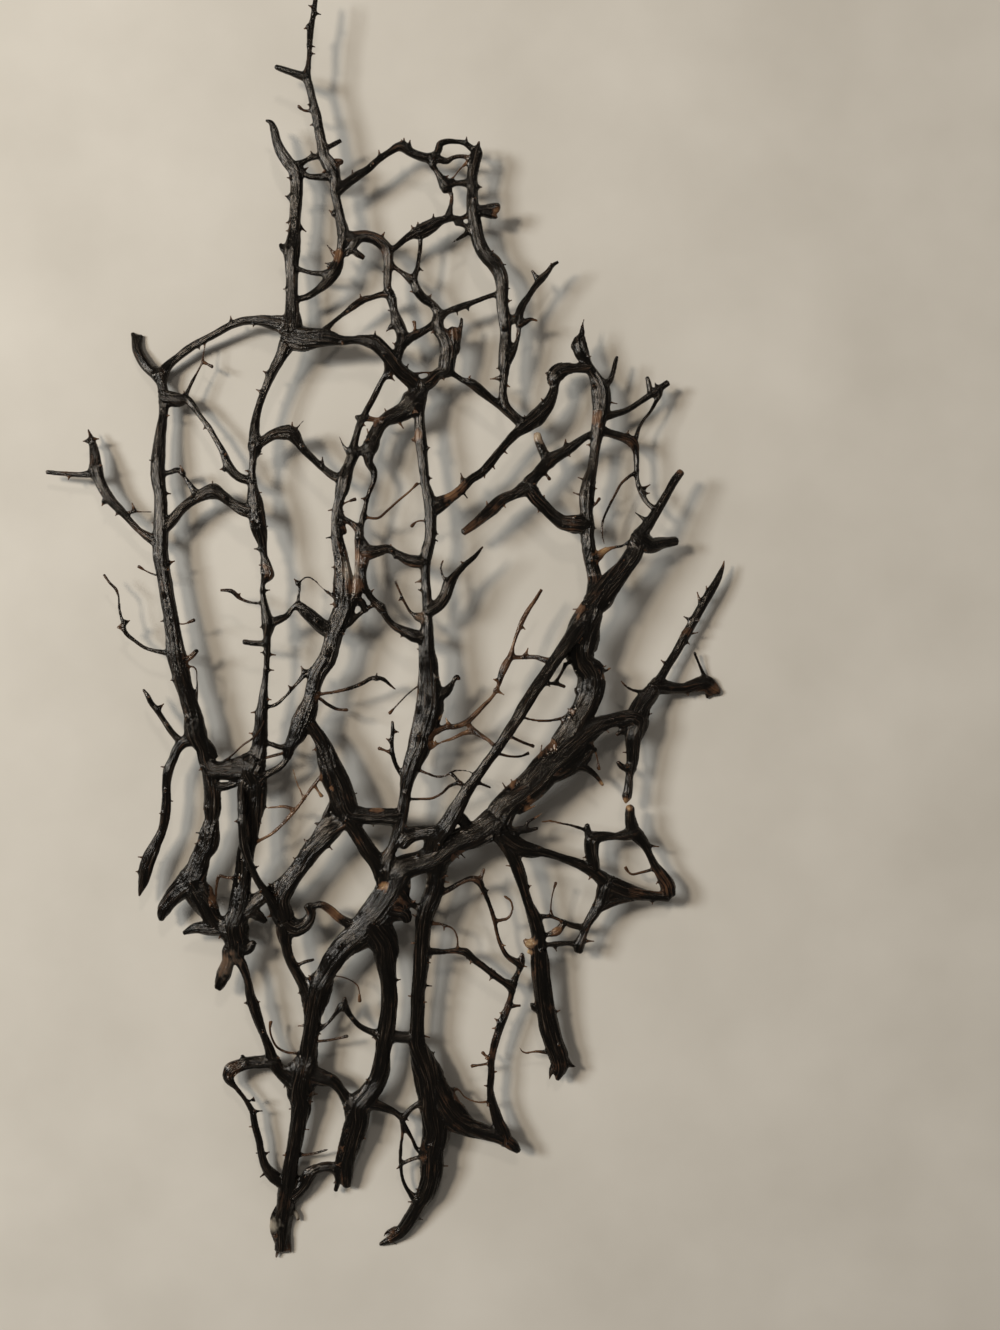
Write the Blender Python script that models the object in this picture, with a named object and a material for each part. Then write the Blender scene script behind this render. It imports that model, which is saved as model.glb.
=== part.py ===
"""Dry skeleton of a sea fan, lying flat with its cut stem towards -Y.

The fan is a loose net of tapering limbs. Every limb is a swept tube that follows a route of points picked
on a photograph and fitted to the limb's edges there, and limbs are fused at their forks. At its main forks
the fan is divided into separate pieces, which meet face to face with a small gap. X points right, Y from
the stem to the crown, Z up.
"""

import math

import bmesh
import bpy
import numpy as np
from mathutils import Vector

# Real sizes, in metres.
PIXEL = 0.0004
DEEPEST_LIMB = 0.0090
PIECE_GAP = 0.00045
OUTLINE_TOLERANCE = 0.0013
SAMPLE_STEP = 0.0010
SETTLE_LENGTH = 0.012
ROOT_REACH = 0.0015
THORN_ROOT = 0.0018

MITRE_LIMIT = 1.3

# Shares of its faces that a fused piece is thinned to: the first that leaves it closed.
KEPT_FACES = [0.66, 0.74, 0.82, 0.92]

# A limb's number of sides, and how far its corners stand out, by its greatest width.
SIDES = [(0.0022, 3, 1.15), (0.0046, 4, 1.20), (0.0080, 5, 1.05), (1.0, 6, 1.0)]

# The photograph looks straight down on its own centre, and a route's points are read in its pixels.
PHOTO_CENTRE = (500, 665)
FAN_CENTRE = (385.1, 626.7)
EYE_HEIGHT = 0.62
READING_HEIGHT = 0.010

# Heights of the limbs' middles above the surface, in millimetres, at places in the photograph.
# The fan is slightly bowed: it stands on the end of its stem, on its right arm and on its upper left stub.
HEIGHT_MARKS = [
    (282, 1250, 1.4), (282, 1232, 1.6), (379, 1244, 0.8), (300, 1088, 8), (250, 1061, 8), (255, 1126, 7),
    (357, 1106, 9), (430, 1100, 9), (416, 1198, 5), (505, 1140, 9), (522, 953, 11), (562, 1068, 7),
    (376, 902, 15), (240, 920, 13), (140, 890, 9), (212, 768, 13), (258, 748, 14), (300, 720, 15),
    (420, 720, 15), (403, 805, 16), (495, 824, 16), (550, 765, 15), (635, 718, 11), (669, 895, 9),
    (595, 870, 12), (720, 692, 1.0), (710, 687, 1.6), (724, 560, 6), (588, 612, 15), (601, 415, 12),
    (668, 382, 8), (524, 424, 13), (420, 386, 13), (350, 455, 14), (254, 446, 13), (160, 373, 5),
    (137, 339, 1.2), (92, 470, 8), (46, 472, 7), (158, 545, 11), (178, 655, 13), (291, 330, 12),
    (344, 234, 13), (335, 120, 14), (316, -10, 14), (475, 150, 12), (504, 318, 13), (558, 261, 12),
    (448, 184, 12),
]

# Limbs of each piece, as centreline points: x, y and width in pixels, and at some points the height in
# millimetres that the limb passes above the fan's own bowed sheet.
LIMBS = {
    "stem": [
        [(494.3, 822.8, 32.6), (479.6, 832.4, 27.2), (464.6, 838.4, 24.8), (449.6, 846.1, 27.3),
         (435.5, 856.7, 29.9), (421, 862, 23), (400, 870.5, 27), (393, 890, 34), (384, 905, 35),
         (373, 919, 34), (361, 934, 30), (346, 945, 26), (334, 959, 21), (326, 973, 20), (319, 986.3, 29.1),
         (315.1, 1000.2, 28.2), (313, 1015.3, 18.3), (311, 1030.3, 16.5), (308.9, 1045.2, 17.5),
         (307.2, 1058.3, 21), (303.4, 1072.1, 39.4), (300.5, 1088.1, 30.1), (301.1, 1104.2, 20.5),
         (298.4, 1122.3, 16.7), (296, 1140.3, 15.6), (292.9, 1158.3, 15.1), (289.8, 1175.1, 16.7),
         (288.1, 1190.2, 21.6), (286.3, 1204.3, 19.1), (284.4, 1218.1, 17), (282.6, 1232, 16.3),
         (282.1, 1250, 15.8)],
        [(302, 1053, 3), (286, 1052, 2.5), (277, 1047, 2.5), (271.9, 1038, 2.2), (269.9, 1028, 2.4),
         (270.9, 1021, 1.7)],
        [(311, 1042, 3), (330, 1040, 2.5), (348, 1036, 2.5)],
        [(298.1, 1155.3, 4.1), (314.1, 1153.5, 3.1), (328.1, 1149.3, 2.6)],
        [(328, 975, 1.6), (348, 979, 1.4), (357, 985, 1.4), (360, 1002, 1.2)],
        [(393, 887, 9), (403, 893, 6), (410.3, 902.5, 6.9), (426.5, 911, 7.7)],
    ],
    "long_diagonal": [
        [(681.1, 471.1, 8.1, 4), (674.5, 480.4, 8.5), (666.3, 494.9, 8.8), (658, 509.3, 9.5),
         (649.1, 523.4, 11.5), (639.4, 536.9, 15.4, 5), (633, 554.5, 19), (623, 569, 19),
         (610.5, 584, 23.5), (599.5, 598, 27, 3), (588, 612, 21.1), (578.5, 627.4, 16.7),
         (567.6, 642.7, 15), (556, 659.3, 13, 5), (545.3, 675.5, 12.5), (534, 691.4, 12.9),
         (524, 707.3, 12.8), (514.2, 723.4, 11.6), (504.2, 738.5, 10.8, 7), (493.8, 753.2, 9.6),
         (483, 767.7, 9.6), (473, 782.6, 11), (464.1, 795.7, 13.2), (455.7, 810.8, 16.8),
         (446.8, 825.6, 17.8), (435.9, 839.1, 17.9), (431, 855.8, 20, 3)],
        [(638.1, 539.6, 21.8), (650.2, 545.5, 17.4), (663.3, 543.3, 12.5), (677.2, 541.1, 10.5)],
        [(541, 683.8, 4.2), (556, 683.7, 4.4), (565, 686.9, 4.1)],
        [(553.8, 684.5, 3.4), (560.5, 674.3, 3.1), (566.2, 663.2, 3.8)],
        [(521, 716.8, 2.7), (538.2, 720.4, 3.4), (552.4, 720.3, 3.3), (565.5, 716.5, 3.6),
         (573.4, 709.7, 5)],
        [(507.9, 734.3, 3.1), (523.8, 742.4, 3.1), (533.9, 746.3, 2.6)],
        [(496, 752, 3), (511, 756, 2.5), (521, 756, 2.5), (529, 753, 2)],
        [(477, 781, 4), (491, 787, 3)],
    ],
    "centre_trunk": [
        [(419.2, 386.1, 18.7), (420.9, 398, 13), (419.6, 412, 10.4), (420, 426.1, 11), (420.9, 440.1, 11.7),
         (422.5, 455.2, 11.1), (424.1, 470.3, 9.9), (425.6, 484.4, 9), (429.1, 498.3, 12.4),
         (430.3, 512, 12.3), (430.8, 526, 11), (430.1, 540, 11.1), (426.8, 553, 11.6), (425.2, 566, 10.2),
         (425.8, 580, 9), (426.7, 594, 9.9), (427.2, 608, 10), (427.2, 622, 11.5), (426.8, 636, 14.1),
         (426.6, 650, 16.5), (428.4, 664, 19.2), (428.9, 678, 21.8), (429.6, 692.1, 26.3),
         (429.5, 706.4, 28.9), (426.1, 720.5, 27.3), (422.3, 734.7, 25.3), (418.7, 748.8, 22.9),
         (413, 762.7, 19.5), (408.2, 777.3, 15.3), (405.6, 791.1, 12.2), (403.9, 805.1, 12.7),
         (401.1, 820.3, 12.9), (396.9, 835.3, 11.5), (392, 848.3, 10.4), (385.7, 860.3, 15.7),
         (383.2, 880, 18.4)],
        [(445, 830, 13), (432, 831, 14), (420, 832.5, 15), (408, 835.5, 19), (400, 845, 16)],
        [(421.8, 435.6, 6.4), (411.7, 440.3, 4.2)],
        [(426.5, 619.3, 9.3), (418.1, 616.6, 10.1), (411.9, 613.3, 3.8), (404.9, 602.8, 3.4),
         (399.6, 591.2, 3), (395, 581, 3.1)],
        [(430, 521, 2), (416, 522, 1.5), (411, 527, 1.5)],
        [(428, 611, 14), (438, 605, 13), (445.5, 595, 12.5), (449.4, 583.7, 12.7), (456.7, 573.6, 8.1),
         (465.4, 564.4, 6.5), (474, 557.1, 5.5), (480.5, 549.6, 3.5), (483.2, 546.2, 2.1)],
        [(447.9, 583.6, 4.9), (442.2, 574.5, 3), (441.2, 565.2, 2.8), (443.5, 560, 2.4)],
        [(429.9, 701.9, 13.5), (446.7, 690.5, 10), (452.5, 683, 5.3), (457.2, 675.7, 4.2), (460, 680, 3)],
        [(424, 682, 2), (409, 693, 1.5), (400, 702, 1.5), (389, 714, 1.5)],
        [(405.7, 779.3, 5.8), (396.4, 765.9, 4.7), (392.7, 753.9, 4.9), (391.9, 742, 4.1),
         (392.7, 728, 4.9), (392.2, 721, 3.4)],
        [(391, 753, 2.5), (384, 750, 2.5), (378, 748, 2)],
        [(411.7, 766.8, 4.1), (427.7, 773.6, 3.2), (438.9, 776.8, 3), (447, 774.9, 2.7),
         (453.3, 770.9, 3.1), (463.3, 769.8, 1.7), (474, 772, 2)],
        [(450.1, 771.9, 4.8), (457.5, 778.5, 3.6), (462, 785, 2.5)],
        [(404, 799, 3), (420, 799, 2.5), (433, 798, 2.5), (442, 793, 2.5), (450.1, 785.4, 3.4),
         (457.2, 782.6, 3.7), (462.1, 782.1, 3.7)],
        [(430, 516, 8), (440, 508, 9), (451, 500, 7)],
    ],
    "inner_trunk": [
        [(353.1, 454.5, 12.5), (348.4, 466.5, 11.4), (344.2, 478.3, 15.3), (341.9, 490.1, 13.8),
         (338, 503.1, 8.8), (334.8, 517, 7.8), (335.9, 532, 10.4), (338.6, 547, 13.9), (341.2, 562, 15.2),
         (342.8, 577, 18.8), (343.6, 592, 21.5), (345, 605.2, 21.5), (340.3, 619.4, 21.4),
         (334.1, 632.5, 18.8), (330.5, 647, 17), (326, 660, 19), (317.7, 672.6, 18), (314.2, 684.6, 15.6),
         (311.2, 697.3, 15.6), (306.8, 711.2, 21), (301.8, 723.8, 22.3), (296.5, 735.3, 18.5),
         (290.6, 745.4, 12.3), (287.6, 756.7, 8.7)],
        [(338.8, 503.4, 6.7), (343.1, 517.7, 6, 0.5), (351.2, 523, 6.7), (359.2, 530.5, 9.7),
         (358.3, 542, 8.5), (357.8, 556, 6.2), (357, 570, 5), (357, 586, 9), (353.5, 600, 14),
         (344.1, 608.1, 8.4)],
        [(349.5, 454.4, 5.1), (342.7, 444.1, 2.9), (339, 436, 2)],
        [(338, 507, 2), (347, 502, 1.6), (356, 499, 1.5)],
        [(310, 697, 4), (322.2, 693.9, 3.8), (335.5, 691.8, 3.9), (350.7, 688, 4.4), (362.7, 683.1, 4.7),
         (372.3, 678.1, 5.2), (383.1, 679.1, 4.9), (390, 684.9, 3.2), (396, 690, 2)],
        [(309, 700, 3), (318, 698, 3.5), (327, 704, 3.5), (337, 709.1, 3.2), (348, 710.1, 1.9)],
        [(289.3, 755.3, 6.8), (280.5, 766.6, 7.5), (268.5, 773.7, 7.9), (257.8, 781, 7.5),
         (250.4, 785.6, 5.1)],
        [(268, 774, 4), (258, 790, 4), (250, 800, 3)],
    ],
    "left_inner_trunk": [
        [(255.4, 446.2, 15.1), (253.6, 458.1, 7.9), (252.4, 472, 7.6), (252.6, 486, 10.5),
         (254.6, 499.9, 14.6), (256.9, 514.1, 17.4), (259.2, 528.3, 16.8), (262.4, 542.3, 10.3),
         (264, 556, 7.4), (266.7, 566.9, 11.7), (268, 574.8, 14.7), (262.8, 583.8, 5.5),
         (262.7, 591.9, 5.9), (264, 602.9, 8.1), (266.2, 613.8, 10.3), (268.6, 623.9, 13.4),
         (267.4, 637, 9.1), (267.2, 652, 7.9), (266.5, 667.1, 6.7), (265, 682.1, 6.8), (263.1, 698.1, 9.5),
         (261.4, 715, 13), (260.7, 732.1, 14.8), (259, 748.1, 15.6), (254.4, 764.1, 24.6)],
        [(264, 603.2, 4.1), (249.9, 602.4, 3.6), (239.9, 598.4, 3.9), (231.9, 591.3, 5.4),
         (219.9, 590.1, 3)],
        [(266.9, 643.6, 6.8), (251.9, 643, 6.1), (242.9, 641.6, 5.7)],
        [(268, 624, 9), (278, 620.3, 9.2), (286.6, 616.1, 6.7), (293, 608.3, 5.4), (297.9, 606, 9),
         (306, 612, 13), (315.5, 620, 15), (325, 627.5, 16), (337.6, 630.6, 15.8)],
        [(297.7, 604.1, 4.2), (299.4, 591, 3), (301, 581, 2.5), (307, 577, 2.5), (314, 580, 2.5),
         (321.7, 587.5, 1.9), (330.3, 594.1, 3.2), (341.2, 601.1, 6.2)],
        [(262.4, 707.8, 3.9), (275.3, 704.8, 4.3), (286.3, 695.4, 3.5), (297.7, 682.6, 3.9),
         (307.6, 672.7, 6.8), (316.1, 671.1, 6.7)],
        [(292, 744, 7.8), (281, 747, 6), (270, 743.8, 5.4), (259, 741.8, 5.4)],
        [(288, 752, 3), (276, 755, 3), (258, 760, 3)],
        [(264, 712, 2), (260, 728, 2, 5), (253, 738, 2), (243, 745, 2), (232, 755, 2, 5), (224, 762, 3, 2)],
    ],
    "left_trunk": [
        [(159.7, 374.1, 18.9), (161.8, 383, 10.7), (164, 398.1, 11.6), (163, 415.4, 10),
         (160.1, 435.3, 11.8), (158.8, 455, 14.2), (157.8, 475, 16), (160.6, 495, 13.2), (161, 515, 13.7),
         (161, 535.1, 15.8), (160.6, 555.3, 15.7), (163.7, 575.3, 14.5), (166.9, 595.3, 14.9),
         (170.3, 615.2, 14.9), (173.6, 635.2, 16.8), (176.4, 655.3, 20.5), (181.1, 675.4, 18.7),
         (186.8, 695.3, 17.3), (192.8, 715.1, 19.1), (196.5, 734.8, 23.6), (203.1, 749.6, 13.9),
         (206.7, 763, 13.8), (211.8, 769.8, 19.3), (221.8, 770.4, 19.1), (235.2, 768.6, 22.6),
         (248.3, 767, 29.4), (255.1, 762.4, 25)],
        [(172, 620, 2), (181, 624, 1.6), (195, 620, 1.4)],
        [(166, 576, 2), (156, 575, 2), (146, 571, 1.6), (138, 566, 1.6)],
        [(178, 659, 7), (185.1, 660.4, 5.9), (191.3, 656.6, 6), (197.6, 649.8, 5.2)],
        [(182, 666, 3), (195, 668, 2.5), (197, 680, 2), (196.8, 692.2, 3.7), (195.4, 703.2, 4.8)],
        [(177, 652.7, 7.7), (167.9, 652.9, 6.7), (157, 651.4, 4.7), (145.9, 648.2, 4.3), (134.9, 640.9, 4),
         (125.3, 632.2, 4.7), (122.4, 621.8, 3.8), (119.4, 608.2, 3), (118.5, 596.3, 2.5),
         (116.3, 589.5, 3.5), (109.5, 582.4, 3), (103.7, 574.2, 3.5)],
        [(157.4, 475.5, 5.3), (171.2, 472, 5.5), (177.9, 470, 6.2), (184.4, 476.9, 3.7),
         (191.1, 486.3, 5.9), (194.7, 491.5, 8.4)],
        [(158.6, 375.4, 13.2), (148.7, 367.9, 11.4), (141.4, 357.7, 11.1), (137.1, 348, 10.6),
         (136.6, 340.2, 10.9), (132.2, 332.9, 4.2)],
        [(137.5, 342.7, 8.8), (141.7, 334.8, 4.1)],
    ],
    "right_trunk": [
        [(591.6, 605, 15.9), (593.1, 592.2, 14.9), (595.1, 580.1, 15.1), (592.3, 567.2, 14.5),
         (589.7, 554, 13.9), (588, 540, 14), (587.5, 525, 13.3), (586.8, 511, 12.8), (586.8, 497, 14.5),
         (588.7, 483, 13.9), (592.3, 470, 10.3), (594.1, 457, 9.8), (596.4, 441.9, 11.1),
         (598.2, 427.9, 14.2), (600.1, 415, 15.5), (602.2, 400.7, 20), (600.5, 387.5, 19.5),
         (594.5, 375.9, 11.8), (587.5, 364.2, 10.5), (582.6, 353.1, 15.2), (580.1, 343.1, 16.2),
         (581.7, 334.1, 6), (582.6, 326.1, 3.4), (584.1, 318, 1.3)],
        [(579, 345.6, 10), (572, 346.6, 7.4)],
        [(601.3, 387, 7.9), (609.1, 381.5, 7.3), (612.8, 373, 6), (614.9, 364.4, 5.6), (617.2, 356, 3.6)],
        [(587, 507, 3), (593, 506, 2.5), (600, 498, 2)],
        [(591.4, 559.6, 9.4), (595.8, 558, 10.6), (603.4, 551.6, 7), (612, 548.1, 4.1), (622.1, 546.1, 3.1),
         (631, 539.1, 2.6)],
    ],
    "right_cross_limb": [
        [(431.3, 503.5, 10.8), (441.8, 500.6, 11), (452.5, 496.2, 11), (462.5, 487.9, 10.5),
         (470.9, 479.1, 8.8), (480.6, 472.8, 9.1), (490.6, 462.6, 8.8), (499.5, 451.4, 9.1),
         (508.5, 441.5, 8.9), (517.8, 431.9, 10.1), (525.8, 425.9, 14.1), (535.9, 418.8, 17.5),
         (544.5, 408.9, 15.4), (551.2, 397.8, 11.8), (554.3, 387.2, 9.7), (554, 379.5, 14.2),
         (557.5, 373.4, 19), (565.8, 369.2, 13.6), (574.2, 368.4, 10.4), (588, 367.4, 12.4)],
        [(445.7, 369.4, 13.6), (453.7, 374.3, 6.1), (462.1, 379.8, 6), (471.4, 383.3, 9.6),
         (480.5, 390.3, 10.2), (490.5, 398.4, 8.1), (500, 406, 7.9), (510.4, 414.8, 8.5),
         (522.6, 424.6, 11.4)],
        [(552.4, 377.8, 8), (545.8, 372.3, 3.3)],
    ],
    "right_lower_limb": [
        [(495.5, 825.3, 28.9), (500.9, 812.6, 29.7), (510.9, 799.8, 26.6), (525, 790.5, 31),
         (537.5, 779.5, 32), (549, 766.2, 33), (562, 754, 34.2), (574.3, 743.1, 30.3), (587.6, 732.5, 23),
         (600.2, 724.8, 17.9), (612.2, 720.7, 14.6), (625.2, 718.6, 16.7), (636.1, 719.6, 26.4),
         (633, 739.9, 16.2), (632.5, 751.9, 14), (632, 763.9, 11.6), (629.5, 775.9, 8.2),
         (628.5, 787.9, 9.7), (626.8, 796.9, 11.2), (625.8, 802.9, 4.2)],
        [(635.9, 767.8, 6.5), (626.8, 768.5, 7.6), (620.7, 765.5, 6.5), (617.5, 761.4, 4.9)],
        [(536.1, 784.2, 5.4), (555.2, 779.6, 7.2), (570.4, 772, 8.9), (579.9, 766.5, 10.9),
         (586.6, 769, 8.1), (595.5, 775.6, 5.4), (603.3, 785.6, 3.4)],
        [(573.7, 768.7, 6.9), (585.2, 757.4, 12.1), (592.1, 749.2, 7.4), (596.7, 750.8, 5)],
        [(590, 738, 2), (594, 748, 2), (597, 757, 1.6), (599, 770, 1.4)],
        [(504, 830, 6), (518.4, 829.5, 7.2), (525.7, 826.9, 4.8), (528.4, 822.5, 2.9)],
        [(516.2, 831.8, 6), (530.2, 830.2, 4.8), (538.2, 827.8, 3.7)],
    ],
    "lower_left_limb": [
        [(252.8, 763.3, 30.6), (249.4, 769.6, 31.6), (255.1, 785, 24.2), (254.3, 800, 24.1),
         (252.4, 815.1, 21.1), (251.2, 832.2, 15.1), (249.9, 848.2, 12), (247.8, 864, 12.3),
         (245.8, 880, 12.7), (243.2, 896, 15.7), (239.2, 912, 19.4), (234.2, 928, 32), (236.6, 942, 24.6),
         (237, 954.4, 13.7), (243.3, 967, 9.8), (247.7, 979.5, 8.1), (250.3, 993.7, 9.7),
         (253.8, 1005.8, 11.5), (258.2, 1020, 9.9), (263.3, 1033.9, 7.9), (268.8, 1047.7, 9.6),
         (273.6, 1061.5, 13.2), (280.4, 1071.5, 14), (290.9, 1080.3, 18.3), (300.1, 1087.1, 20.7)],
        [(244.7, 838.2, 4.5), (240.6, 850.1, 4.8), (237.4, 868.1, 5.2), (234.5, 885.1, 5.1),
         (231.6, 902.1, 5.6), (230.4, 922, 7.9)],
        [(234.3, 944.1, 12.4), (228.5, 948.2, 11.7), (228, 961, 13.5), (223.5, 974, 16), (218, 989, 8)],
        [(236.2, 948.6, 11.8), (248.4, 949.2, 10.6), (254.2, 941.6, 7.1)],
        [(238, 914, 16), (246, 911, 15), (256, 903, 14), (266, 895.2, 13.2), (276.1, 892.6, 15.8),
         (284.1, 894.9, 14.1)],
    ],
    "crown_left_limb": [
        [(292.1, 333, 25.7), (292.2, 312, 15), (292, 296, 12.7), (291.8, 280, 11.5), (291.5, 265, 13.2),
         (291.8, 250, 17.5), (294.1, 235.2, 13.2), (295.2, 220, 11.6), (296.2, 200, 12.7),
         (296.4, 180.1, 12.9), (294, 169.9, 12.6), (288.1, 161.9, 12.2), (281.5, 152.2, 11.1),
         (276.8, 141.1, 9), (274.3, 130, 8.4), (270.6, 122.5, 5.9), (265.4, 120.5, 2.8)],
        [(289.9, 255.1, 8), (282.7, 248.2, 6), (280.2, 243.7, 4)],
    ],
    "crown_spire": [
        [(290, 303, 8), (297.3, 299.5, 6.6), (306.7, 297.1, 7), (317, 290.4, 8), (326.8, 281.9, 11.3),
         (334.5, 271, 14.1), (338.7, 259.6, 10.5), (341, 247.8, 8.8), (343.6, 234, 13.1),
         (340.6, 220.1, 10.7), (337.8, 205, 9.6), (334.8, 190, 9.4), (335.1, 177.9, 12), (330.8, 166.5, 16),
         (324.4, 155.7, 13), (321.8, 143.2, 10.9), (318.7, 127.8, 10.2), (315.8, 112.9, 10.1),
         (312.5, 99.9, 8.8), (309.1, 85.9, 8.2), (306.5, 76, 8.9), (308.4, 64.1, 5.3), (309.4, 48.1, 5.6),
         (310.3, 32.1, 7), (312.8, 18.3, 5.9), (315.2, 2.2, 5.6), (315.8, -10, 4.4)],
        [(305.8, 77.8, 9.5), (296.9, 74.3, 8.7), (286.1, 70.5, 7.4), (275.3, 66.7, 5.5)],
        [(314, 111, 3.5), (303, 110, 2.5), (298, 106, 2)],
        [(323.3, 150.5, 5.4), (333.4, 144.6, 5.5), (341.2, 140.3, 4.4)],
        [(332, 164, 9), (338, 162.2, 7.7), (343, 161.2, 5.5)],
        [(293.8, 164.4, 7.4), (298.6, 164, 8.3), (306.1, 160.3, 5.4), (312.6, 157.1, 6.6),
         (320.1, 156.9, 5.5), (329.3, 159.4, 7.2)],
        [(296, 172, 5), (300.9, 172.4, 5.3), (308.9, 176.4, 5.9), (320, 177.2, 7.2), (334, 176, 11.7)],
        [(291, 266, 5), (295.9, 267.7, 5.5), (305.8, 271.4, 4.7), (319.9, 273.6, 5.5), (334, 272, 10.6)],
    ],
    "crown_right_limb": [
        [(522.2, 423.7, 11.4), (511.6, 414, 9.7), (504.4, 404.6, 10.4), (502.8, 392.1, 7.8),
         (504.1, 378, 7.7), (504.9, 365, 12.8), (505.2, 350, 12.6), (505.9, 333, 12), (504.5, 317.9, 12.9),
         (501.9, 301.9, 12.1), (502.2, 287.8, 13.6), (499.7, 273.4, 15.5), (494, 263.6, 17),
         (485.2, 254.5, 15.2), (479, 242.6, 13.8), (475.9, 228, 13.3), (473.4, 215, 13.1),
         (472.2, 203, 11.9), (472.5, 190, 11), (472.6, 175, 11.1), (475, 162, 12.2), (477.1, 152, 13),
         (478.2, 146, 4.8), (479.3, 141, 2.9)],
        [(474.1, 210.6, 8.8), (485.1, 208, 6.9), (493, 207.1, 8.7), (498.9, 208.1, 10.7)],
        [(474.9, 220.9, 6.5), (469.6, 224.7, 5.2), (466.9, 232.9, 5.9), (459.9, 237.8, 4.3),
         (452, 243, 1.6)],
        [(505.4, 364.7, 9.9), (511.7, 352.7, 9), (517, 341.7, 4.9), (518.9, 328.3, 5.7),
         (518.7, 315.3, 8.9), (522, 306, 8.4), (528.5, 296.4, 6.5), (535, 286.6, 6.8), (541.7, 278.5, 8.5),
         (547.9, 271.7, 6.2), (552.5, 265.6, 5.2), (558.5, 261.7, 3.6)],
        [(505, 322, 8), (517, 318, 9)],
        [(537.3, 280.4, 5.3), (534.1, 273.6, 4.4), (531.4, 270.3, 2.9)],
        [(518.3, 324.8, 8.3), (525.3, 321.8, 7.2), (530.2, 319.4, 4.7), (538, 321, 2.4)],
    ],
    "cross_arm": [
        [(291, 335.3, 27.2), (303, 338.5, 25.4), (315.9, 337.8, 20.1), (329.9, 338.5, 15.1),
         (342, 340.6, 9.7), (353, 340, 8.1), (364, 340.3, 11.6, 3), (374.2, 342.7, 16),
         (383.4, 350.6, 15.1), (391.6, 360.4, 14.5, 3), (399.6, 370.5, 14.4), (409.7, 378.5, 15.5),
         (419.3, 386.7, 16.5)],
        [(389.2, 363.9, 9.5), (388, 372.1, 7.1), (380.7, 384.4, 6), (373.2, 398.7, 6), (366.3, 411.6, 6.9),
         (359.9, 424.3, 7.5), (356.3, 436.1, 7.4), (352, 454, 10.1)],
    ],
    "crown_centre_limb": [
        [(343, 236, 12), (353, 237.3, 12.6), (362.6, 236.2, 11.9), (372.6, 237.6, 12.5), (381, 242.3, 12.2),
         (387.2, 249.8, 12.4), (388.5, 262, 9.7), (388, 274.8, 8.7), (387.7, 287, 8.3),
         (391.1, 297.3, 10.6), (394, 309.6, 7.9), (396.5, 320.3, 11.8), (400.9, 329.9, 11.6),
         (403.1, 339.6, 13.9), (399.9, 349.5, 10.4), (396.4, 362.9, 10.3)],
        [(387.7, 258.2, 7.4), (394.3, 266.8, 5.1), (402.5, 272.9, 5.2), (412, 280.1, 9.8)],
        [(419.9, 230, 6.5), (420.5, 245.1, 4.7), (419, 257.1, 4.5), (417.2, 268.2, 5.3), (414, 279.6, 8.7),
         (417, 290.4, 10.4), (424.5, 299.2, 10), (432.5, 304.5, 8.5), (438.8, 315, 11.2),
         (437.7, 321.5, 11.7), (439.1, 330.3, 11.6), (446, 339.5, 15.4), (448.4, 349.9, 17.6),
         (446.7, 361.8, 17.3), (446, 370, 15.8), (437.3, 374.6, 11.8), (430.5, 381.6, 12.5),
         (420.2, 387.3, 14.9)],
        [(440.3, 315.6, 12.4), (448.1, 311.3, 6.2), (460.1, 307.2, 7.5), (474, 302, 5.7),
         (487.9, 296.8, 5.1), (501, 292.9, 6.3)],
        [(450, 356, 6.1), (457, 352, 5), (458.7, 342, 5.1), (460.4, 331, 4.8), (461.7, 318, 3.5)],
        [(437, 320.8, 7.4), (429.1, 327.8, 7.3), (420.5, 333.2, 8), (411.5, 337.1, 10.1),
         (403.8, 340.7, 12.7)],
        [(413, 337, 2.5), (415, 326, 2), (414, 321, 2)],
        [(391.8, 295.1, 10.5), (382.7, 294.5, 6.9), (372.7, 297.3, 5.7), (362.8, 300.1, 7.8),
         (352.9, 306.8, 7.7), (342.9, 314.9, 4.8), (333.9, 322.9, 4.7), (324.9, 332.9, 7.7)],
        [(357, 239, 11), (353, 246, 9), (346, 256, 5)],
    ],
    "crown_arch": [
        [(336.1, 193.2, 9.6), (346.1, 184.1, 10.4), (355.9, 176.8, 10.2), (366.9, 170, 8),
         (378.1, 160.1, 7.4), (390.1, 151.7, 7.3), (400, 146.6, 9.6), (409.8, 151.8, 9.3),
         (419.1, 155.6, 9.8), (426.9, 157.8, 10), (433.2, 158.7, 13.1), (432, 163.7, 9),
         (436.1, 170.5, 5.7), (441.3, 178.8, 8.8), (447.1, 185.3, 16.2), (449.4, 184.2, 9.4),
         (458, 183.2, 6.2), (473.1, 183.8, 10.4)],
        [(434, 157, 6.5), (438.8, 148.7, 7.8), (439.3, 144.6, 6.9), (446.7, 141.4, 6.4), (456, 141.6, 4.9),
         (464.9, 143.1, 6.3), (472.2, 148.6, 7.6), (477.5, 151.2, 8.6)],
        [(434.3, 158.1, 8.5), (440.2, 159.9, 8), (447, 161.3, 6.8), (452.9, 157.8, 5.1),
         (460.9, 156.3, 4.8), (474, 159.5, 6.1)],
        [(445.9, 185.8, 10.1), (444.6, 192.8, 6.2)],
        [(448.5, 186.1, 5.7), (451.9, 197, 4), (450.7, 206.9, 4.8), (448.6, 217.7, 9.2)],
        [(449, 182, 1.8), (453, 178, 1.6), (460, 169, 1.4), (468, 162, 1.6)],
    ],
    "crown_link": [
        [(474, 211.9, 7.5), (462, 218.2, 5.1), (452, 218.6, 7), (441.2, 220.6, 8.7), (431.8, 225.5, 13.7),
         (422, 230.8, 15.2), (411.9, 234.9, 9.1), (403, 240.9, 7), (396.5, 246.6, 6.4),
         (387.3, 252.5, 7.3)],
    ],
    "upper_left_limb": [
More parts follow.
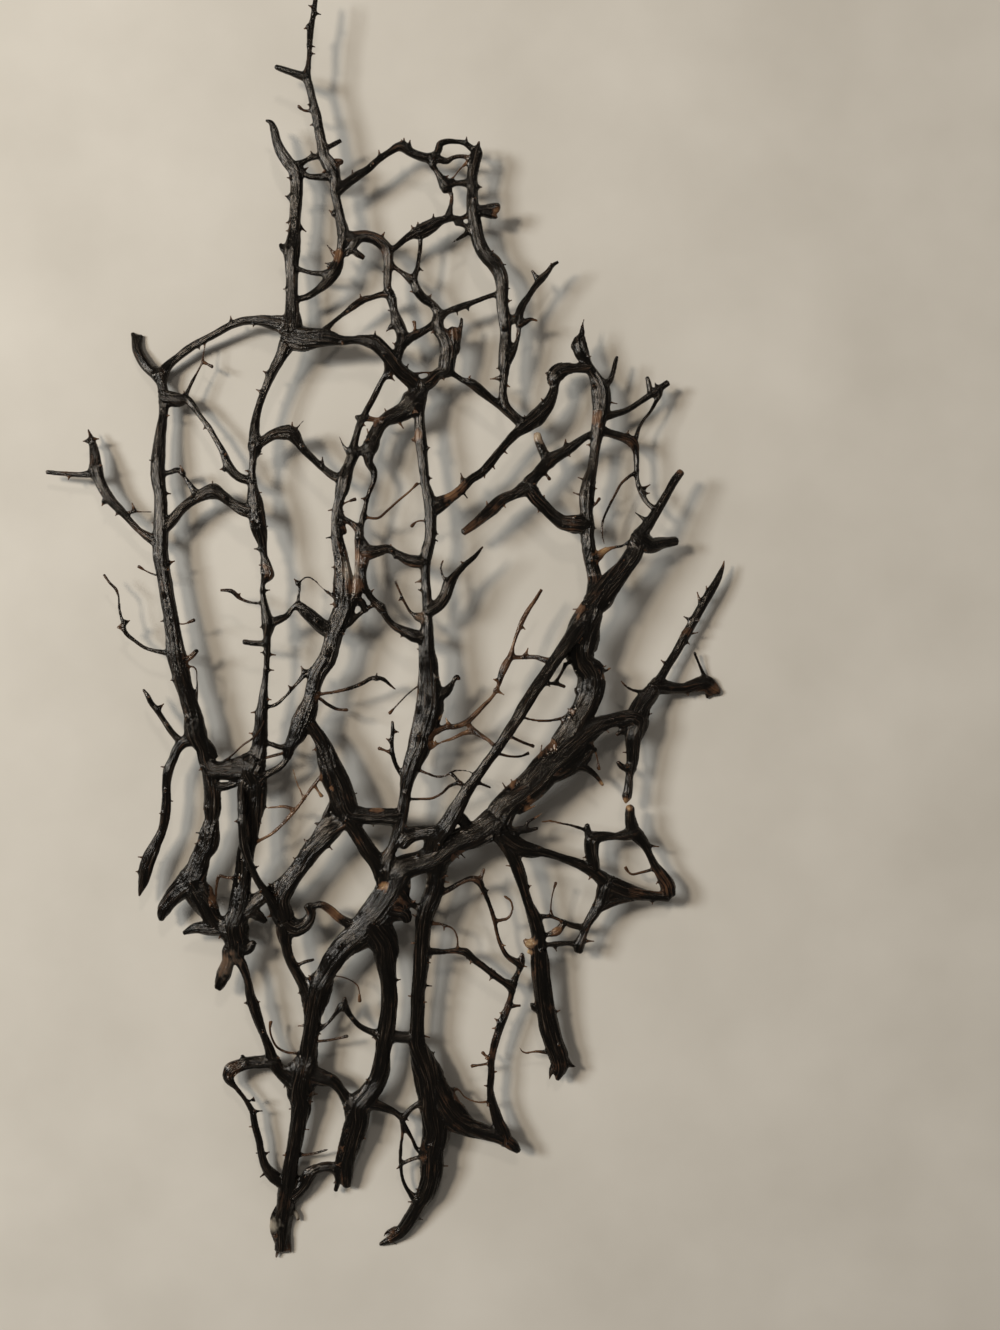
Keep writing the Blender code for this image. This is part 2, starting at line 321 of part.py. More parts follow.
        [(290.7, 330.6, 17.6), (282.7, 324.1, 17.5), (271.8, 322.3, 14.2), (258, 320.2, 10.9),
         (244.2, 320.8, 9.2), (230.3, 325.8, 8.2), (216.3, 333.7, 7.8), (203.3, 340.4, 7.7),
         (190.6, 347.8, 8.2), (178.7, 356.9, 7.9), (168.5, 365.6, 9.4), (160.6, 374.6, 14.1)],
        [(206, 339, 2.5), (203.6, 353.9, 2.4), (202.4, 361.8, 2.9), (198, 371.1, 2.7), (192.5, 381.3, 3.8),
         (186.7, 394, 4.6)],
        [(203, 362, 2), (213, 367, 1.6)],
    ],
    "upper_left_link": [
        [(290.6, 336.8, 18.1), (285.7, 347.4, 15.8), (278.9, 360, 10.9), (271.2, 374.7, 9.5),
         (265, 390, 7.8), (259.6, 404.8, 7.6), (255.9, 419, 8.6), (254.6, 432, 10.2), (255.8, 446, 14.9)],
    ],
    "upper_left_arch": [
        [(162, 396.8, 15.9), (170, 398.7, 16.5), (179.9, 399.9, 13.7), (186.9, 399.3, 8.9), (193.1, 406, 8),
         (200.6, 416.6, 5.6), (208.9, 427.5, 6.3), (215.9, 439.5, 6.1), (223.4, 452.7, 7.1),
         (228.9, 466.8, 10.3), (237, 475.8, 9.3), (253.1, 481.8, 9.5)],
    ],
    "left_tip": [
        [(162.4, 546.6, 14.2), (150.3, 537.9, 10.6), (139.6, 530.6, 7.1), (130.3, 520.8, 6.9),
         (121.6, 511.4, 9.4), (112.6, 502.4, 10.8), (105.3, 492.5, 10.9), (99.4, 481.1, 12.3),
         (95.8, 469.6, 14.5), (95.2, 457.9, 11), (93.1, 444.8, 7.5), (90.4, 435.6, 4.7), (88, 428.7, 2.4)],
        [(95, 473.5, 9.1), (80, 474.7, 6), (65, 473.8, 5.2), (46, 472, 4.8)],
        [(123.2, 514.4, 4.8), (135.2, 511.8, 3), (145, 512, 1.6), (152, 512, 2.5)],
    ],
    "left_arch": [
        [(163, 529, 12), (173.2, 519.2, 11.4), (182.2, 508.6, 10.2), (192.1, 500.8, 11.2),
         (202.5, 494.8, 13.1), (213.2, 491.5, 16), (222.1, 495.5, 11.6), (232.1, 502.8, 10.4),
         (243.3, 509.1, 14.5), (256.4, 512, 13.1)],
    ],
    "left_foot": [
        [(195, 739.9, 12.6), (184.1, 741.9, 12.4), (177.8, 748.4, 10.7), (173.2, 758.5, 9.5),
         (168.3, 770.2, 11.3), (166.3, 785, 9.4), (166.3, 800.1, 10.1), (165.2, 815.2, 10.8),
         (162.4, 829.4, 8.5), (156.5, 842.6, 11.5), (149.9, 857.4, 15.4), (145.6, 870.2, 14.6),
         (143.2, 882.3, 10.5), (139.1, 896.3, 2.6)],
        [(182.7, 744.1, 8.4), (172.9, 733.6, 6.9), (165.1, 722.5, 6), (157.5, 711.2, 6.2),
         (150.2, 701.7, 6), (147, 695, 5), (143, 689, 3)],
    ],
    "left_claw": [
        [(207, 764.8, 12.2), (209.8, 779.8, 14.3), (212.5, 795, 16.8), (212.2, 808, 17.2),
         (211.7, 819.8, 13.4), (209.4, 831.8, 20.7), (207.3, 844.3, 21.8), (201.5, 854.7, 18.7),
         (197.8, 866.8, 21.9), (191.3, 880.7, 30.3), (181, 888.8, 22.6), (171.2, 899.9, 16.8),
         (164.1, 909.6, 14.8), (160.5, 920.6, 5)],
        [(192, 878, 20), (199.1, 893.4, 29.5), (206.1, 905.5, 26.4), (212, 916.8, 17.5),
         (218.7, 925.9, 16.6), (235.3, 927.4, 19.7)],
        [(212, 904, 3), (215, 899, 2.5), (216.4, 886.6, 2.3), (219.8, 876, 3.8), (227.4, 877.6, 2.3),
         (234, 878, 2.5)],
        [(218, 928.2, 16.2), (208.2, 928.5, 15.1), (196.2, 928, 11.1), (183.1, 933.4, 4.5)],
        [(211, 786, 11), (223, 787, 9), (238, 783, 7)],
    ],
    "inner_arch": [
        [(254.9, 446.5, 10.6), (264, 440.8, 9.9), (273.6, 434.8, 11.6), (283.1, 432.8, 14.5),
         (290.8, 433, 15.9), (296.9, 440.2, 11.3), (305.6, 451.4, 8.4), (315.2, 460.9, 7.3),
         (325.3, 469.8, 7.5), (333.5, 475.8, 9.2), (343.7, 479.5, 10.6)],
        [(294, 436, 4), (296, 430, 2.5), (304, 420, 2)],
    ],
    "inner_strand": [
        [(351.8, 452.4, 11), (361.4, 450.8, 8.4), (369.2, 447.7, 18.5), (373.8, 437, 14.4),
         (379.5, 426.4, 13.1), (386.2, 419.6, 13.8), (395.2, 415.2, 16.3), (405.1, 409.8, 20.4),
         (413.9, 401.1, 27.5), (420.9, 392.8, 17.9)],
        [(369.2, 449, 15.6), (368.8, 461.8, 8.7), (374, 471.8, 7.4), (373.5, 482, 5.1), (369, 493, 4.4),
         (365.8, 505, 4.6), (363, 517, 6.8), (361, 527, 6.2), (360.3, 535.2, 5.5), (364.7, 548.1, 12.6),
         (364.2, 560, 11), (362.3, 572.2, 8.3), (363.3, 583.5, 8.7), (368.1, 593.9, 7.2),
         (375.5, 602.7, 7.8), (382.2, 608.4, 11.7)],
        [(366.2, 552.3, 16), (377.3, 551.3, 11.2), (388.1, 549, 9.2), (394.9, 552.2, 7.3),
         (403.9, 558, 10.5), (414, 561.7, 13.3), (426.1, 561.6, 11.6)],
        [(381, 605.6, 9.2), (385.6, 616, 7), (393, 625, 7.6), (403.5, 630.7, 9.5), (414, 635.8, 13.7),
         (427.2, 638.4, 12.3)],
        [(379.5, 602, 5.6), (367.6, 608.3, 4.2), (357, 616.1, 5), (346.3, 624.6, 8.4), (337.1, 625.4, 7.8)],
        [(364, 517, 2.5), (378, 518, 2.5), (388, 510, 2.5), (398, 501, 2.5), (410, 491, 2), (418, 483, 2)],
        [(355, 417.2, 4.1), (361, 417.6, 6.2), (369, 418.7, 6.2), (378, 419.5, 4.8), (387, 419.5, 6.2)],
    ],
    "inner_fork": [
        [(305, 716, 14), (312.6, 727.6, 12.8), (321.4, 741.4, 15.2), (327.1, 756.9, 21.1),
         (332.4, 772.3, 26.4), (338.9, 787.1, 27.1), (343.2, 800.4, 26.8), (349.1, 812.7, 24.6),
         (365.9, 816.3, 15.6), (380, 816.7, 16.4), (393, 817.1, 17.6), (401, 816.3, 13)],
        [(348, 812, 18), (344.2, 821.3, 13.5), (333.5, 829.5, 17.5), (321.8, 839.8, 20), (310.5, 851.5, 20),
         (302.2, 864.5, 17.4), (293.4, 875.8, 18.3), (285.9, 887.4, 20.7), (280.4, 900.9, 18.4),
         (283.7, 916, 22)],
        [(321, 744.2, 7.9), (324.6, 765.1, 6.9), (329.8, 782, 8.4), (332.8, 797, 7.4), (336.9, 812, 7.3),
         (346, 820, 12), (355, 830, 16), (362, 840.5, 16), (369, 851.5, 17), (378, 864, 18),
         (385, 884, 16)],
        [(333.2, 799.6, 5.9), (325.9, 813, 5.2), (319.3, 823.3, 3.1), (314.1, 823.2, 2.6)],
        [(341.8, 814.7, 5.7), (329.4, 817.4, 6.7), (311.5, 841.6, 7.4), (297.1, 860.1, 5.7),
         (284.1, 877, 5.7), (269.8, 887.8, 6.7), (257, 896, 8.1), (244.2, 905.2, 11.2)],
    ],
    "left_tangle": [
        [(330.8, 773.7, 4.8), (323.7, 774.7, 4.9), (315.8, 782.8, 4.1), (308, 793.1, 3.9),
         (300.6, 803.5, 3.6), (291.8, 813.7, 4.6), (281.8, 824.8, 4.1), (270.5, 834.6, 3.8),
         (260.2, 840.3, 3.7), (250.1, 847.2, 3.5)],
        [(293.6, 809.9, 4.8), (285.3, 806.6, 3.9), (274.9, 807.4, 2.7), (265, 808, 2)],
        [(304.2, 799.6, 4.8), (302.7, 795.8, 2.9), (297, 783, 2), (293, 769, 2)],
        [(314, 785, 2), (322, 797, 1.6)],
    ],
    "lower_left_fork": [
        [(284.4, 914, 19.1), (284.9, 932.1, 17), (286.1, 946.3, 10.9), (289.9, 959.4, 10.6),
         (296.1, 971.5, 10.5), (303.3, 984.4, 11.8), (311, 1000.5, 16.4)],
        [(284.6, 922, 19.2), (296, 928.4, 18.3), (306.2, 923.5, 13.8), (311.3, 912.4, 9.4),
         (307.2, 904.6, 9.2)],
        [(311, 906.3, 5.6), (320.8, 904.7, 8.2), (330, 909.7, 9.5), (338.4, 917.4, 9.6),
         (353, 925.5, 10.7)],
        [(295.1, 966.5, 4), (306.2, 961.7, 4.3), (314.2, 959.6, 3.6)],
    ],
    "front_rod": [
        [(247, 772, 7), (241.2, 785, 8.3, 4), (241.5, 804.9, 8.9), (242.1, 825.1, 9.2, 6),
         (244.1, 845.2, 9.8), (249.7, 862.6, 7.3, 6), (256.9, 879.2, 7), (266.2, 892.5, 8.7, 4),
         (274.2, 905.9, 12.6), (281.5, 918.3, 17.2, 0)],
    ],
    "left_loop": [
        [(274, 1061.1, 13.7), (262.1, 1061.8, 12.7), (250.2, 1062.5, 12.5), (239.5, 1065.2, 13.2),
         (230.5, 1070.6, 15.2), (228.7, 1077.8, 10.9), (235.8, 1087.6, 4.9), (244.6, 1098.6, 4.8),
         (251.8, 1110.6, 6), (255.2, 1125.9, 7.7), (259.3, 1141, 7.3), (261.7, 1154.3, 8.1),
         (266.7, 1168, 9.6), (274.8, 1176.9, 13.8), (286.8, 1185.2, 13.5)],
        [(243, 1063, 6), (242, 1055, 4)],
    ],
    "centre_spray": [
        [(421.1, 737.4, 7.2), (436.2, 731.7, 6.7), (444.2, 727.6, 6.1), (455.1, 726.5, 6.2),
         (466.1, 722.3, 6.2), (475.2, 714.2, 6.2), (484.1, 705.1, 4.9), (492.8, 695.9, 3.9),
         (498.2, 686, 4.5), (501, 675.6, 6.8), (505.6, 665.1, 8.6), (510.4, 656.6, 7.3),
         (513.1, 645.4, 3.6), (517.5, 632.5, 4.3), (522.5, 620.6, 5.3), (529.2, 608.7, 4.8),
         (534.9, 600.6, 4.2), (541.7, 589.4, 3.7)],
        [(508, 657.3, 5.7), (522, 657.4, 4.9), (535, 657, 4.7), (546.2, 660.5, 7.9), (555.2, 662.6, 9)],
        [(466.4, 721.5, 3.6), (472.3, 729.8, 7.4), (478.9, 734.3, 5.9), (487.9, 739.2, 4.4),
         (494.7, 744.5, 5.1), (500.7, 745.6, 4.8)],
        [(474.2, 732, 6.1), (463.6, 733.4, 4.8), (452.7, 738.6, 3.8), (440.3, 742.7, 2.7),
         (430.1, 749.2, 3.5)],
    ],
    "right_wing": [
        [(601.1, 418.4, 10.1), (614.1, 414.4, 8), (627.2, 410.2, 7), (639.3, 402.5, 6), (649.5, 395.6, 7.1),
         (658.5, 389.7, 8.2), (668.4, 382.6, 7.2)],
        [(650.1, 394.9, 6.2), (648.9, 383.8, 6.2), (646.9, 376.8, 4.3)],
        [(658, 388.1, 9.3), (659.4, 392, 7.4), (655.7, 401.8, 4.6), (650.3, 411.6, 3.9),
         (642.4, 421.7, 3.9), (637.5, 431.8, 4.3), (635.2, 444.9, 5.4)],
        [(599, 429.9, 9.8), (611.1, 433.9, 8.6), (622.4, 437.6, 9), (632.2, 442.5, 11.7), (636.2, 454, 6.4),
         (636.7, 468.2, 5.5), (637.6, 481.3, 5.3), (641.3, 492.9, 6.7), (646.9, 503.6, 5.7),
         (655.4, 511.2, 6.6)],
        [(638.8, 471.2, 4.3), (629.2, 476.6, 4.1), (621.1, 484.1, 3.5), (615.2, 494.6, 3.3),
         (608.5, 507.6, 3.5), (603.1, 520.4, 3.1), (601.9, 533.2, 2.8), (604.5, 545, 1.8)],
    ],
    "right_fork": [
        [(597.5, 431.7, 6.6), (584.4, 437.7, 7.4), (572.3, 446.5, 9.9), (560.6, 454.1, 11.9),
         (549.1, 460.5, 14.9), (544, 466.3, 12.2), (536.5, 475.2, 11.4), (529.1, 483.7, 16),
         (534.1, 495.8, 14.8), (544.1, 505.9, 13.5), (553.3, 515.5, 12.4), (563.7, 522.8, 15.1),
         (575.4, 524, 19.5), (586.9, 524.8, 15)],
        [(547, 459.5, 9.5), (540.8, 446.5, 8.7), (537.9, 438.4, 8.3), (537.3, 433.2, 7.5)],
        [(543, 470, 3), (550, 480, 2)],
        [(533.2, 486.6, 13.1), (524.7, 488.8, 16.8), (514.1, 494.3, 10.8), (502.3, 499.9, 11.8),
         (492.6, 508.9, 13), (482.5, 517.8, 10.8), (472.1, 526.3, 9.6), (462.7, 532.8, 7.1)],
    ],
    "lower_web": [
        [(590.6, 610.8, 25), (586.4, 620.5, 30.5), (582.9, 635.2, 35.3), (580.2, 650.1, 35.1),
         (582.7, 662, 22.9), (591, 676, 28), (591, 690, 28), (587, 703.5, 26), (579, 717, 25),
         (570.2, 732.1, 25.5), (560, 747, 24)],
        [(588, 661, 12), (597.9, 664.6, 8.8), (604.8, 671, 3.9), (610.9, 667.6, 2.4)],
    ],
    "right_tip": [
        [(636.4, 716.2, 21.8), (641.5, 705, 20.2), (648.5, 695.8, 18.9), (653.7, 689.3, 16.1),
         (661.1, 676.7, 9.5), (668.8, 664, 8.9), (676.8, 651.1, 9.5), (684.4, 637.8, 10.1),
         (693.5, 621.9, 10.1), (702.4, 605.8, 9.6), (710.7, 591.4, 9.6), (718.6, 577.3, 7.1),
         (722.6, 567.3, 4), (724.3, 560.1, 1.6)],
        [(654.1, 685.9, 17), (670.1, 687.9, 13), (684.2, 688.2, 11.6), (696.3, 685.2, 14.4, 0),
         (705.2, 684, 19.8, -0.6), (711.7, 688.3, 16.1, -0.6), (719.6, 692.6, 7.5, 0)],
        [(706.2, 686, 6.6), (708.2, 698, 4.5)],
        [(706.2, 679.5, 5.6), (703, 672.5, 4.7), (698.6, 662.7, 3.2), (694.2, 651.9, 3.3)],
        [(647.2, 693.5, 5.1), (642.2, 692.1, 5.5), (632.8, 690.1, 3.4), (626.4, 686.7, 2.9),
         (620.7, 680.5, 2.9)],
    ],
    "right_link": [
        [(497, 832, 18), (505, 838, 18), (517.1, 845.8, 18.9), (530.2, 850.4, 15.6), (543.2, 852.1, 10.2),
         (556.4, 855.8, 8.4), (569.7, 860.3, 9.9), (582.7, 865.4, 11.3), (595.4, 873.3, 12.1),
         (607.7, 882.7, 16.7), (620.3, 889.2, 20), (633.3, 892.8, 16.5), (646.5, 895.2, 11.7),
         (658.9, 896.4, 10.7), (669.1, 896.4, 12.7)],
        [(608.5, 881.7, 17.1), (605.4, 887.7, 17.1), (601.7, 899.4, 14.4), (595, 911.6, 11.7),
         (587.7, 923.3, 9.3), (583.1, 934.4, 8.5), (579.2, 945.4, 12.4), (578.5, 952.2, 9)],
        [(585.8, 927.8, 7.1), (570.8, 924.9, 6.1), (560.9, 920.3, 4.1), (551.1, 916.8, 4),
         (541.1, 916.6, 6.6), (533, 917.8, 6.4)],
        [(564.9, 922.1, 5.7), (556.3, 931.4, 9.8), (547.1, 934.9, 4.6), (535.8, 936.5, 6)],
        [(580, 944.8, 7.4), (568, 943.2, 5.5), (556, 944, 6), (540, 945.5, 4.8)],
        [(552, 917, 2), (551, 911, 1.6), (552, 897, 1.4), (556, 882, 1.4)],
        [(640, 896, 8), (622, 899, 10), (606, 904, 12), (599, 908, 10)],
    ],
    "right_ring": [
        [(630.4, 806, 9.1), (630.4, 816, 10.7), (632, 827, 13.2), (637.1, 836, 14.4), (643.4, 842.8, 11.3),
         (649.2, 853.9, 7.8), (655.1, 865.9, 9.2), (661.5, 875.7, 12.6), (667.5, 885.7, 15.6),
         (669.2, 895.9, 13.4)],
        [(635, 832.2, 15.5), (616, 836.2, 8), (603.2, 836.5, 10.9), (592.7, 839.4, 16.3),
         (591.6, 849.2, 15.4), (593.1, 860, 12.8), (596.6, 876.8, 9.2)],
        [(657.1, 868.5, 3.3), (651.2, 869.9, 3.5), (641.1, 872.5, 2.7), (631, 874, 2.5), (625, 867, 2)],
        [(590.5, 838.2, 11.6), (588, 832.1, 8.9), (587.1, 823.9, 5.2)],
        [(589.1, 831, 4.8), (582.8, 828.9, 4.2), (571.8, 825.6, 3.3), (559.9, 823.1, 2.5), (550, 821, 2.5),
         (541, 822, 2.5)],
    ],
    "hanging_limb": [
        [(498, 830, 20), (503.3, 839.8, 15.1), (509.2, 849.5, 13.6), (515.4, 863.1, 14.6),
         (520.4, 877.1, 12.8), (524.6, 891.5, 10.6), (529.1, 905.6, 11.1), (534.1, 918.5, 14.4),
         (537.8, 931.9, 14.1), (538.9, 946.1, 15), (539.8, 962.1, 20.1), (541.6, 980.2, 19.2),
         (544, 1000.3, 20.2), (547.9, 1020.4, 20.4), (552.5, 1038.3, 19.7), (558.1, 1055.2, 20.4),
         (560.5, 1068, 15.6), (557.2, 1080.1, 4.6)],
        [(537, 942.2, 10.8), (529.1, 943.4, 10.3), (524, 939.9, 5.1)],
        [(531.6, 946.3, 4.6), (527.9, 953.5, 3.9)],
        [(545, 1011, 7.7), (534, 1008, 7.5), (531, 1003, 3.8)],
        [(555, 1050.6, 6.5), (548, 1052, 5.4), (536, 1051.6, 3), (523, 1052.1, 2.4), (519, 1047, 1.6)],
    ],
    "middle_limb": [
        [(371.7, 925.1, 34.6), (384.6, 945.1, 30.9), (385.9, 960, 22.3), (388.5, 980, 17),
         (389.5, 1000, 17), (388.1, 1018, 17.4), (385.5, 1036.1, 19.4), (383.2, 1052.3, 15.4),
         (381, 1069, 18.5), (376, 1083, 19.5), (367, 1096, 23), (358, 1106, 28), (357.3, 1120, 25.5),
         (353.8, 1134, 24), (349.8, 1148, 21), (347, 1162, 16), (346.8, 1175, 13), (346.7, 1187, 8.5)],
        [(352.3, 1112.1, 6.1), (346, 1122.3, 4.1), (342.4, 1136.3, 3.7), (338.8, 1152.2, 4.3),
         (336.4, 1168, 6.6)],
        [(311.3, 1030.5, 8.2), (317.9, 1029.3, 6.9), (327.3, 1023.5, 3.5), (335.8, 1013.5, 4.6),
         (342.8, 1005.8, 9.3), (350.1, 1015.3, 6.4), (358.2, 1024.8, 6), (368.8, 1030.9, 6.5),
         (385.2, 1035.5, 9.6)],
        [(344.4, 1006.2, 9.1), (344.9, 997, 4.2)],
        [(303, 1071, 18), (311.4, 1073.7, 19.6), (322.1, 1077.4, 18.2), (333, 1081.5, 12.3),
         (341.1, 1090.6, 10.2), (348, 1100.7, 13.3), (355.5, 1107.4, 24.7)],
        [(358, 1103.7, 14.5), (373.8, 1104.3, 12.6), (385.6, 1108, 9.4), (395.6, 1112.5, 6.8),
         (402.3, 1117.4, 7.4), (410.4, 1109.3, 6.1), (420, 1103.2, 6.6), (430, 1100, 7)],
        [(402.1, 1116, 6.6), (402.5, 1133.1, 3.7), (400.6, 1150, 3.9), (400.8, 1165.9, 4.5),
         (403, 1180.1, 3.8), (408.6, 1191.3, 4.8), (415.7, 1198.1, 9.5), (424, 1193.8, 8.2)],
        [(402.2, 1120.4, 5.6), (411.4, 1137.4, 4.1), (420.7, 1152.2, 4.8), (430.9, 1154.1, 4.1)],
        [(400.5, 1164.3, 4.8), (411.5, 1159.2, 4.8), (421.2, 1156.5, 4.2)],
        [(287.6, 1198.6, 15.4), (297.4, 1191.2, 14.9), (304.8, 1182.5, 15.1), (310.7, 1173, 13.6),
         (318.2, 1168.4, 9.1), (327.2, 1166.8, 10.9), (335.6, 1168.9, 12.8), (338.1, 1178.2, 6.7),
         (335.5, 1191.1, 4.8)],
    ],
    "lower_right_limb": [
        [(442.2, 845.8, 13), (438.6, 865.8, 18.9), (436.1, 879.8, 18.8), (432.7, 895, 18.6),
         (426.5, 909.8, 19.4), (423.2, 925.9, 16.1), (422.1, 941.9, 15.4), (421, 958, 16.6),
         (420.1, 975, 14.3), (418.1, 992, 13.9), (417.5, 1010, 13.6), (416.9, 1028, 14),
         (417.2, 1043.8, 17), (422.7, 1059.3, 24), (428.4, 1077.4, 30.3), (431.3, 1095.8, 28.6),
         (433.2, 1114, 25.5), (436, 1132, 29), (432.3, 1150, 25), (431.8, 1166, 24), (430.1, 1180.6, 20.8),
         (425.9, 1193.7, 18.5), (418.3, 1205.7, 15.3), (411.3, 1217.9, 14.7), (403.3, 1229.2, 13.7),
         (393, 1238.1, 9.4), (379.5, 1244.6, 3.8)],
        [(386, 1036, 14), (398, 1037, 12), (416, 1038, 11)],
    ],
    "lower_spur": [
        [(431.4, 1077.2, 22.8), (441.3, 1097.2, 29.2), (454.3, 1116.7, 30.4), (469.9, 1127.2, 20),
         (484.9, 1132.4, 15.4), (499.7, 1137.1, 15.3), (512, 1144.5, 12.6), (518.9, 1151.9, 6.2)],
        [(505.4, 1139.9, 14.8), (503.4, 1132.9, 15.1), (497.7, 1120.1, 12.3), (493.8, 1107.1, 9.2),
         (490.4, 1092, 7.9), (491.3, 1075, 7.5), (492, 1060, 7.2), (494.7, 1044.2, 8.1),
         (499.6, 1028.5, 8.6), (505.7, 1012.7, 8), (510.6, 998.3, 6.7), (513.3, 986.1, 7.2),
         (517.7, 974.2, 5.5), (521.6, 962.1, 7.6), (522.2, 953, 4.2)],
        [(491, 1061, 3), (482, 1052, 2.5)],
        [(491, 1063, 3), (480, 1065, 2.5), (471, 1066, 2)],
        [(493, 1101, 2.5), (477, 1102, 1.8), (465, 1097, 1.6), (457, 1089, 1.6), (451, 1089, 2)],
        [(505, 1008.4, 4.9), (509.2, 1006.8, 5.8), (521.1, 1005.6, 3.4)],
        [(513.3, 987.6, 12.6), (503.4, 981.7, 7.6), (493, 974.2, 7.8), (483, 966.2, 7.1),
         (473.1, 958.8, 7.7), (465.2, 951.8, 9.2), (455.7, 950.8, 5.9), (443, 951.7, 5.6),
         (421, 950.7, 9.1)],
        [(468.4, 952, 4.5), (468.3, 959, 5)],
        [(457.4, 950.1, 4), (457.3, 938.2, 2.9), (453.4, 929.3, 2.8), (445.8, 925.3, 2.5),
         (434, 923.3, 4.5), (425, 922.1, 5.4)],
        [(438.6, 894.2, 7.5), (450.2, 888.6, 6.5), (461.2, 882.2, 5.4), (472.3, 878.5, 6.5),
         (478.6, 880.9, 8.6), (484, 891.4, 5.4), (489.4, 904.3, 4.1), (494, 918.3, 4.9),
         (496.6, 931.4, 4.2), (500.7, 944.8, 4.7), (507.5, 956.3, 5.8), (520, 964, 9)],
        [(479.4, 882.1, 5), (484.3, 868.1, 3.4)],
        [(496.5, 920.9, 4), (508.4, 917.8, 3.2), (512.5, 908.6, 2.6), (510.6, 900.9, 3.1),
         (503.9, 895.9, 3.4)],
    ],
}

# Thorns and broken stubs too short to be limbs: root x and y, then tip x and y, in the same pixels.
THORNS = [
    (314, 13, 321, 14), (308, 27, 304, 29), (309, 46, 315, 46), (315, 124, 310, 125), (334, 214, 329, 210),
    (336, 256, 327, 245), (332, 265, 325, 263), (299, 226, 306, 232), (289, 197, 285, 196),
    (290, 222, 286, 223), (303, 171, 308, 167), (313, 156, 311, 151), (404, 144, 404, 138),
    (409, 146, 410, 140), (380, 158, 379, 150), (353, 178, 352, 170), (466, 143, 467, 137),
    (433, 221, 434, 214), (418, 227, 418, 222), (478, 187, 482, 187), (503, 288, 510, 288),
    (501, 378, 490, 379), (504, 384, 510, 387), (497, 264, 506, 264), (492, 260, 501, 259),
    (386, 272, 382, 272), (415, 292, 410, 291), (456, 308, 458, 315), (362, 301, 360, 294),
    (393, 311, 388, 310), (391, 327, 386, 331), (390, 377, 395, 380), (375, 338, 375, 331),
    (268, 374, 263, 371), (232, 323, 230, 316), (185, 396, 184, 391), (224, 469, 220, 469),
    (164, 493, 171, 494), (168, 563, 175, 562), (88, 441, 83, 441), (93, 439, 99, 439), (104, 502, 102, 506),
    (134, 511, 133, 503), (183, 473, 181, 465), (214, 491, 212, 481), (124, 629, 117, 628),
    (126, 622, 130, 621), (159, 708, 164, 704), (168, 768, 161, 766), (165, 800, 173, 801),
    (148, 858, 138, 857), (206, 834, 196, 832), (252, 456, 262, 453), (254, 493, 262, 493),
    (262, 528, 268, 526), (261, 549, 254, 549), (264, 566, 259, 565), (262, 591, 270, 590),
    (267, 654, 276, 655), (266, 670, 274, 670), (259, 712, 251, 712), (261, 742, 274, 742),
    (298, 583, 294, 579), (304, 672, 301, 666), (292, 431, 292, 422), (322, 466, 323, 457),
    (337, 509, 328, 510), (336, 537, 326, 537), (341, 594, 333, 594), (376, 679, 377, 673),
    (389, 416, 384, 409), (396, 418, 404, 428), (371, 440, 366, 429), (396, 556, 391, 544),
    (431, 538, 438, 541), (425, 580, 415, 582), (426, 652, 417, 649), (391, 741, 386, 739),
    (449, 726, 446, 718), (525, 657, 528, 648), (496, 690, 504, 695), (463, 481, 461, 473),
    (461, 488, 466, 499), (484, 472, 485, 478), (491, 463, 495, 469), (502, 449, 507, 454),
    (603, 399, 616, 406), (589, 482, 578, 477), (588, 496, 573, 495), (642, 490, 650, 484),
    (566, 446, 565, 439), (488, 509, 487, 501), (544, 502, 544, 495), (647, 521, 635, 513),
    (588, 610, 573, 608), (578, 690, 596, 684), (553, 757, 553, 744), (540, 762, 541, 745),
    (510, 797, 504, 782), (684, 634, 698, 634), (691, 621, 684, 616), (701, 605, 697, 592),
    (708, 593, 706, 586), (633, 752, 623, 753), (646, 845, 659, 847), (583, 941, 594, 941),
    (516, 866, 506, 866), (455, 848, 465, 858), (309, 1025, 298, 1026), (300, 1102, 313, 1102),
    (295, 1129, 309, 1129), (298, 1108, 289, 1109), (285, 1240, 276, 1257), (248, 1003, 244, 1003),
    (253, 1100, 254, 1097), (252, 1112, 262, 1110), (256, 1126, 249, 1127), (262, 1152, 256, 1153),
    (268, 1171, 260, 1177), (285, 1075, 285, 1088), (353, 1130, 342, 1129), (420, 985, 432, 986),
    (417, 997, 408, 996), (422, 943, 411, 943), (437, 880, 449, 883), (416, 1034, 430, 1037),
    (430, 1165, 448, 1167), (418, 1202, 408, 1202), (396, 1230, 390, 1232), (499, 1022, 495, 1018),
    (498, 1028, 492, 1028), (492, 1072, 497, 1072), (490, 1086, 484, 1086), (520, 965, 527, 967),
    (516, 976, 511, 979), (492, 971, 491, 968), (485, 890, 481, 894),
]

# Colours of the dry skeleton: near-black skin, and brown where it is thin, torn or peeled.
BLACK = (0.012, 0.011, 0.010)
BROWN = (0.110, 0.050, 0.020)
BROWN_SHARES = {
    "centre_spray": 0.5, "left_tangle": 0.5, "inner_strand": 0.2, "inner_trunk": 0.1, "crown_arch": 0.15,
    "left_tip": 0.15, "lower_spur": 0.25, "hanging_limb": 0.15, "right_fork": 0.15,
}
SKIN_ROUGHNESS = 0.42


def clear_scene():
    for thing in list(bpy.data.objects):
        bpy.data.objects.remove(thing, do_unlink=True)


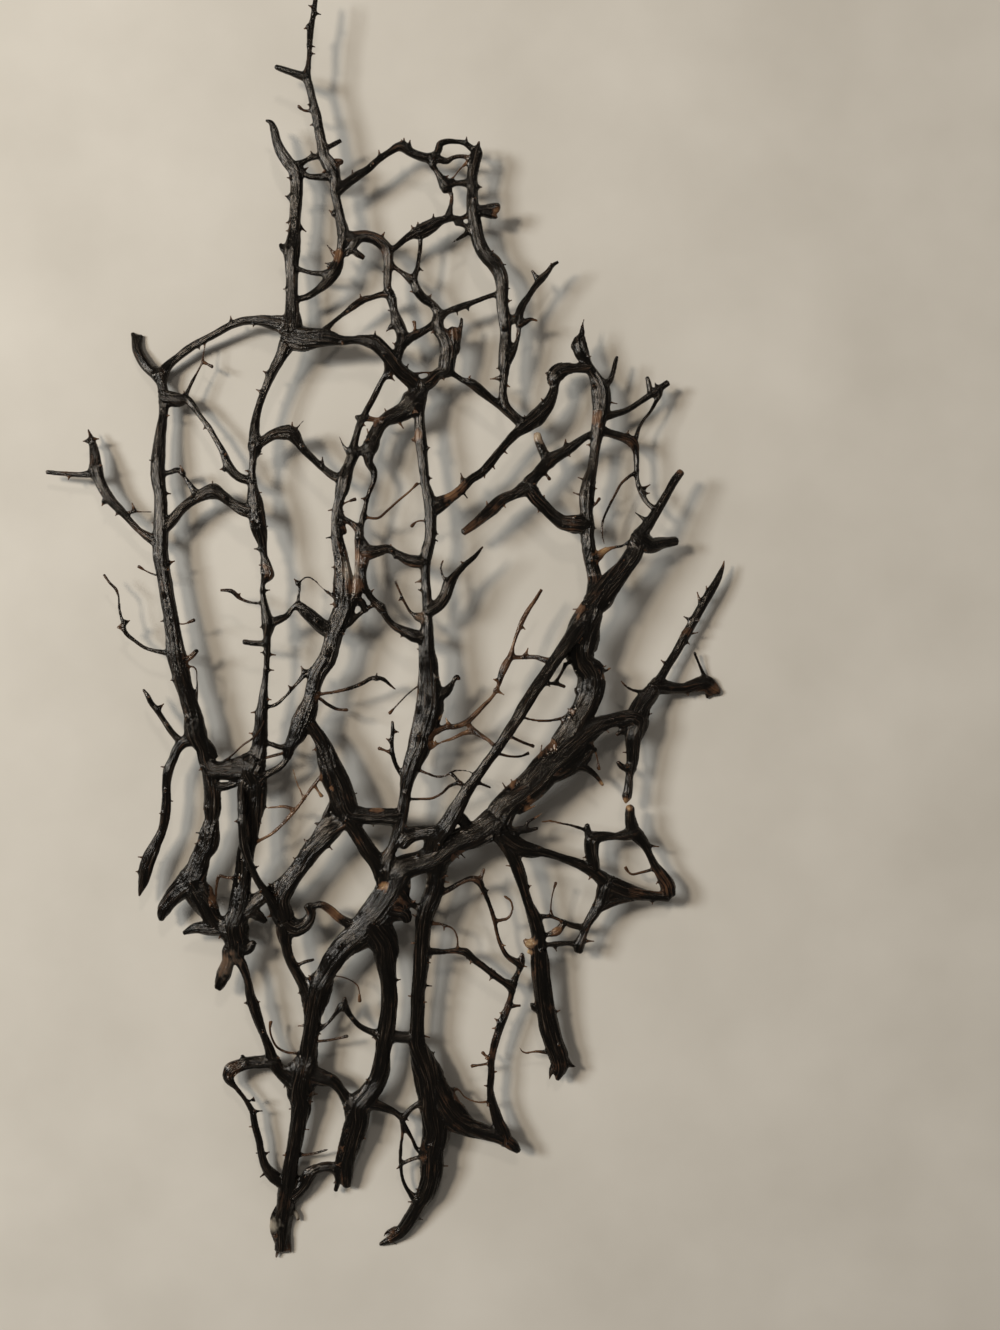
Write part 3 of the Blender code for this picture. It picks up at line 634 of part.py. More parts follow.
def bowed_sheet(marks):
    """A thin plate spline through the marks: a function from places in pixels to heights in millimetres."""
    marks = np.array(marks, float)
    reach = marks[:, :2].max()
    knots = marks[:, :2] / reach

    def bend(places):
        away = np.linalg.norm(places[:, None] - knots[None], axis=2)
        return away**2 * np.log(np.maximum(away, 1e-9))

    plane = np.column_stack([np.ones(len(knots)), knots])
    system = np.block([[bend(knots), plane], [plane.T, np.zeros((3, 3))]])
    weights = np.linalg.solve(system, np.concatenate([marks[:, 2], np.zeros(3)]))

    def height(places):
        places = places / reach
        return bend(places) @ weights[:-3] + weights[-3] + places @ weights[-2:]

    return height


def depth_of(width):
    """Vertical thickness of a limb this wide: round when thin, and flattened where it is broad."""
    return DEEPEST_LIMB * (1 - np.exp(-width / DEEPEST_LIMB))


def in_metres(places, heights):
    """Places in the photograph, brought back along the lines of sight to their own heights."""
    scale = PIXEL * (EYE_HEIGHT - heights) / (EYE_HEIGHT - READING_HEIGHT)
    shift_x = (PHOTO_CENTRE[0] - FAN_CENTRE[0]) * PIXEL
    shift_y = (FAN_CENTRE[1] - PHOTO_CENTRE[1]) * PIXEL
    x = (places[:, 0] - PHOTO_CENTRE[0]) * scale + shift_x
    y = (PHOTO_CENTRE[1] - places[:, 1]) * scale + shift_y
    return np.column_stack([x, y, heights])


class Limb:
    """One limb, sampled finely along its route."""

    def __init__(self, piece, route, sheet):
        rows = np.array([point[:3] for point in route], float)
        along = np.concatenate([[0], np.cumsum(np.hypot(*np.diff(rows[:, :2], axis=0).T))])
        count = max(2, round(along[-1] * PIXEL / SAMPLE_STEP))
        steps = np.unique(np.round(np.concatenate([np.linspace(0, along[-1], count + 1), along]), 3))
        lifts = [(at, point[3]) for at, point in zip(along, route) if len(point) > 3] or [(0, 0)]
        lift = np.interp(steps, [at for at, _ in lifts], [rise for _, rise in lifts])
        places = np.column_stack([np.interp(steps, along, rows[:, axis]) for axis in (0, 1)])
        self.piece = piece
        self.width = np.interp(steps, along, rows[:, 2]) * PIXEL
        self.points = in_metres(places, (sheet(places) + lift) / 1000)

    def settle(self, earlier):
        """Bring each end to the height of the limb that it grows from."""
        for end in (0, -1):
            best = ROOT_REACH
            rise = 0.0
            for other in earlier:
                away = np.hypot(*(other.points[:, :2] - self.points[end, :2]).T) - other.width / 2
                near = int(np.argmin(away))
                if away[near] < best:
                    best = away[near]
                    rise = other.points[near, 2] - self.points[end, 2]
            run = np.hypot(*(self.points[:, :2] - self.points[end, :2]).T)
            self.points[:, 2] += rise * np.clip(1 - run / SETTLE_LENGTH, 0, 1)

    def corners(self):
        """The samples that the limb's shape needs: the fewest chords that stay within the tolerance."""
        path = np.column_stack([self.points, self.width / 2])
        kept = {0, len(path) - 1}
        spans = [(0, len(path) - 1)]
        while spans:
            low, high = spans.pop()
            if high - low < 2:
                continue
            chord = path[high] - path[low]
            inner = path[low + 1:high] - path[low]
            share = np.clip(inner @ chord / max(chord @ chord, 1e-12), 0, 1)
            away = np.linalg.norm(inner - share[:, None] * chord, axis=1)
            worst = int(np.argmax(away))
            if away[worst] > OUTLINE_TOLERANCE:
                middle = low + 1 + worst
                kept.add(middle)
                spans += [(low, middle), (middle, high)]
        return sorted(kept)

    def tube(self, grown=0.0):
        """Vertices and faces of a closed tube, this much larger all round, and flat at the surface."""
        kept = self.corners()
        points, widths = self.points[kept].copy(), self.width[kept]
        sides, fullness = next(shape for limit, *shape in SIDES if widths.max() <= limit)
        steps = np.diff(points, axis=0)
        steps /= np.linalg.norm(steps, axis=1)[:, None]
        points[0] -= steps[0] * grown
        points[-1] += steps[-1] * grown
        step = math.tau / sides
        first_angle = math.pi / 2 + (step / 2 if sides % 2 == 0 else 0)
        angles = [first_angle + turn * step for turn in range(sides)]
        vertices = []
        for at, (point, width) in enumerate(zip(points, widths)):
            before, after = steps[max(at - 1, 0)], steps[min(at, len(steps) - 1)]
            heading = Vector(before + after).normalized()
            mitre = min(1 / max(heading @ Vector(after), 0.1), MITRE_LIMIT)
            across = Vector((-heading.y, heading.x, 0)).normalized() * (width / 2 * fullness * mitre + grown)
            up = Vector((0, 0, depth_of(width) / 2 * fullness + grown))
            for angle in angles:
                corner = Vector(point) + across * math.cos(angle) + up * math.sin(angle)
                corner.z = max(corner.z, -grown)
                vertices.append(corner)
        last = len(vertices) - sides
        faces = [tuple(reversed(range(sides))), tuple(range(last, len(vertices)))]
        for ring in range(0, last, sides):
            for turn in range(sides):
                a, b = ring + turn, ring + (turn + 1) % sides
                faces.append((a, b, b + sides, a + sides))
        return vertices, faces


class Thorn:
    """A three-sided spike from the middle of the limb that it grows on."""

    def __init__(self, spot, limbs):
        places = np.array(spot, float).reshape(2, 2)
        root = in_metres(places, np.full(2, READING_HEIGHT))[0]
        gaps = [np.hypot(*(limb.points[:, :2] - root[:2]).T) - limb.width / 2 for limb in limbs]
        nearest = int(np.argmin([gap.min() for gap in gaps]))
        height = limbs[nearest].points[int(np.argmin(gaps[nearest])), 2]
        self.piece = limbs[nearest].piece
        self.root, self.tip = (Vector(end) for end in in_metres(places, np.full(2, height)))

    def tube(self, grown=0.0):
        heading = (self.tip - self.root).normalized()
        size = THORN_ROOT / 2 + grown * 2
        across = Vector((-heading.y, heading.x, 0)) * size
        rise = Vector((0, 0, size))
        root = self.root - heading * grown
        vertices = [root + rise, root - across - rise / 2, root + across - rise / 2,
                    self.tip + heading * grown * 4]
        return vertices, [(0, 1, 2), (0, 3, 1), (1, 3, 2), (2, 3, 0)]


def grow_limbs():
    """Every limb, each piece's main limb before any side limb, so that side limbs find what they join."""
    sheet = bowed_sheet(HEIGHT_MARKS)
    mains = [(piece, routes[0]) for piece, routes in LIMBS.items()]
    sides = [(piece, route) for piece, routes in LIMBS.items() for route in routes[1:]]
    limbs = []
    for piece, route in mains + sides:
        limb = Limb(piece, route, sheet)
        limb.settle(limbs)
        limbs.append(limb)
    return limbs


def box_of(shape):
    corners = np.array(shape[0])
    return corners.min(axis=0), corners.max(axis=0)


def meets(one, two):
    return bool((one[0] < two[1]).all() and (two[0] < one[1]).all())


def collected(name, shapes):
    """A collection of closed mesh objects, one for each shape."""
    group = bpy.data.collections.new(name)
    for vertices, faces in shapes:
        mesh = bpy.data.meshes.new(name)
        mesh.from_pydata(vertices, [], faces)
        group.objects.link(bpy.data.objects.new(name, mesh))
    return group


def largest_body(mesh):
    """Drop slivers that a cut has left loose."""
    shape = bmesh.new()
    shape.from_mesh(mesh)
    waiting = set(shape.faces)
    bodies = []
    while waiting:
        body = set()
        reached = [waiting.pop()]
        while reached:
            face = reached.pop()
            body.add(face)
            for edge in face.edges:
                for other in edge.link_faces:
                    if other in waiting:
                        waiting.remove(other)
                        reached.append(other)
        bodies.append(body)
    bodies.sort(key=lambda body: sum(face.calc_area() for face in body))
    loose = [face for body in bodies[:-1] for face in body]
    bmesh.ops.delete(shape, geom=loose, context="FACES")
    shape.to_mesh(mesh)
    shape.free()


def evaluated(piece):
    seen = piece.evaluated_get(bpy.context.evaluated_depsgraph_get())
    return bpy.data.meshes.new_from_object(seen)


def is_closed(mesh):
    """Whether every edge has exactly two faces, and no two bodies touch at a point."""
    shape = bmesh.new()
    shape.from_mesh(mesh)
    closed = all(edge.is_manifold for edge in shape.edges) and all(vert.is_manifold for vert in shape.verts)
    shape.free()
    return closed


def fused(name, shapes, cutters):
    """One object: the union of its closed shapes, cut back from the larger shapes of its neighbours."""
    vertices, faces = shapes[0]
    piece = bpy.data.objects.new(name, bpy.data.meshes.new(name))
    piece.data.from_pydata(vertices, [], faces)
    bpy.context.scene.collection.objects.link(piece)
    groups = []
    for operation, found in (("UNION", shapes[1:]), ("DIFFERENCE", cutters)):
        if not found:
            continue
        group = collected(name + "_" + operation.lower(), found)
        cut = piece.modifiers.new(operation.lower(), "BOOLEAN")
        cut.operation = operation
        cut.operand_type = "COLLECTION"
        cut.collection = group
        cut.solver = "EXACT"
        cut.use_self = True
        groups.append(group)
    mesh = evaluated(piece)
    lighter = piece.modifiers.new("lighter", "DECIMATE")
    for ratio in KEPT_FACES:
        lighter.ratio = ratio
        light_mesh = evaluated(piece)
        if is_closed(light_mesh):
            mesh = light_mesh
            break
    piece.modifiers.clear()
    piece.data = mesh
    for group in groups:
        for thing in list(group.objects):
            bpy.data.objects.remove(thing, do_unlink=True)
        bpy.data.collections.remove(group)
    largest_body(mesh)
    return piece


def skin(piece):
    """Dry skin of a piece: near-black, and browner on pieces with much thin or torn growth."""
    share = BROWN_SHARES.get(piece, 0.0)
    material = bpy.data.materials.new(piece + "_skin")
    material.use_nodes = True
    shader = material.node_tree.nodes["Principled BSDF"]
    colour = [black + (brown - black) * share for black, brown in zip(BLACK, BROWN)]
    shader.inputs["Base Color"].default_value = (*colour, 1.0)
    shader.inputs["Roughness"].default_value = SKIN_ROUGHNESS
    shader.inputs["Metallic"].default_value = 0.0
    return material


def build():
    clear_scene()
    limbs = grow_limbs()
    growths = limbs + [Thorn(spot, limbs) for spot in THORNS]
    taken = []
    for name in LIMBS:
        mine = [growth for growth in growths if growth.piece == name]
        shapes = [growth.tube() for growth in mine]
        boxes = [box_of(shape) for shape in shapes]
        cutters = [cutter for cutter, box in taken if any(meets(box, own) for own in boxes)]
        piece = fused(name, shapes, cutters)
        piece.data.materials.clear()
        piece.data.materials.append(skin(name))
        for growth in mine:
            cutter = growth.tube(PIECE_GAP)
            taken.append((cutter, box_of(cutter)))


build()
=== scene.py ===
"""Dry black sea fan lying on a pale surface, seen from straight above.

Every limb follows the same route as its solid, but smoothly and with many sides. The routes were read
off a photograph, and most of their points were then refitted by a program to the limb's edges
there. All limbs are fused into one skin, whose forks are filled and whose surface is ribbed along the
limbs. The skin is then divided into the pieces that stand for the solids. Fine twigs, thorns and torn
fibres are added to it.
"""

import math

import bpy
import numpy as np
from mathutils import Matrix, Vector, kdtree


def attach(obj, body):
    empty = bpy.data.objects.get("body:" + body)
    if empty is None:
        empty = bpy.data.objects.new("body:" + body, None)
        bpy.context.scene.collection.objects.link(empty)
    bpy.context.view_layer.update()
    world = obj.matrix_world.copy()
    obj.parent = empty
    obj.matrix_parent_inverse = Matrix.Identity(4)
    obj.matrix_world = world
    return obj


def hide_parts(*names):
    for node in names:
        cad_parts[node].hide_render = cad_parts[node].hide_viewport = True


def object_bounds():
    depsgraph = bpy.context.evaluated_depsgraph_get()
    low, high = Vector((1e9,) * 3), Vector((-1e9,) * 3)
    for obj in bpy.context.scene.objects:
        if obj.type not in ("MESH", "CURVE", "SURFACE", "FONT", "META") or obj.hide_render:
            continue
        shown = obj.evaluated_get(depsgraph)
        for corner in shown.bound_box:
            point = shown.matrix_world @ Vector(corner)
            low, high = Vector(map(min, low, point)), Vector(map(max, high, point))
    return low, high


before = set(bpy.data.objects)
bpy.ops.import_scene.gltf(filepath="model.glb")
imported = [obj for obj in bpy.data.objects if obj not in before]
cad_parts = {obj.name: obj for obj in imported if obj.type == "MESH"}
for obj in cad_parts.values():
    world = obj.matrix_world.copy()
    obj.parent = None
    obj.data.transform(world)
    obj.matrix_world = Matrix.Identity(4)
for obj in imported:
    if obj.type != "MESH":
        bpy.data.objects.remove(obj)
cad_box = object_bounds()

# Real sizes, in metres.
PIXEL = 0.0004
DEEPEST_LIMB = 0.0074
SAMPLE_STEP = 0.0008
SETTLE_LENGTH = 0.012
ROOT_REACH = 0.0015
VOXEL = 0.00048
THINNEST_RADIUS = 0.00025
FINE_WIDTH = 0.0016
FINER_WIDTH = 0.0010

# The photograph looks straight down on its own centre, and a route's points are read in its pixels.
PHOTO_CENTRE = (500, 665)
PHOTO_HEIGHT = 1330
FAN_CENTRE = (385.1, 626.7)
EYE_HEIGHT = 0.62
READING_HEIGHT = 0.010
EYE_X = (PHOTO_CENTRE[0] - FAN_CENTRE[0]) * PIXEL
EYE_Y = (FAN_CENTRE[1] - PHOTO_CENTRE[1]) * PIXEL

# Heights of the limbs' middles above the surface, in millimetres, at places in the photograph.
# The fan is slightly bowed: it stands on the end of its stem, on its right arm and on its upper left stub.
HEIGHT_MARKS = [
    (282, 1250, 1.4), (282, 1232, 1.6), (379, 1244, 0.8), (300, 1088, 8), (250, 1061, 8), (255, 1126, 7),
    (357, 1106, 9), (430, 1100, 9), (416, 1198, 5), (505, 1140, 9), (522, 953, 11), (562, 1068, 7),
    (376, 902, 15), (240, 920, 13), (140, 890, 9), (212, 768, 13), (258, 748, 14), (300, 720, 15),
    (420, 720, 15), (403, 805, 16), (495, 824, 16), (550, 765, 15), (635, 718, 11), (669, 895, 9),
    (595, 870, 12), (720, 692, 1.0), (710, 687, 1.6), (724, 560, 6), (588, 612, 15), (601, 415, 12),
    (668, 382, 8), (524, 424, 13), (420, 386, 13), (350, 455, 14), (254, 446, 13), (160, 373, 5),
    (137, 339, 1.2), (92, 470, 8), (46, 472, 7), (158, 545, 11), (178, 655, 13), (291, 330, 12),
    (344, 234, 13), (335, 120, 14), (316, -10, 14), (475, 150, 12), (504, 318, 13), (558, 261, 12),
    (448, 184, 12),
]

# Limbs of each piece, as centreline points: x, y and width in pixels, and at some points the height in
# millimetres that the limb passes above the fan's own bowed sheet.
LIMBS = {
    "stem": [
        [(494.3, 822.8, 32.6), (479.6, 832.4, 27.2), (464.6, 838.4, 24.8), (449.6, 846.1, 27.3),
         (435.5, 856.7, 29.9), (421, 862, 23), (400, 870.5, 27), (393, 890, 34), (384, 905, 35),
         (373, 919, 34), (361, 934, 30), (346, 945, 26), (334, 959, 21), (326, 973, 20), (319, 986.3, 29.1),
         (315.1, 1000.2, 28.2), (313, 1015.3, 18.3), (311, 1030.3, 16.5), (308.9, 1045.2, 17.5),
         (307.2, 1058.3, 21), (303.4, 1072.1, 39.4), (300.5, 1088.1, 30.1), (301.1, 1104.2, 20.5),
         (298.4, 1122.3, 16.7), (296, 1140.3, 15.6), (292.9, 1158.3, 15.1), (289.8, 1175.1, 16.7),
         (288.1, 1190.2, 21.6), (286.3, 1204.3, 19.1), (284.4, 1218.1, 17), (282.6, 1232, 16.3),
         (282.1, 1250, 15.8)],
        [(302, 1053, 3), (286, 1052, 2.5), (277, 1047, 2.5), (271.9, 1038, 2.2), (269.9, 1028, 2.4),
         (270.9, 1021, 1.7)],
        [(311, 1042, 3), (330, 1040, 2.5), (348, 1036, 2.5)],
        [(298.1, 1155.3, 4.1), (314.1, 1153.5, 3.1), (328.1, 1149.3, 2.6)],
        [(328, 975, 1.6), (348, 979, 1.4), (357, 985, 1.4), (360, 1002, 1.2)],
        [(393, 887, 9), (403, 893, 6), (410.3, 902.5, 6.9), (426.5, 911, 7.7)],
    ],
    "long_diagonal": [
        [(681.1, 471.1, 8.1, 4), (674.5, 480.4, 8.5), (666.3, 494.9, 8.8), (658, 509.3, 9.5),
         (649.1, 523.4, 11.5), (639.4, 536.9, 15.4, 5), (633, 554.5, 19), (623, 569, 19),
         (610.5, 584, 23.5), (599.5, 598, 27, 3), (588, 612, 21.1), (578.5, 627.4, 16.7),
         (567.6, 642.7, 15), (556, 659.3, 13, 5), (545.3, 675.5, 12.5), (534, 691.4, 12.9),
         (524, 707.3, 12.8), (514.2, 723.4, 11.6), (504.2, 738.5, 10.8, 7), (493.8, 753.2, 9.6),
         (483, 767.7, 9.6), (473, 782.6, 11), (464.1, 795.7, 13.2), (455.7, 810.8, 16.8),
         (446.8, 825.6, 17.8), (435.9, 839.1, 17.9), (431, 855.8, 20, 3)],
        [(638.1, 539.6, 21.8), (650.2, 545.5, 17.4), (663.3, 543.3, 12.5), (677.2, 541.1, 10.5)],
        [(541, 683.8, 4.2), (556, 683.7, 4.4), (565, 686.9, 4.1)],
        [(553.8, 684.5, 3.4), (560.5, 674.3, 3.1), (566.2, 663.2, 3.8)],
        [(521, 716.8, 2.7), (538.2, 720.4, 3.4), (552.4, 720.3, 3.3), (565.5, 716.5, 3.6),
         (573.4, 709.7, 5)],
        [(507.9, 734.3, 3.1), (523.8, 742.4, 3.1), (533.9, 746.3, 2.6)],
        [(496, 752, 3), (511, 756, 2.5), (521, 756, 2.5), (529, 753, 2)],
        [(477, 781, 4), (491, 787, 3)],
    ],
    "centre_trunk": [
        [(419.2, 386.1, 18.7), (420.9, 398, 13), (419.6, 412, 10.4), (420, 426.1, 11), (420.9, 440.1, 11.7),
         (422.5, 455.2, 11.1), (424.1, 470.3, 9.9), (425.6, 484.4, 9), (429.1, 498.3, 12.4),
         (430.3, 512, 12.3), (430.8, 526, 11), (430.1, 540, 11.1), (426.8, 553, 11.6), (425.2, 566, 10.2),
         (425.8, 580, 9), (426.7, 594, 9.9), (427.2, 608, 10), (427.2, 622, 11.5), (426.8, 636, 14.1),
         (426.6, 650, 16.5), (428.4, 664, 19.2), (428.9, 678, 21.8), (429.6, 692.1, 26.3),
         (429.5, 706.4, 28.9), (426.1, 720.5, 27.3), (422.3, 734.7, 25.3), (418.7, 748.8, 22.9),
         (413, 762.7, 19.5), (408.2, 777.3, 15.3), (405.6, 791.1, 12.2), (403.9, 805.1, 12.7),
         (401.1, 820.3, 12.9), (396.9, 835.3, 11.5), (392, 848.3, 10.4), (385.7, 860.3, 15.7),
         (383.2, 880, 18.4)],
        [(445, 830, 13), (432, 831, 14), (420, 832.5, 15), (408, 835.5, 19), (400, 845, 16)],
        [(421.8, 435.6, 6.4), (411.7, 440.3, 4.2)],
        [(426.5, 619.3, 9.3), (418.1, 616.6, 10.1), (411.9, 613.3, 3.8), (404.9, 602.8, 3.4),
         (399.6, 591.2, 3), (395, 581, 3.1)],
        [(430, 521, 2), (416, 522, 1.5), (411, 527, 1.5)],
        [(428, 611, 14), (438, 605, 13), (445.5, 595, 12.5), (449.4, 583.7, 12.7), (456.7, 573.6, 8.1),
         (465.4, 564.4, 6.5), (474, 557.1, 5.5), (480.5, 549.6, 3.5), (483.2, 546.2, 2.1)],
        [(447.9, 583.6, 4.9), (442.2, 574.5, 3), (441.2, 565.2, 2.8), (443.5, 560, 2.4)],
        [(429.9, 701.9, 13.5), (446.7, 690.5, 10), (452.5, 683, 5.3), (457.2, 675.7, 4.2), (460, 680, 3)],
        [(424, 682, 2), (409, 693, 1.5), (400, 702, 1.5), (389, 714, 1.5)],
        [(405.7, 779.3, 5.8), (396.4, 765.9, 4.7), (392.7, 753.9, 4.9), (391.9, 742, 4.1),
         (392.7, 728, 4.9), (392.2, 721, 3.4)],
        [(391, 753, 2.5), (384, 750, 2.5), (378, 748, 2)],
        [(411.7, 766.8, 4.1), (427.7, 773.6, 3.2), (438.9, 776.8, 3), (447, 774.9, 2.7),
         (453.3, 770.9, 3.1), (463.3, 769.8, 1.7), (474, 772, 2)],
        [(450.1, 771.9, 4.8), (457.5, 778.5, 3.6), (462, 785, 2.5)],
        [(404, 799, 3), (420, 799, 2.5), (433, 798, 2.5), (442, 793, 2.5), (450.1, 785.4, 3.4),
         (457.2, 782.6, 3.7), (462.1, 782.1, 3.7)],
        [(430, 516, 8), (440, 508, 9), (451, 500, 7)],
    ],
    "inner_trunk": [
        [(353.1, 454.5, 12.5), (348.4, 466.5, 11.4), (344.2, 478.3, 15.3), (341.9, 490.1, 13.8),
         (338, 503.1, 8.8), (334.8, 517, 7.8), (335.9, 532, 10.4), (338.6, 547, 13.9), (341.2, 562, 15.2),
         (342.8, 577, 18.8), (343.6, 592, 21.5), (345, 605.2, 21.5), (340.3, 619.4, 21.4),
         (334.1, 632.5, 18.8), (330.5, 647, 17), (326, 660, 19), (317.7, 672.6, 18), (314.2, 684.6, 15.6),
         (311.2, 697.3, 15.6), (306.8, 711.2, 21), (301.8, 723.8, 22.3), (296.5, 735.3, 18.5),
         (290.6, 745.4, 12.3), (287.6, 756.7, 8.7)],
        [(338.8, 503.4, 6.7), (343.1, 517.7, 6, 0.5), (351.2, 523, 6.7), (359.2, 530.5, 9.7),
         (358.3, 542, 8.5), (357.8, 556, 6.2), (357, 570, 5), (357, 586, 9), (353.5, 600, 14),
         (344.1, 608.1, 8.4)],
        [(349.5, 454.4, 5.1), (342.7, 444.1, 2.9), (339, 436, 2)],
        [(338, 507, 2), (347, 502, 1.6), (356, 499, 1.5)],
        [(310, 697, 4), (322.2, 693.9, 3.8), (335.5, 691.8, 3.9), (350.7, 688, 4.4), (362.7, 683.1, 4.7),
         (372.3, 678.1, 5.2), (383.1, 679.1, 4.9), (390, 684.9, 3.2), (396, 690, 2)],
        [(309, 700, 3), (318, 698, 3.5), (327, 704, 3.5), (337, 709.1, 3.2), (348, 710.1, 1.9)],
        [(289.3, 755.3, 6.8), (280.5, 766.6, 7.5), (268.5, 773.7, 7.9), (257.8, 781, 7.5),
         (250.4, 785.6, 5.1)],
        [(268, 774, 4), (258, 790, 4), (250, 800, 3)],
    ],
    "left_inner_trunk": [
        [(255.4, 446.2, 15.1), (253.6, 458.1, 7.9), (252.4, 472, 7.6), (252.6, 486, 10.5),
         (254.6, 499.9, 14.6), (256.9, 514.1, 17.4), (259.2, 528.3, 16.8), (262.4, 542.3, 10.3),
         (264, 556, 7.4), (266.7, 566.9, 11.7), (268, 574.8, 14.7), (262.8, 583.8, 5.5),
         (262.7, 591.9, 5.9), (264, 602.9, 8.1), (266.2, 613.8, 10.3), (268.6, 623.9, 13.4),
         (267.4, 637, 9.1), (267.2, 652, 7.9), (266.5, 667.1, 6.7), (265, 682.1, 6.8), (263.1, 698.1, 9.5),
         (261.4, 715, 13), (260.7, 732.1, 14.8), (259, 748.1, 15.6), (254.4, 764.1, 24.6)],
        [(264, 603.2, 4.1), (249.9, 602.4, 3.6), (239.9, 598.4, 3.9), (231.9, 591.3, 5.4),
         (219.9, 590.1, 3)],
        [(266.9, 643.6, 6.8), (251.9, 643, 6.1), (242.9, 641.6, 5.7)],
        [(268, 624, 9), (278, 620.3, 9.2), (286.6, 616.1, 6.7), (293, 608.3, 5.4), (297.9, 606, 9),
         (306, 612, 13), (315.5, 620, 15), (325, 627.5, 16), (337.6, 630.6, 15.8)],
        [(297.7, 604.1, 4.2), (299.4, 591, 3), (301, 581, 2.5), (307, 577, 2.5), (314, 580, 2.5),
         (321.7, 587.5, 1.9), (330.3, 594.1, 3.2), (341.2, 601.1, 6.2)],
        [(262.4, 707.8, 3.9), (275.3, 704.8, 4.3), (286.3, 695.4, 3.5), (297.7, 682.6, 3.9),
         (307.6, 672.7, 6.8), (316.1, 671.1, 6.7)],
        [(292, 744, 7.8), (281, 747, 6), (270, 743.8, 5.4), (259, 741.8, 5.4)],
        [(288, 752, 3), (276, 755, 3), (258, 760, 3)],
        [(264, 712, 2), (260, 728, 2, 5), (253, 738, 2), (243, 745, 2), (232, 755, 2, 5), (224, 762, 3, 2)],
    ],
    "left_trunk": [
        [(159.7, 374.1, 18.9), (161.8, 383, 10.7), (164, 398.1, 11.6), (163, 415.4, 10),
         (160.1, 435.3, 11.8), (158.8, 455, 14.2), (157.8, 475, 16), (160.6, 495, 13.2), (161, 515, 13.7),
         (161, 535.1, 15.8), (160.6, 555.3, 15.7), (163.7, 575.3, 14.5), (166.9, 595.3, 14.9),
         (170.3, 615.2, 14.9), (173.6, 635.2, 16.8), (176.4, 655.3, 20.5), (181.1, 675.4, 18.7),
         (186.8, 695.3, 17.3), (192.8, 715.1, 19.1), (196.5, 734.8, 23.6), (203.1, 749.6, 13.9),
         (206.7, 763, 13.8), (211.8, 769.8, 19.3), (221.8, 770.4, 19.1), (235.2, 768.6, 22.6),
         (248.3, 767, 29.4), (255.1, 762.4, 25)],
        [(172, 620, 2), (181, 624, 1.6), (195, 620, 1.4)],
        [(166, 576, 2), (156, 575, 2), (146, 571, 1.6), (138, 566, 1.6)],
        [(178, 659, 7), (185.1, 660.4, 5.9), (191.3, 656.6, 6), (197.6, 649.8, 5.2)],
        [(182, 666, 3), (195, 668, 2.5), (197, 680, 2), (196.8, 692.2, 3.7), (195.4, 703.2, 4.8)],
        [(177, 652.7, 7.7), (167.9, 652.9, 6.7), (157, 651.4, 4.7), (145.9, 648.2, 4.3), (134.9, 640.9, 4),
         (125.3, 632.2, 4.7), (122.4, 621.8, 3.8), (119.4, 608.2, 3), (118.5, 596.3, 2.5),
         (116.3, 589.5, 3.5), (109.5, 582.4, 3), (103.7, 574.2, 3.5)],
        [(157.4, 475.5, 5.3), (171.2, 472, 5.5), (177.9, 470, 6.2), (184.4, 476.9, 3.7),
         (191.1, 486.3, 5.9), (194.7, 491.5, 8.4)],
        [(158.6, 375.4, 13.2), (148.7, 367.9, 11.4), (141.4, 357.7, 11.1), (137.1, 348, 10.6),
         (136.6, 340.2, 10.9), (132.2, 332.9, 4.2)],
        [(137.5, 342.7, 8.8), (141.7, 334.8, 4.1)],
    ],
    "right_trunk": [
        [(591.6, 605, 15.9), (593.1, 592.2, 14.9), (595.1, 580.1, 15.1), (592.3, 567.2, 14.5),
         (589.7, 554, 13.9), (588, 540, 14), (587.5, 525, 13.3), (586.8, 511, 12.8), (586.8, 497, 14.5),
         (588.7, 483, 13.9), (592.3, 470, 10.3), (594.1, 457, 9.8), (596.4, 441.9, 11.1),
         (598.2, 427.9, 14.2), (600.1, 415, 15.5), (602.2, 400.7, 20), (600.5, 387.5, 19.5),
         (594.5, 375.9, 11.8), (587.5, 364.2, 10.5), (582.6, 353.1, 15.2), (580.1, 343.1, 16.2),
         (581.7, 334.1, 6), (582.6, 326.1, 3.4), (584.1, 318, 1.3)],
        [(579, 345.6, 10), (572, 346.6, 7.4)],
        [(601.3, 387, 7.9), (609.1, 381.5, 7.3), (612.8, 373, 6), (614.9, 364.4, 5.6), (617.2, 356, 3.6)],
        [(587, 507, 3), (593, 506, 2.5), (600, 498, 2)],
        [(591.4, 559.6, 9.4), (595.8, 558, 10.6), (603.4, 551.6, 7), (612, 548.1, 4.1), (622.1, 546.1, 3.1),
         (631, 539.1, 2.6)],
    ],
    "right_cross_limb": [
        [(431.3, 503.5, 10.8), (441.8, 500.6, 11), (452.5, 496.2, 11), (462.5, 487.9, 10.5),
         (470.9, 479.1, 8.8), (480.6, 472.8, 9.1), (490.6, 462.6, 8.8), (499.5, 451.4, 9.1),
         (508.5, 441.5, 8.9), (517.8, 431.9, 10.1), (525.8, 425.9, 14.1), (535.9, 418.8, 17.5),
         (544.5, 408.9, 15.4), (551.2, 397.8, 11.8), (554.3, 387.2, 9.7), (554, 379.5, 14.2),
         (557.5, 373.4, 19), (565.8, 369.2, 13.6), (574.2, 368.4, 10.4), (588, 367.4, 12.4)],
        [(445.7, 369.4, 13.6), (453.7, 374.3, 6.1), (462.1, 379.8, 6), (471.4, 383.3, 9.6),
         (480.5, 390.3, 10.2), (490.5, 398.4, 8.1), (500, 406, 7.9), (510.4, 414.8, 8.5),
         (522.6, 424.6, 11.4)],
        [(552.4, 377.8, 8), (545.8, 372.3, 3.3)],
    ],
    "right_lower_limb": [
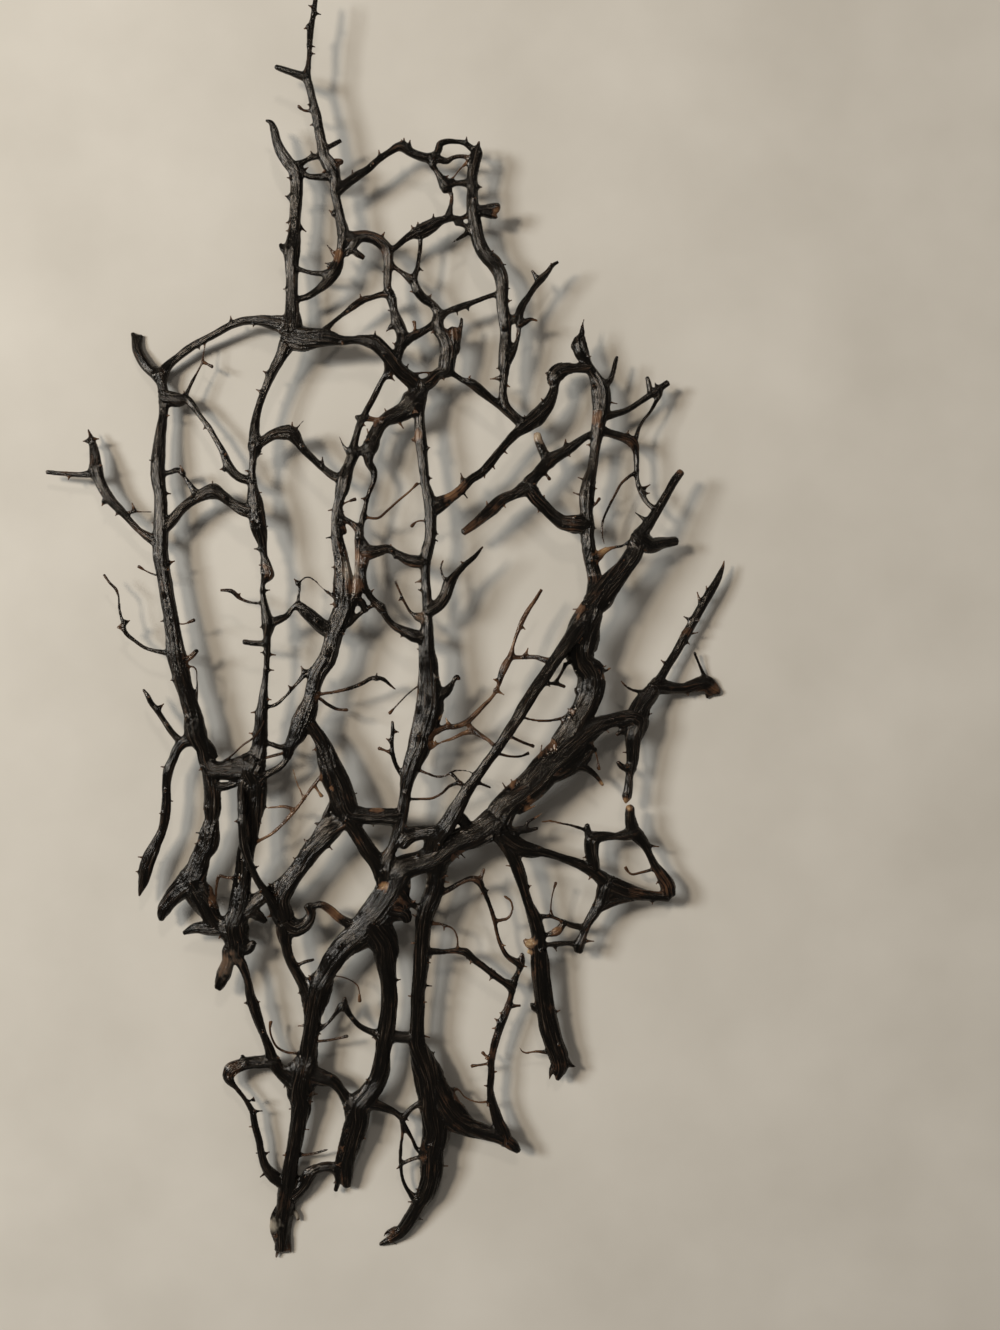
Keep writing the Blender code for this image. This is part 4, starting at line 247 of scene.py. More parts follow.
        [(495.5, 825.3, 28.9), (500.9, 812.6, 29.7), (510.9, 799.8, 26.6), (525, 790.5, 31),
         (537.5, 779.5, 32), (549, 766.2, 33), (562, 754, 34.2), (574.3, 743.1, 30.3), (587.6, 732.5, 23),
         (600.2, 724.8, 17.9), (612.2, 720.7, 14.6), (625.2, 718.6, 16.7), (636.1, 719.6, 26.4),
         (633, 739.9, 16.2), (632.5, 751.9, 14), (632, 763.9, 11.6), (629.5, 775.9, 8.2),
         (628.5, 787.9, 9.7), (626.8, 796.9, 11.2), (625.8, 802.9, 4.2)],
        [(635.9, 767.8, 6.5), (626.8, 768.5, 7.6), (620.7, 765.5, 6.5), (617.5, 761.4, 4.9)],
        [(536.1, 784.2, 5.4), (555.2, 779.6, 7.2), (570.4, 772, 8.9), (579.9, 766.5, 10.9),
         (586.6, 769, 8.1), (595.5, 775.6, 5.4), (603.3, 785.6, 3.4)],
        [(573.7, 768.7, 6.9), (585.2, 757.4, 12.1), (592.1, 749.2, 7.4), (596.7, 750.8, 5)],
        [(590, 738, 2), (594, 748, 2), (597, 757, 1.6), (599, 770, 1.4)],
        [(504, 830, 6), (518.4, 829.5, 7.2), (525.7, 826.9, 4.8), (528.4, 822.5, 2.9)],
        [(516.2, 831.8, 6), (530.2, 830.2, 4.8), (538.2, 827.8, 3.7)],
    ],
    "lower_left_limb": [
        [(252.8, 763.3, 30.6), (249.4, 769.6, 31.6), (255.1, 785, 24.2), (254.3, 800, 24.1),
         (252.4, 815.1, 21.1), (251.2, 832.2, 15.1), (249.9, 848.2, 12), (247.8, 864, 12.3),
         (245.8, 880, 12.7), (243.2, 896, 15.7), (239.2, 912, 19.4), (234.2, 928, 32), (236.6, 942, 24.6),
         (237, 954.4, 13.7), (243.3, 967, 9.8), (247.7, 979.5, 8.1), (250.3, 993.7, 9.7),
         (253.8, 1005.8, 11.5), (258.2, 1020, 9.9), (263.3, 1033.9, 7.9), (268.8, 1047.7, 9.6),
         (273.6, 1061.5, 13.2), (280.4, 1071.5, 14), (290.9, 1080.3, 18.3), (300.1, 1087.1, 20.7)],
        [(244.7, 838.2, 4.5), (240.6, 850.1, 4.8), (237.4, 868.1, 5.2), (234.5, 885.1, 5.1),
         (231.6, 902.1, 5.6), (230.4, 922, 7.9)],
        [(234.3, 944.1, 12.4), (228.5, 948.2, 11.7), (228, 961, 13.5), (223.5, 974, 16), (218, 989, 8)],
        [(236.2, 948.6, 11.8), (248.4, 949.2, 10.6), (254.2, 941.6, 7.1)],
        [(238, 914, 16), (246, 911, 15), (256, 903, 14), (266, 895.2, 13.2), (276.1, 892.6, 15.8),
         (284.1, 894.9, 14.1)],
    ],
    "crown_left_limb": [
        [(292.1, 333, 25.7), (292.2, 312, 15), (292, 296, 12.7), (291.8, 280, 11.5), (291.5, 265, 13.2),
         (291.8, 250, 17.5), (294.1, 235.2, 13.2), (295.2, 220, 11.6), (296.2, 200, 12.7),
         (296.4, 180.1, 12.9), (294, 169.9, 12.6), (288.1, 161.9, 12.2), (281.5, 152.2, 11.1),
         (276.8, 141.1, 9), (274.3, 130, 8.4), (270.6, 122.5, 5.9), (265.4, 120.5, 2.8)],
        [(289.9, 255.1, 8), (282.7, 248.2, 6), (280.2, 243.7, 4)],
    ],
    "crown_spire": [
        [(290, 303, 8), (297.3, 299.5, 6.6), (306.7, 297.1, 7), (317, 290.4, 8), (326.8, 281.9, 11.3),
         (334.5, 271, 14.1), (338.7, 259.6, 10.5), (341, 247.8, 8.8), (343.6, 234, 13.1),
         (340.6, 220.1, 10.7), (337.8, 205, 9.6), (334.8, 190, 9.4), (335.1, 177.9, 12), (330.8, 166.5, 16),
         (324.4, 155.7, 13), (321.8, 143.2, 10.9), (318.7, 127.8, 10.2), (315.8, 112.9, 10.1),
         (312.5, 99.9, 8.8), (309.1, 85.9, 8.2), (306.5, 76, 8.9), (308.4, 64.1, 5.3), (309.4, 48.1, 5.6),
         (310.3, 32.1, 7), (312.8, 18.3, 5.9), (315.2, 2.2, 5.6), (315.8, -10, 4.4)],
        [(305.8, 77.8, 9.5), (296.9, 74.3, 8.7), (286.1, 70.5, 7.4), (275.3, 66.7, 5.5)],
        [(314, 111, 3.5), (303, 110, 2.5), (298, 106, 2)],
        [(323.3, 150.5, 5.4), (333.4, 144.6, 5.5), (341.2, 140.3, 4.4)],
        [(332, 164, 9), (338, 162.2, 7.7), (343, 161.2, 5.5)],
        [(293.8, 164.4, 7.4), (298.6, 164, 8.3), (306.1, 160.3, 5.4), (312.6, 157.1, 6.6),
         (320.1, 156.9, 5.5), (329.3, 159.4, 7.2)],
        [(296, 172, 5), (300.9, 172.4, 5.3), (308.9, 176.4, 5.9), (320, 177.2, 7.2), (334, 176, 11.7)],
        [(291, 266, 5), (295.9, 267.7, 5.5), (305.8, 271.4, 4.7), (319.9, 273.6, 5.5), (334, 272, 10.6)],
    ],
    "crown_right_limb": [
        [(522.2, 423.7, 11.4), (511.6, 414, 9.7), (504.4, 404.6, 10.4), (502.8, 392.1, 7.8),
         (504.1, 378, 7.7), (504.9, 365, 12.8), (505.2, 350, 12.6), (505.9, 333, 12), (504.5, 317.9, 12.9),
         (501.9, 301.9, 12.1), (502.2, 287.8, 13.6), (499.7, 273.4, 15.5), (494, 263.6, 17),
         (485.2, 254.5, 15.2), (479, 242.6, 13.8), (475.9, 228, 13.3), (473.4, 215, 13.1),
         (472.2, 203, 11.9), (472.5, 190, 11), (472.6, 175, 11.1), (475, 162, 12.2), (477.1, 152, 13),
         (478.2, 146, 4.8), (479.3, 141, 2.9)],
        [(474.1, 210.6, 8.8), (485.1, 208, 6.9), (493, 207.1, 8.7), (498.9, 208.1, 10.7)],
        [(474.9, 220.9, 6.5), (469.6, 224.7, 5.2), (466.9, 232.9, 5.9), (459.9, 237.8, 4.3),
         (452, 243, 1.6)],
        [(505.4, 364.7, 9.9), (511.7, 352.7, 9), (517, 341.7, 4.9), (518.9, 328.3, 5.7),
         (518.7, 315.3, 8.9), (522, 306, 8.4), (528.5, 296.4, 6.5), (535, 286.6, 6.8), (541.7, 278.5, 8.5),
         (547.9, 271.7, 6.2), (552.5, 265.6, 5.2), (558.5, 261.7, 3.6)],
        [(505, 322, 8), (517, 318, 9)],
        [(537.3, 280.4, 5.3), (534.1, 273.6, 4.4), (531.4, 270.3, 2.9)],
        [(518.3, 324.8, 8.3), (525.3, 321.8, 7.2), (530.2, 319.4, 4.7), (538, 321, 2.4)],
    ],
    "cross_arm": [
        [(291, 335.3, 27.2), (303, 338.5, 25.4), (315.9, 337.8, 20.1), (329.9, 338.5, 15.1),
         (342, 340.6, 9.7), (353, 340, 8.1), (364, 340.3, 11.6, 3), (374.2, 342.7, 16),
         (383.4, 350.6, 15.1), (391.6, 360.4, 14.5, 3), (399.6, 370.5, 14.4), (409.7, 378.5, 15.5),
         (419.3, 386.7, 16.5)],
        [(389.2, 363.9, 9.5), (388, 372.1, 7.1), (380.7, 384.4, 6), (373.2, 398.7, 6), (366.3, 411.6, 6.9),
         (359.9, 424.3, 7.5), (356.3, 436.1, 7.4), (352, 454, 10.1)],
    ],
    "crown_centre_limb": [
        [(343, 236, 12), (353, 237.3, 12.6), (362.6, 236.2, 11.9), (372.6, 237.6, 12.5), (381, 242.3, 12.2),
         (387.2, 249.8, 12.4), (388.5, 262, 9.7), (388, 274.8, 8.7), (387.7, 287, 8.3),
         (391.1, 297.3, 10.6), (394, 309.6, 7.9), (396.5, 320.3, 11.8), (400.9, 329.9, 11.6),
         (403.1, 339.6, 13.9), (399.9, 349.5, 10.4), (396.4, 362.9, 10.3)],
        [(387.7, 258.2, 7.4), (394.3, 266.8, 5.1), (402.5, 272.9, 5.2), (412, 280.1, 9.8)],
        [(419.9, 230, 6.5), (420.5, 245.1, 4.7), (419, 257.1, 4.5), (417.2, 268.2, 5.3), (414, 279.6, 8.7),
         (417, 290.4, 10.4), (424.5, 299.2, 10), (432.5, 304.5, 8.5), (438.8, 315, 11.2),
         (437.7, 321.5, 11.7), (439.1, 330.3, 11.6), (446, 339.5, 15.4), (448.4, 349.9, 17.6),
         (446.7, 361.8, 17.3), (446, 370, 15.8), (437.3, 374.6, 11.8), (430.5, 381.6, 12.5),
         (420.2, 387.3, 14.9)],
        [(440.3, 315.6, 12.4), (448.1, 311.3, 6.2), (460.1, 307.2, 7.5), (474, 302, 5.7),
         (487.9, 296.8, 5.1), (501, 292.9, 6.3)],
        [(450, 356, 6.1), (457, 352, 5), (458.7, 342, 5.1), (460.4, 331, 4.8), (461.7, 318, 3.5)],
        [(437, 320.8, 7.4), (429.1, 327.8, 7.3), (420.5, 333.2, 8), (411.5, 337.1, 10.1),
         (403.8, 340.7, 12.7)],
        [(413, 337, 2.5), (415, 326, 2), (414, 321, 2)],
        [(391.8, 295.1, 10.5), (382.7, 294.5, 6.9), (372.7, 297.3, 5.7), (362.8, 300.1, 7.8),
         (352.9, 306.8, 7.7), (342.9, 314.9, 4.8), (333.9, 322.9, 4.7), (324.9, 332.9, 7.7)],
        [(357, 239, 11), (353, 246, 9), (346, 256, 5)],
    ],
    "crown_arch": [
        [(336.1, 193.2, 9.6), (346.1, 184.1, 10.4), (355.9, 176.8, 10.2), (366.9, 170, 8),
         (378.1, 160.1, 7.4), (390.1, 151.7, 7.3), (400, 146.6, 9.6), (409.8, 151.8, 9.3),
         (419.1, 155.6, 9.8), (426.9, 157.8, 10), (433.2, 158.7, 13.1), (432, 163.7, 9),
         (436.1, 170.5, 5.7), (441.3, 178.8, 8.8), (447.1, 185.3, 16.2), (449.4, 184.2, 9.4),
         (458, 183.2, 6.2), (473.1, 183.8, 10.4)],
        [(434, 157, 6.5), (438.8, 148.7, 7.8), (439.3, 144.6, 6.9), (446.7, 141.4, 6.4), (456, 141.6, 4.9),
         (464.9, 143.1, 6.3), (472.2, 148.6, 7.6), (477.5, 151.2, 8.6)],
        [(434.3, 158.1, 8.5), (440.2, 159.9, 8), (447, 161.3, 6.8), (452.9, 157.8, 5.1),
         (460.9, 156.3, 4.8), (474, 159.5, 6.1)],
        [(445.9, 185.8, 10.1), (444.6, 192.8, 6.2)],
        [(448.5, 186.1, 5.7), (451.9, 197, 4), (450.7, 206.9, 4.8), (448.6, 217.7, 9.2)],
        [(449, 182, 1.8), (453, 178, 1.6), (460, 169, 1.4), (468, 162, 1.6)],
    ],
    "crown_link": [
        [(474, 211.9, 7.5), (462, 218.2, 5.1), (452, 218.6, 7), (441.2, 220.6, 8.7), (431.8, 225.5, 13.7),
         (422, 230.8, 15.2), (411.9, 234.9, 9.1), (403, 240.9, 7), (396.5, 246.6, 6.4),
         (387.3, 252.5, 7.3)],
    ],
    "upper_left_limb": [
        [(290.7, 330.6, 17.6), (282.7, 324.1, 17.5), (271.8, 322.3, 14.2), (258, 320.2, 10.9),
         (244.2, 320.8, 9.2), (230.3, 325.8, 8.2), (216.3, 333.7, 7.8), (203.3, 340.4, 7.7),
         (190.6, 347.8, 8.2), (178.7, 356.9, 7.9), (168.5, 365.6, 9.4), (160.6, 374.6, 14.1)],
        [(206, 339, 2.5), (203.6, 353.9, 2.4), (202.4, 361.8, 2.9), (198, 371.1, 2.7), (192.5, 381.3, 3.8),
         (186.7, 394, 4.6)],
        [(203, 362, 2), (213, 367, 1.6)],
    ],
    "upper_left_link": [
        [(290.6, 336.8, 18.1), (285.7, 347.4, 15.8), (278.9, 360, 10.9), (271.2, 374.7, 9.5),
         (265, 390, 7.8), (259.6, 404.8, 7.6), (255.9, 419, 8.6), (254.6, 432, 10.2), (255.8, 446, 14.9)],
    ],
    "upper_left_arch": [
        [(162, 396.8, 15.9), (170, 398.7, 16.5), (179.9, 399.9, 13.7), (186.9, 399.3, 8.9), (193.1, 406, 8),
         (200.6, 416.6, 5.6), (208.9, 427.5, 6.3), (215.9, 439.5, 6.1), (223.4, 452.7, 7.1),
         (228.9, 466.8, 10.3), (237, 475.8, 9.3), (253.1, 481.8, 9.5)],
    ],
    "left_tip": [
        [(162.4, 546.6, 14.2), (150.3, 537.9, 10.6), (139.6, 530.6, 7.1), (130.3, 520.8, 6.9),
         (121.6, 511.4, 9.4), (112.6, 502.4, 10.8), (105.3, 492.5, 10.9), (99.4, 481.1, 12.3),
         (95.8, 469.6, 14.5), (95.2, 457.9, 11), (93.1, 444.8, 7.5), (90.4, 435.6, 4.7), (88, 428.7, 2.4)],
        [(95, 473.5, 9.1), (80, 474.7, 6), (65, 473.8, 5.2), (46, 472, 4.8)],
        [(123.2, 514.4, 4.8), (135.2, 511.8, 3), (145, 512, 1.6), (152, 512, 2.5)],
    ],
    "left_arch": [
        [(163, 529, 12), (173.2, 519.2, 11.4), (182.2, 508.6, 10.2), (192.1, 500.8, 11.2),
         (202.5, 494.8, 13.1), (213.2, 491.5, 16), (222.1, 495.5, 11.6), (232.1, 502.8, 10.4),
         (243.3, 509.1, 14.5), (256.4, 512, 13.1)],
    ],
    "left_foot": [
        [(195, 739.9, 12.6), (184.1, 741.9, 12.4), (177.8, 748.4, 10.7), (173.2, 758.5, 9.5),
         (168.3, 770.2, 11.3), (166.3, 785, 9.4), (166.3, 800.1, 10.1), (165.2, 815.2, 10.8),
         (162.4, 829.4, 8.5), (156.5, 842.6, 11.5), (149.9, 857.4, 15.4), (145.6, 870.2, 14.6),
         (143.2, 882.3, 10.5), (139.1, 896.3, 2.6)],
        [(182.7, 744.1, 8.4), (172.9, 733.6, 6.9), (165.1, 722.5, 6), (157.5, 711.2, 6.2),
         (150.2, 701.7, 6), (147, 695, 5), (143, 689, 3)],
    ],
    "left_claw": [
        [(207, 764.8, 12.2), (209.8, 779.8, 14.3), (212.5, 795, 16.8), (212.2, 808, 17.2),
         (211.7, 819.8, 13.4), (209.4, 831.8, 20.7), (207.3, 844.3, 21.8), (201.5, 854.7, 18.7),
         (197.8, 866.8, 21.9), (191.3, 880.7, 30.3), (181, 888.8, 22.6), (171.2, 899.9, 16.8),
         (164.1, 909.6, 14.8), (160.5, 920.6, 5)],
        [(192, 878, 20), (199.1, 893.4, 29.5), (206.1, 905.5, 26.4), (212, 916.8, 17.5),
         (218.7, 925.9, 16.6), (235.3, 927.4, 19.7)],
        [(212, 904, 3), (215, 899, 2.5), (216.4, 886.6, 2.3), (219.8, 876, 3.8), (227.4, 877.6, 2.3),
         (234, 878, 2.5)],
        [(218, 928.2, 16.2), (208.2, 928.5, 15.1), (196.2, 928, 11.1), (183.1, 933.4, 4.5)],
        [(211, 786, 11), (223, 787, 9), (238, 783, 7)],
    ],
    "inner_arch": [
        [(254.9, 446.5, 10.6), (264, 440.8, 9.9), (273.6, 434.8, 11.6), (283.1, 432.8, 14.5),
         (290.8, 433, 15.9), (296.9, 440.2, 11.3), (305.6, 451.4, 8.4), (315.2, 460.9, 7.3),
         (325.3, 469.8, 7.5), (333.5, 475.8, 9.2), (343.7, 479.5, 10.6)],
        [(294, 436, 4), (296, 430, 2.5), (304, 420, 2)],
    ],
    "inner_strand": [
        [(351.8, 452.4, 11), (361.4, 450.8, 8.4), (369.2, 447.7, 18.5), (373.8, 437, 14.4),
         (379.5, 426.4, 13.1), (386.2, 419.6, 13.8), (395.2, 415.2, 16.3), (405.1, 409.8, 20.4),
         (413.9, 401.1, 27.5), (420.9, 392.8, 17.9)],
        [(369.2, 449, 15.6), (368.8, 461.8, 8.7), (374, 471.8, 7.4), (373.5, 482, 5.1), (369, 493, 4.4),
         (365.8, 505, 4.6), (363, 517, 6.8), (361, 527, 6.2), (360.3, 535.2, 5.5), (364.7, 548.1, 12.6),
         (364.2, 560, 11), (362.3, 572.2, 8.3), (363.3, 583.5, 8.7), (368.1, 593.9, 7.2),
         (375.5, 602.7, 7.8), (382.2, 608.4, 11.7)],
        [(366.2, 552.3, 16), (377.3, 551.3, 11.2), (388.1, 549, 9.2), (394.9, 552.2, 7.3),
         (403.9, 558, 10.5), (414, 561.7, 13.3), (426.1, 561.6, 11.6)],
        [(381, 605.6, 9.2), (385.6, 616, 7), (393, 625, 7.6), (403.5, 630.7, 9.5), (414, 635.8, 13.7),
         (427.2, 638.4, 12.3)],
        [(379.5, 602, 5.6), (367.6, 608.3, 4.2), (357, 616.1, 5), (346.3, 624.6, 8.4), (337.1, 625.4, 7.8)],
        [(364, 517, 2.5), (378, 518, 2.5), (388, 510, 2.5), (398, 501, 2.5), (410, 491, 2), (418, 483, 2)],
        [(355, 417.2, 4.1), (361, 417.6, 6.2), (369, 418.7, 6.2), (378, 419.5, 4.8), (387, 419.5, 6.2)],
    ],
    "inner_fork": [
        [(305, 716, 14), (312.6, 727.6, 12.8), (321.4, 741.4, 15.2), (327.1, 756.9, 21.1),
         (332.4, 772.3, 26.4), (338.9, 787.1, 27.1), (343.2, 800.4, 26.8), (349.1, 812.7, 24.6),
         (365.9, 816.3, 15.6), (380, 816.7, 16.4), (393, 817.1, 17.6), (401, 816.3, 13)],
        [(348, 812, 18), (344.2, 821.3, 13.5), (333.5, 829.5, 17.5), (321.8, 839.8, 20), (310.5, 851.5, 20),
         (302.2, 864.5, 17.4), (293.4, 875.8, 18.3), (285.9, 887.4, 20.7), (280.4, 900.9, 18.4),
         (283.7, 916, 22)],
        [(321, 744.2, 7.9), (324.6, 765.1, 6.9), (329.8, 782, 8.4), (332.8, 797, 7.4), (336.9, 812, 7.3),
         (346, 820, 12), (355, 830, 16), (362, 840.5, 16), (369, 851.5, 17), (378, 864, 18),
         (385, 884, 16)],
        [(333.2, 799.6, 5.9), (325.9, 813, 5.2), (319.3, 823.3, 3.1), (314.1, 823.2, 2.6)],
        [(341.8, 814.7, 5.7), (329.4, 817.4, 6.7), (311.5, 841.6, 7.4), (297.1, 860.1, 5.7),
         (284.1, 877, 5.7), (269.8, 887.8, 6.7), (257, 896, 8.1), (244.2, 905.2, 11.2)],
    ],
    "left_tangle": [
        [(330.8, 773.7, 4.8), (323.7, 774.7, 4.9), (315.8, 782.8, 4.1), (308, 793.1, 3.9),
         (300.6, 803.5, 3.6), (291.8, 813.7, 4.6), (281.8, 824.8, 4.1), (270.5, 834.6, 3.8),
         (260.2, 840.3, 3.7), (250.1, 847.2, 3.5)],
        [(293.6, 809.9, 4.8), (285.3, 806.6, 3.9), (274.9, 807.4, 2.7), (265, 808, 2)],
        [(304.2, 799.6, 4.8), (302.7, 795.8, 2.9), (297, 783, 2), (293, 769, 2)],
        [(314, 785, 2), (322, 797, 1.6)],
    ],
    "lower_left_fork": [
        [(284.4, 914, 19.1), (284.9, 932.1, 17), (286.1, 946.3, 10.9), (289.9, 959.4, 10.6),
         (296.1, 971.5, 10.5), (303.3, 984.4, 11.8), (311, 1000.5, 16.4)],
        [(284.6, 922, 19.2), (296, 928.4, 18.3), (306.2, 923.5, 13.8), (311.3, 912.4, 9.4),
         (307.2, 904.6, 9.2)],
        [(311, 906.3, 5.6), (320.8, 904.7, 8.2), (330, 909.7, 9.5), (338.4, 917.4, 9.6),
         (353, 925.5, 10.7)],
        [(295.1, 966.5, 4), (306.2, 961.7, 4.3), (314.2, 959.6, 3.6)],
    ],
    "front_rod": [
        [(247, 772, 7), (241.2, 785, 8.3, 4), (241.5, 804.9, 8.9), (242.1, 825.1, 9.2, 6),
         (244.1, 845.2, 9.8), (249.7, 862.6, 7.3, 6), (256.9, 879.2, 7), (266.2, 892.5, 8.7, 4),
         (274.2, 905.9, 12.6), (281.5, 918.3, 17.2, 0)],
    ],
    "left_loop": [
        [(274, 1061.1, 13.7), (262.1, 1061.8, 12.7), (250.2, 1062.5, 12.5), (239.5, 1065.2, 13.2),
         (230.5, 1070.6, 15.2), (228.7, 1077.8, 10.9), (235.8, 1087.6, 4.9), (244.6, 1098.6, 4.8),
         (251.8, 1110.6, 6), (255.2, 1125.9, 7.7), (259.3, 1141, 7.3), (261.7, 1154.3, 8.1),
         (266.7, 1168, 9.6), (274.8, 1176.9, 13.8), (286.8, 1185.2, 13.5)],
        [(243, 1063, 6), (242, 1055, 4)],
    ],
    "centre_spray": [
        [(421.1, 737.4, 7.2), (436.2, 731.7, 6.7), (444.2, 727.6, 6.1), (455.1, 726.5, 6.2),
         (466.1, 722.3, 6.2), (475.2, 714.2, 6.2), (484.1, 705.1, 4.9), (492.8, 695.9, 3.9),
         (498.2, 686, 4.5), (501, 675.6, 6.8), (505.6, 665.1, 8.6), (510.4, 656.6, 7.3),
         (513.1, 645.4, 3.6), (517.5, 632.5, 4.3), (522.5, 620.6, 5.3), (529.2, 608.7, 4.8),
         (534.9, 600.6, 4.2), (541.7, 589.4, 3.7)],
        [(508, 657.3, 5.7), (522, 657.4, 4.9), (535, 657, 4.7), (546.2, 660.5, 7.9), (555.2, 662.6, 9)],
        [(466.4, 721.5, 3.6), (472.3, 729.8, 7.4), (478.9, 734.3, 5.9), (487.9, 739.2, 4.4),
         (494.7, 744.5, 5.1), (500.7, 745.6, 4.8)],
        [(474.2, 732, 6.1), (463.6, 733.4, 4.8), (452.7, 738.6, 3.8), (440.3, 742.7, 2.7),
         (430.1, 749.2, 3.5)],
    ],
    "right_wing": [
        [(601.1, 418.4, 10.1), (614.1, 414.4, 8), (627.2, 410.2, 7), (639.3, 402.5, 6), (649.5, 395.6, 7.1),
         (658.5, 389.7, 8.2), (668.4, 382.6, 7.2)],
        [(650.1, 394.9, 6.2), (648.9, 383.8, 6.2), (646.9, 376.8, 4.3)],
        [(658, 388.1, 9.3), (659.4, 392, 7.4), (655.7, 401.8, 4.6), (650.3, 411.6, 3.9),
         (642.4, 421.7, 3.9), (637.5, 431.8, 4.3), (635.2, 444.9, 5.4)],
        [(599, 429.9, 9.8), (611.1, 433.9, 8.6), (622.4, 437.6, 9), (632.2, 442.5, 11.7), (636.2, 454, 6.4),
         (636.7, 468.2, 5.5), (637.6, 481.3, 5.3), (641.3, 492.9, 6.7), (646.9, 503.6, 5.7),
         (655.4, 511.2, 6.6)],
        [(638.8, 471.2, 4.3), (629.2, 476.6, 4.1), (621.1, 484.1, 3.5), (615.2, 494.6, 3.3),
         (608.5, 507.6, 3.5), (603.1, 520.4, 3.1), (601.9, 533.2, 2.8), (604.5, 545, 1.8)],
    ],
    "right_fork": [
        [(597.5, 431.7, 6.6), (584.4, 437.7, 7.4), (572.3, 446.5, 9.9), (560.6, 454.1, 11.9),
         (549.1, 460.5, 14.9), (544, 466.3, 12.2), (536.5, 475.2, 11.4), (529.1, 483.7, 16),
         (534.1, 495.8, 14.8), (544.1, 505.9, 13.5), (553.3, 515.5, 12.4), (563.7, 522.8, 15.1),
         (575.4, 524, 19.5), (586.9, 524.8, 15)],
        [(547, 459.5, 9.5), (540.8, 446.5, 8.7), (537.9, 438.4, 8.3), (537.3, 433.2, 7.5)],
        [(543, 470, 3), (550, 480, 2)],
        [(533.2, 486.6, 13.1), (524.7, 488.8, 16.8), (514.1, 494.3, 10.8), (502.3, 499.9, 11.8),
         (492.6, 508.9, 13), (482.5, 517.8, 10.8), (472.1, 526.3, 9.6), (462.7, 532.8, 7.1)],
    ],
    "lower_web": [
        [(590.6, 610.8, 25), (586.4, 620.5, 30.5), (582.9, 635.2, 35.3), (580.2, 650.1, 35.1),
         (582.7, 662, 22.9), (591, 676, 28), (591, 690, 28), (587, 703.5, 26), (579, 717, 25),
         (570.2, 732.1, 25.5), (560, 747, 24)],
        [(588, 661, 12), (597.9, 664.6, 8.8), (604.8, 671, 3.9), (610.9, 667.6, 2.4)],
    ],
    "right_tip": [
        [(636.4, 716.2, 21.8), (641.5, 705, 20.2), (648.5, 695.8, 18.9), (653.7, 689.3, 16.1),
         (661.1, 676.7, 9.5), (668.8, 664, 8.9), (676.8, 651.1, 9.5), (684.4, 637.8, 10.1),
         (693.5, 621.9, 10.1), (702.4, 605.8, 9.6), (710.7, 591.4, 9.6), (718.6, 577.3, 7.1),
         (722.6, 567.3, 4), (724.3, 560.1, 1.6)],
        [(654.1, 685.9, 17), (670.1, 687.9, 13), (684.2, 688.2, 11.6), (696.3, 685.2, 14.4, 0),
         (705.2, 684, 19.8, -0.6), (711.7, 688.3, 16.1, -0.6), (719.6, 692.6, 7.5, 0)],
        [(706.2, 686, 6.6), (708.2, 698, 4.5)],
        [(706.2, 679.5, 5.6), (703, 672.5, 4.7), (698.6, 662.7, 3.2), (694.2, 651.9, 3.3)],
        [(647.2, 693.5, 5.1), (642.2, 692.1, 5.5), (632.8, 690.1, 3.4), (626.4, 686.7, 2.9),
         (620.7, 680.5, 2.9)],
    ],
    "right_link": [
        [(497, 832, 18), (505, 838, 18), (517.1, 845.8, 18.9), (530.2, 850.4, 15.6), (543.2, 852.1, 10.2),
         (556.4, 855.8, 8.4), (569.7, 860.3, 9.9), (582.7, 865.4, 11.3), (595.4, 873.3, 12.1),
         (607.7, 882.7, 16.7), (620.3, 889.2, 20), (633.3, 892.8, 16.5), (646.5, 895.2, 11.7),
         (658.9, 896.4, 10.7), (669.1, 896.4, 12.7)],
        [(608.5, 881.7, 17.1), (605.4, 887.7, 17.1), (601.7, 899.4, 14.4), (595, 911.6, 11.7),
         (587.7, 923.3, 9.3), (583.1, 934.4, 8.5), (579.2, 945.4, 12.4), (578.5, 952.2, 9)],
        [(585.8, 927.8, 7.1), (570.8, 924.9, 6.1), (560.9, 920.3, 4.1), (551.1, 916.8, 4),
         (541.1, 916.6, 6.6), (533, 917.8, 6.4)],
        [(564.9, 922.1, 5.7), (556.3, 931.4, 9.8), (547.1, 934.9, 4.6), (535.8, 936.5, 6)],
        [(580, 944.8, 7.4), (568, 943.2, 5.5), (556, 944, 6), (540, 945.5, 4.8)],
        [(552, 917, 2), (551, 911, 1.6), (552, 897, 1.4), (556, 882, 1.4)],
        [(640, 896, 8), (622, 899, 10), (606, 904, 12), (599, 908, 10)],
    ],
    "right_ring": [
        [(630.4, 806, 9.1), (630.4, 816, 10.7), (632, 827, 13.2), (637.1, 836, 14.4), (643.4, 842.8, 11.3),
         (649.2, 853.9, 7.8), (655.1, 865.9, 9.2), (661.5, 875.7, 12.6), (667.5, 885.7, 15.6),
         (669.2, 895.9, 13.4)],
        [(635, 832.2, 15.5), (616, 836.2, 8), (603.2, 836.5, 10.9), (592.7, 839.4, 16.3),
         (591.6, 849.2, 15.4), (593.1, 860, 12.8), (596.6, 876.8, 9.2)],
        [(657.1, 868.5, 3.3), (651.2, 869.9, 3.5), (641.1, 872.5, 2.7), (631, 874, 2.5), (625, 867, 2)],
        [(590.5, 838.2, 11.6), (588, 832.1, 8.9), (587.1, 823.9, 5.2)],
        [(589.1, 831, 4.8), (582.8, 828.9, 4.2), (571.8, 825.6, 3.3), (559.9, 823.1, 2.5), (550, 821, 2.5),
         (541, 822, 2.5)],
    ],
    "hanging_limb": [
        [(498, 830, 20), (503.3, 839.8, 15.1), (509.2, 849.5, 13.6), (515.4, 863.1, 14.6),
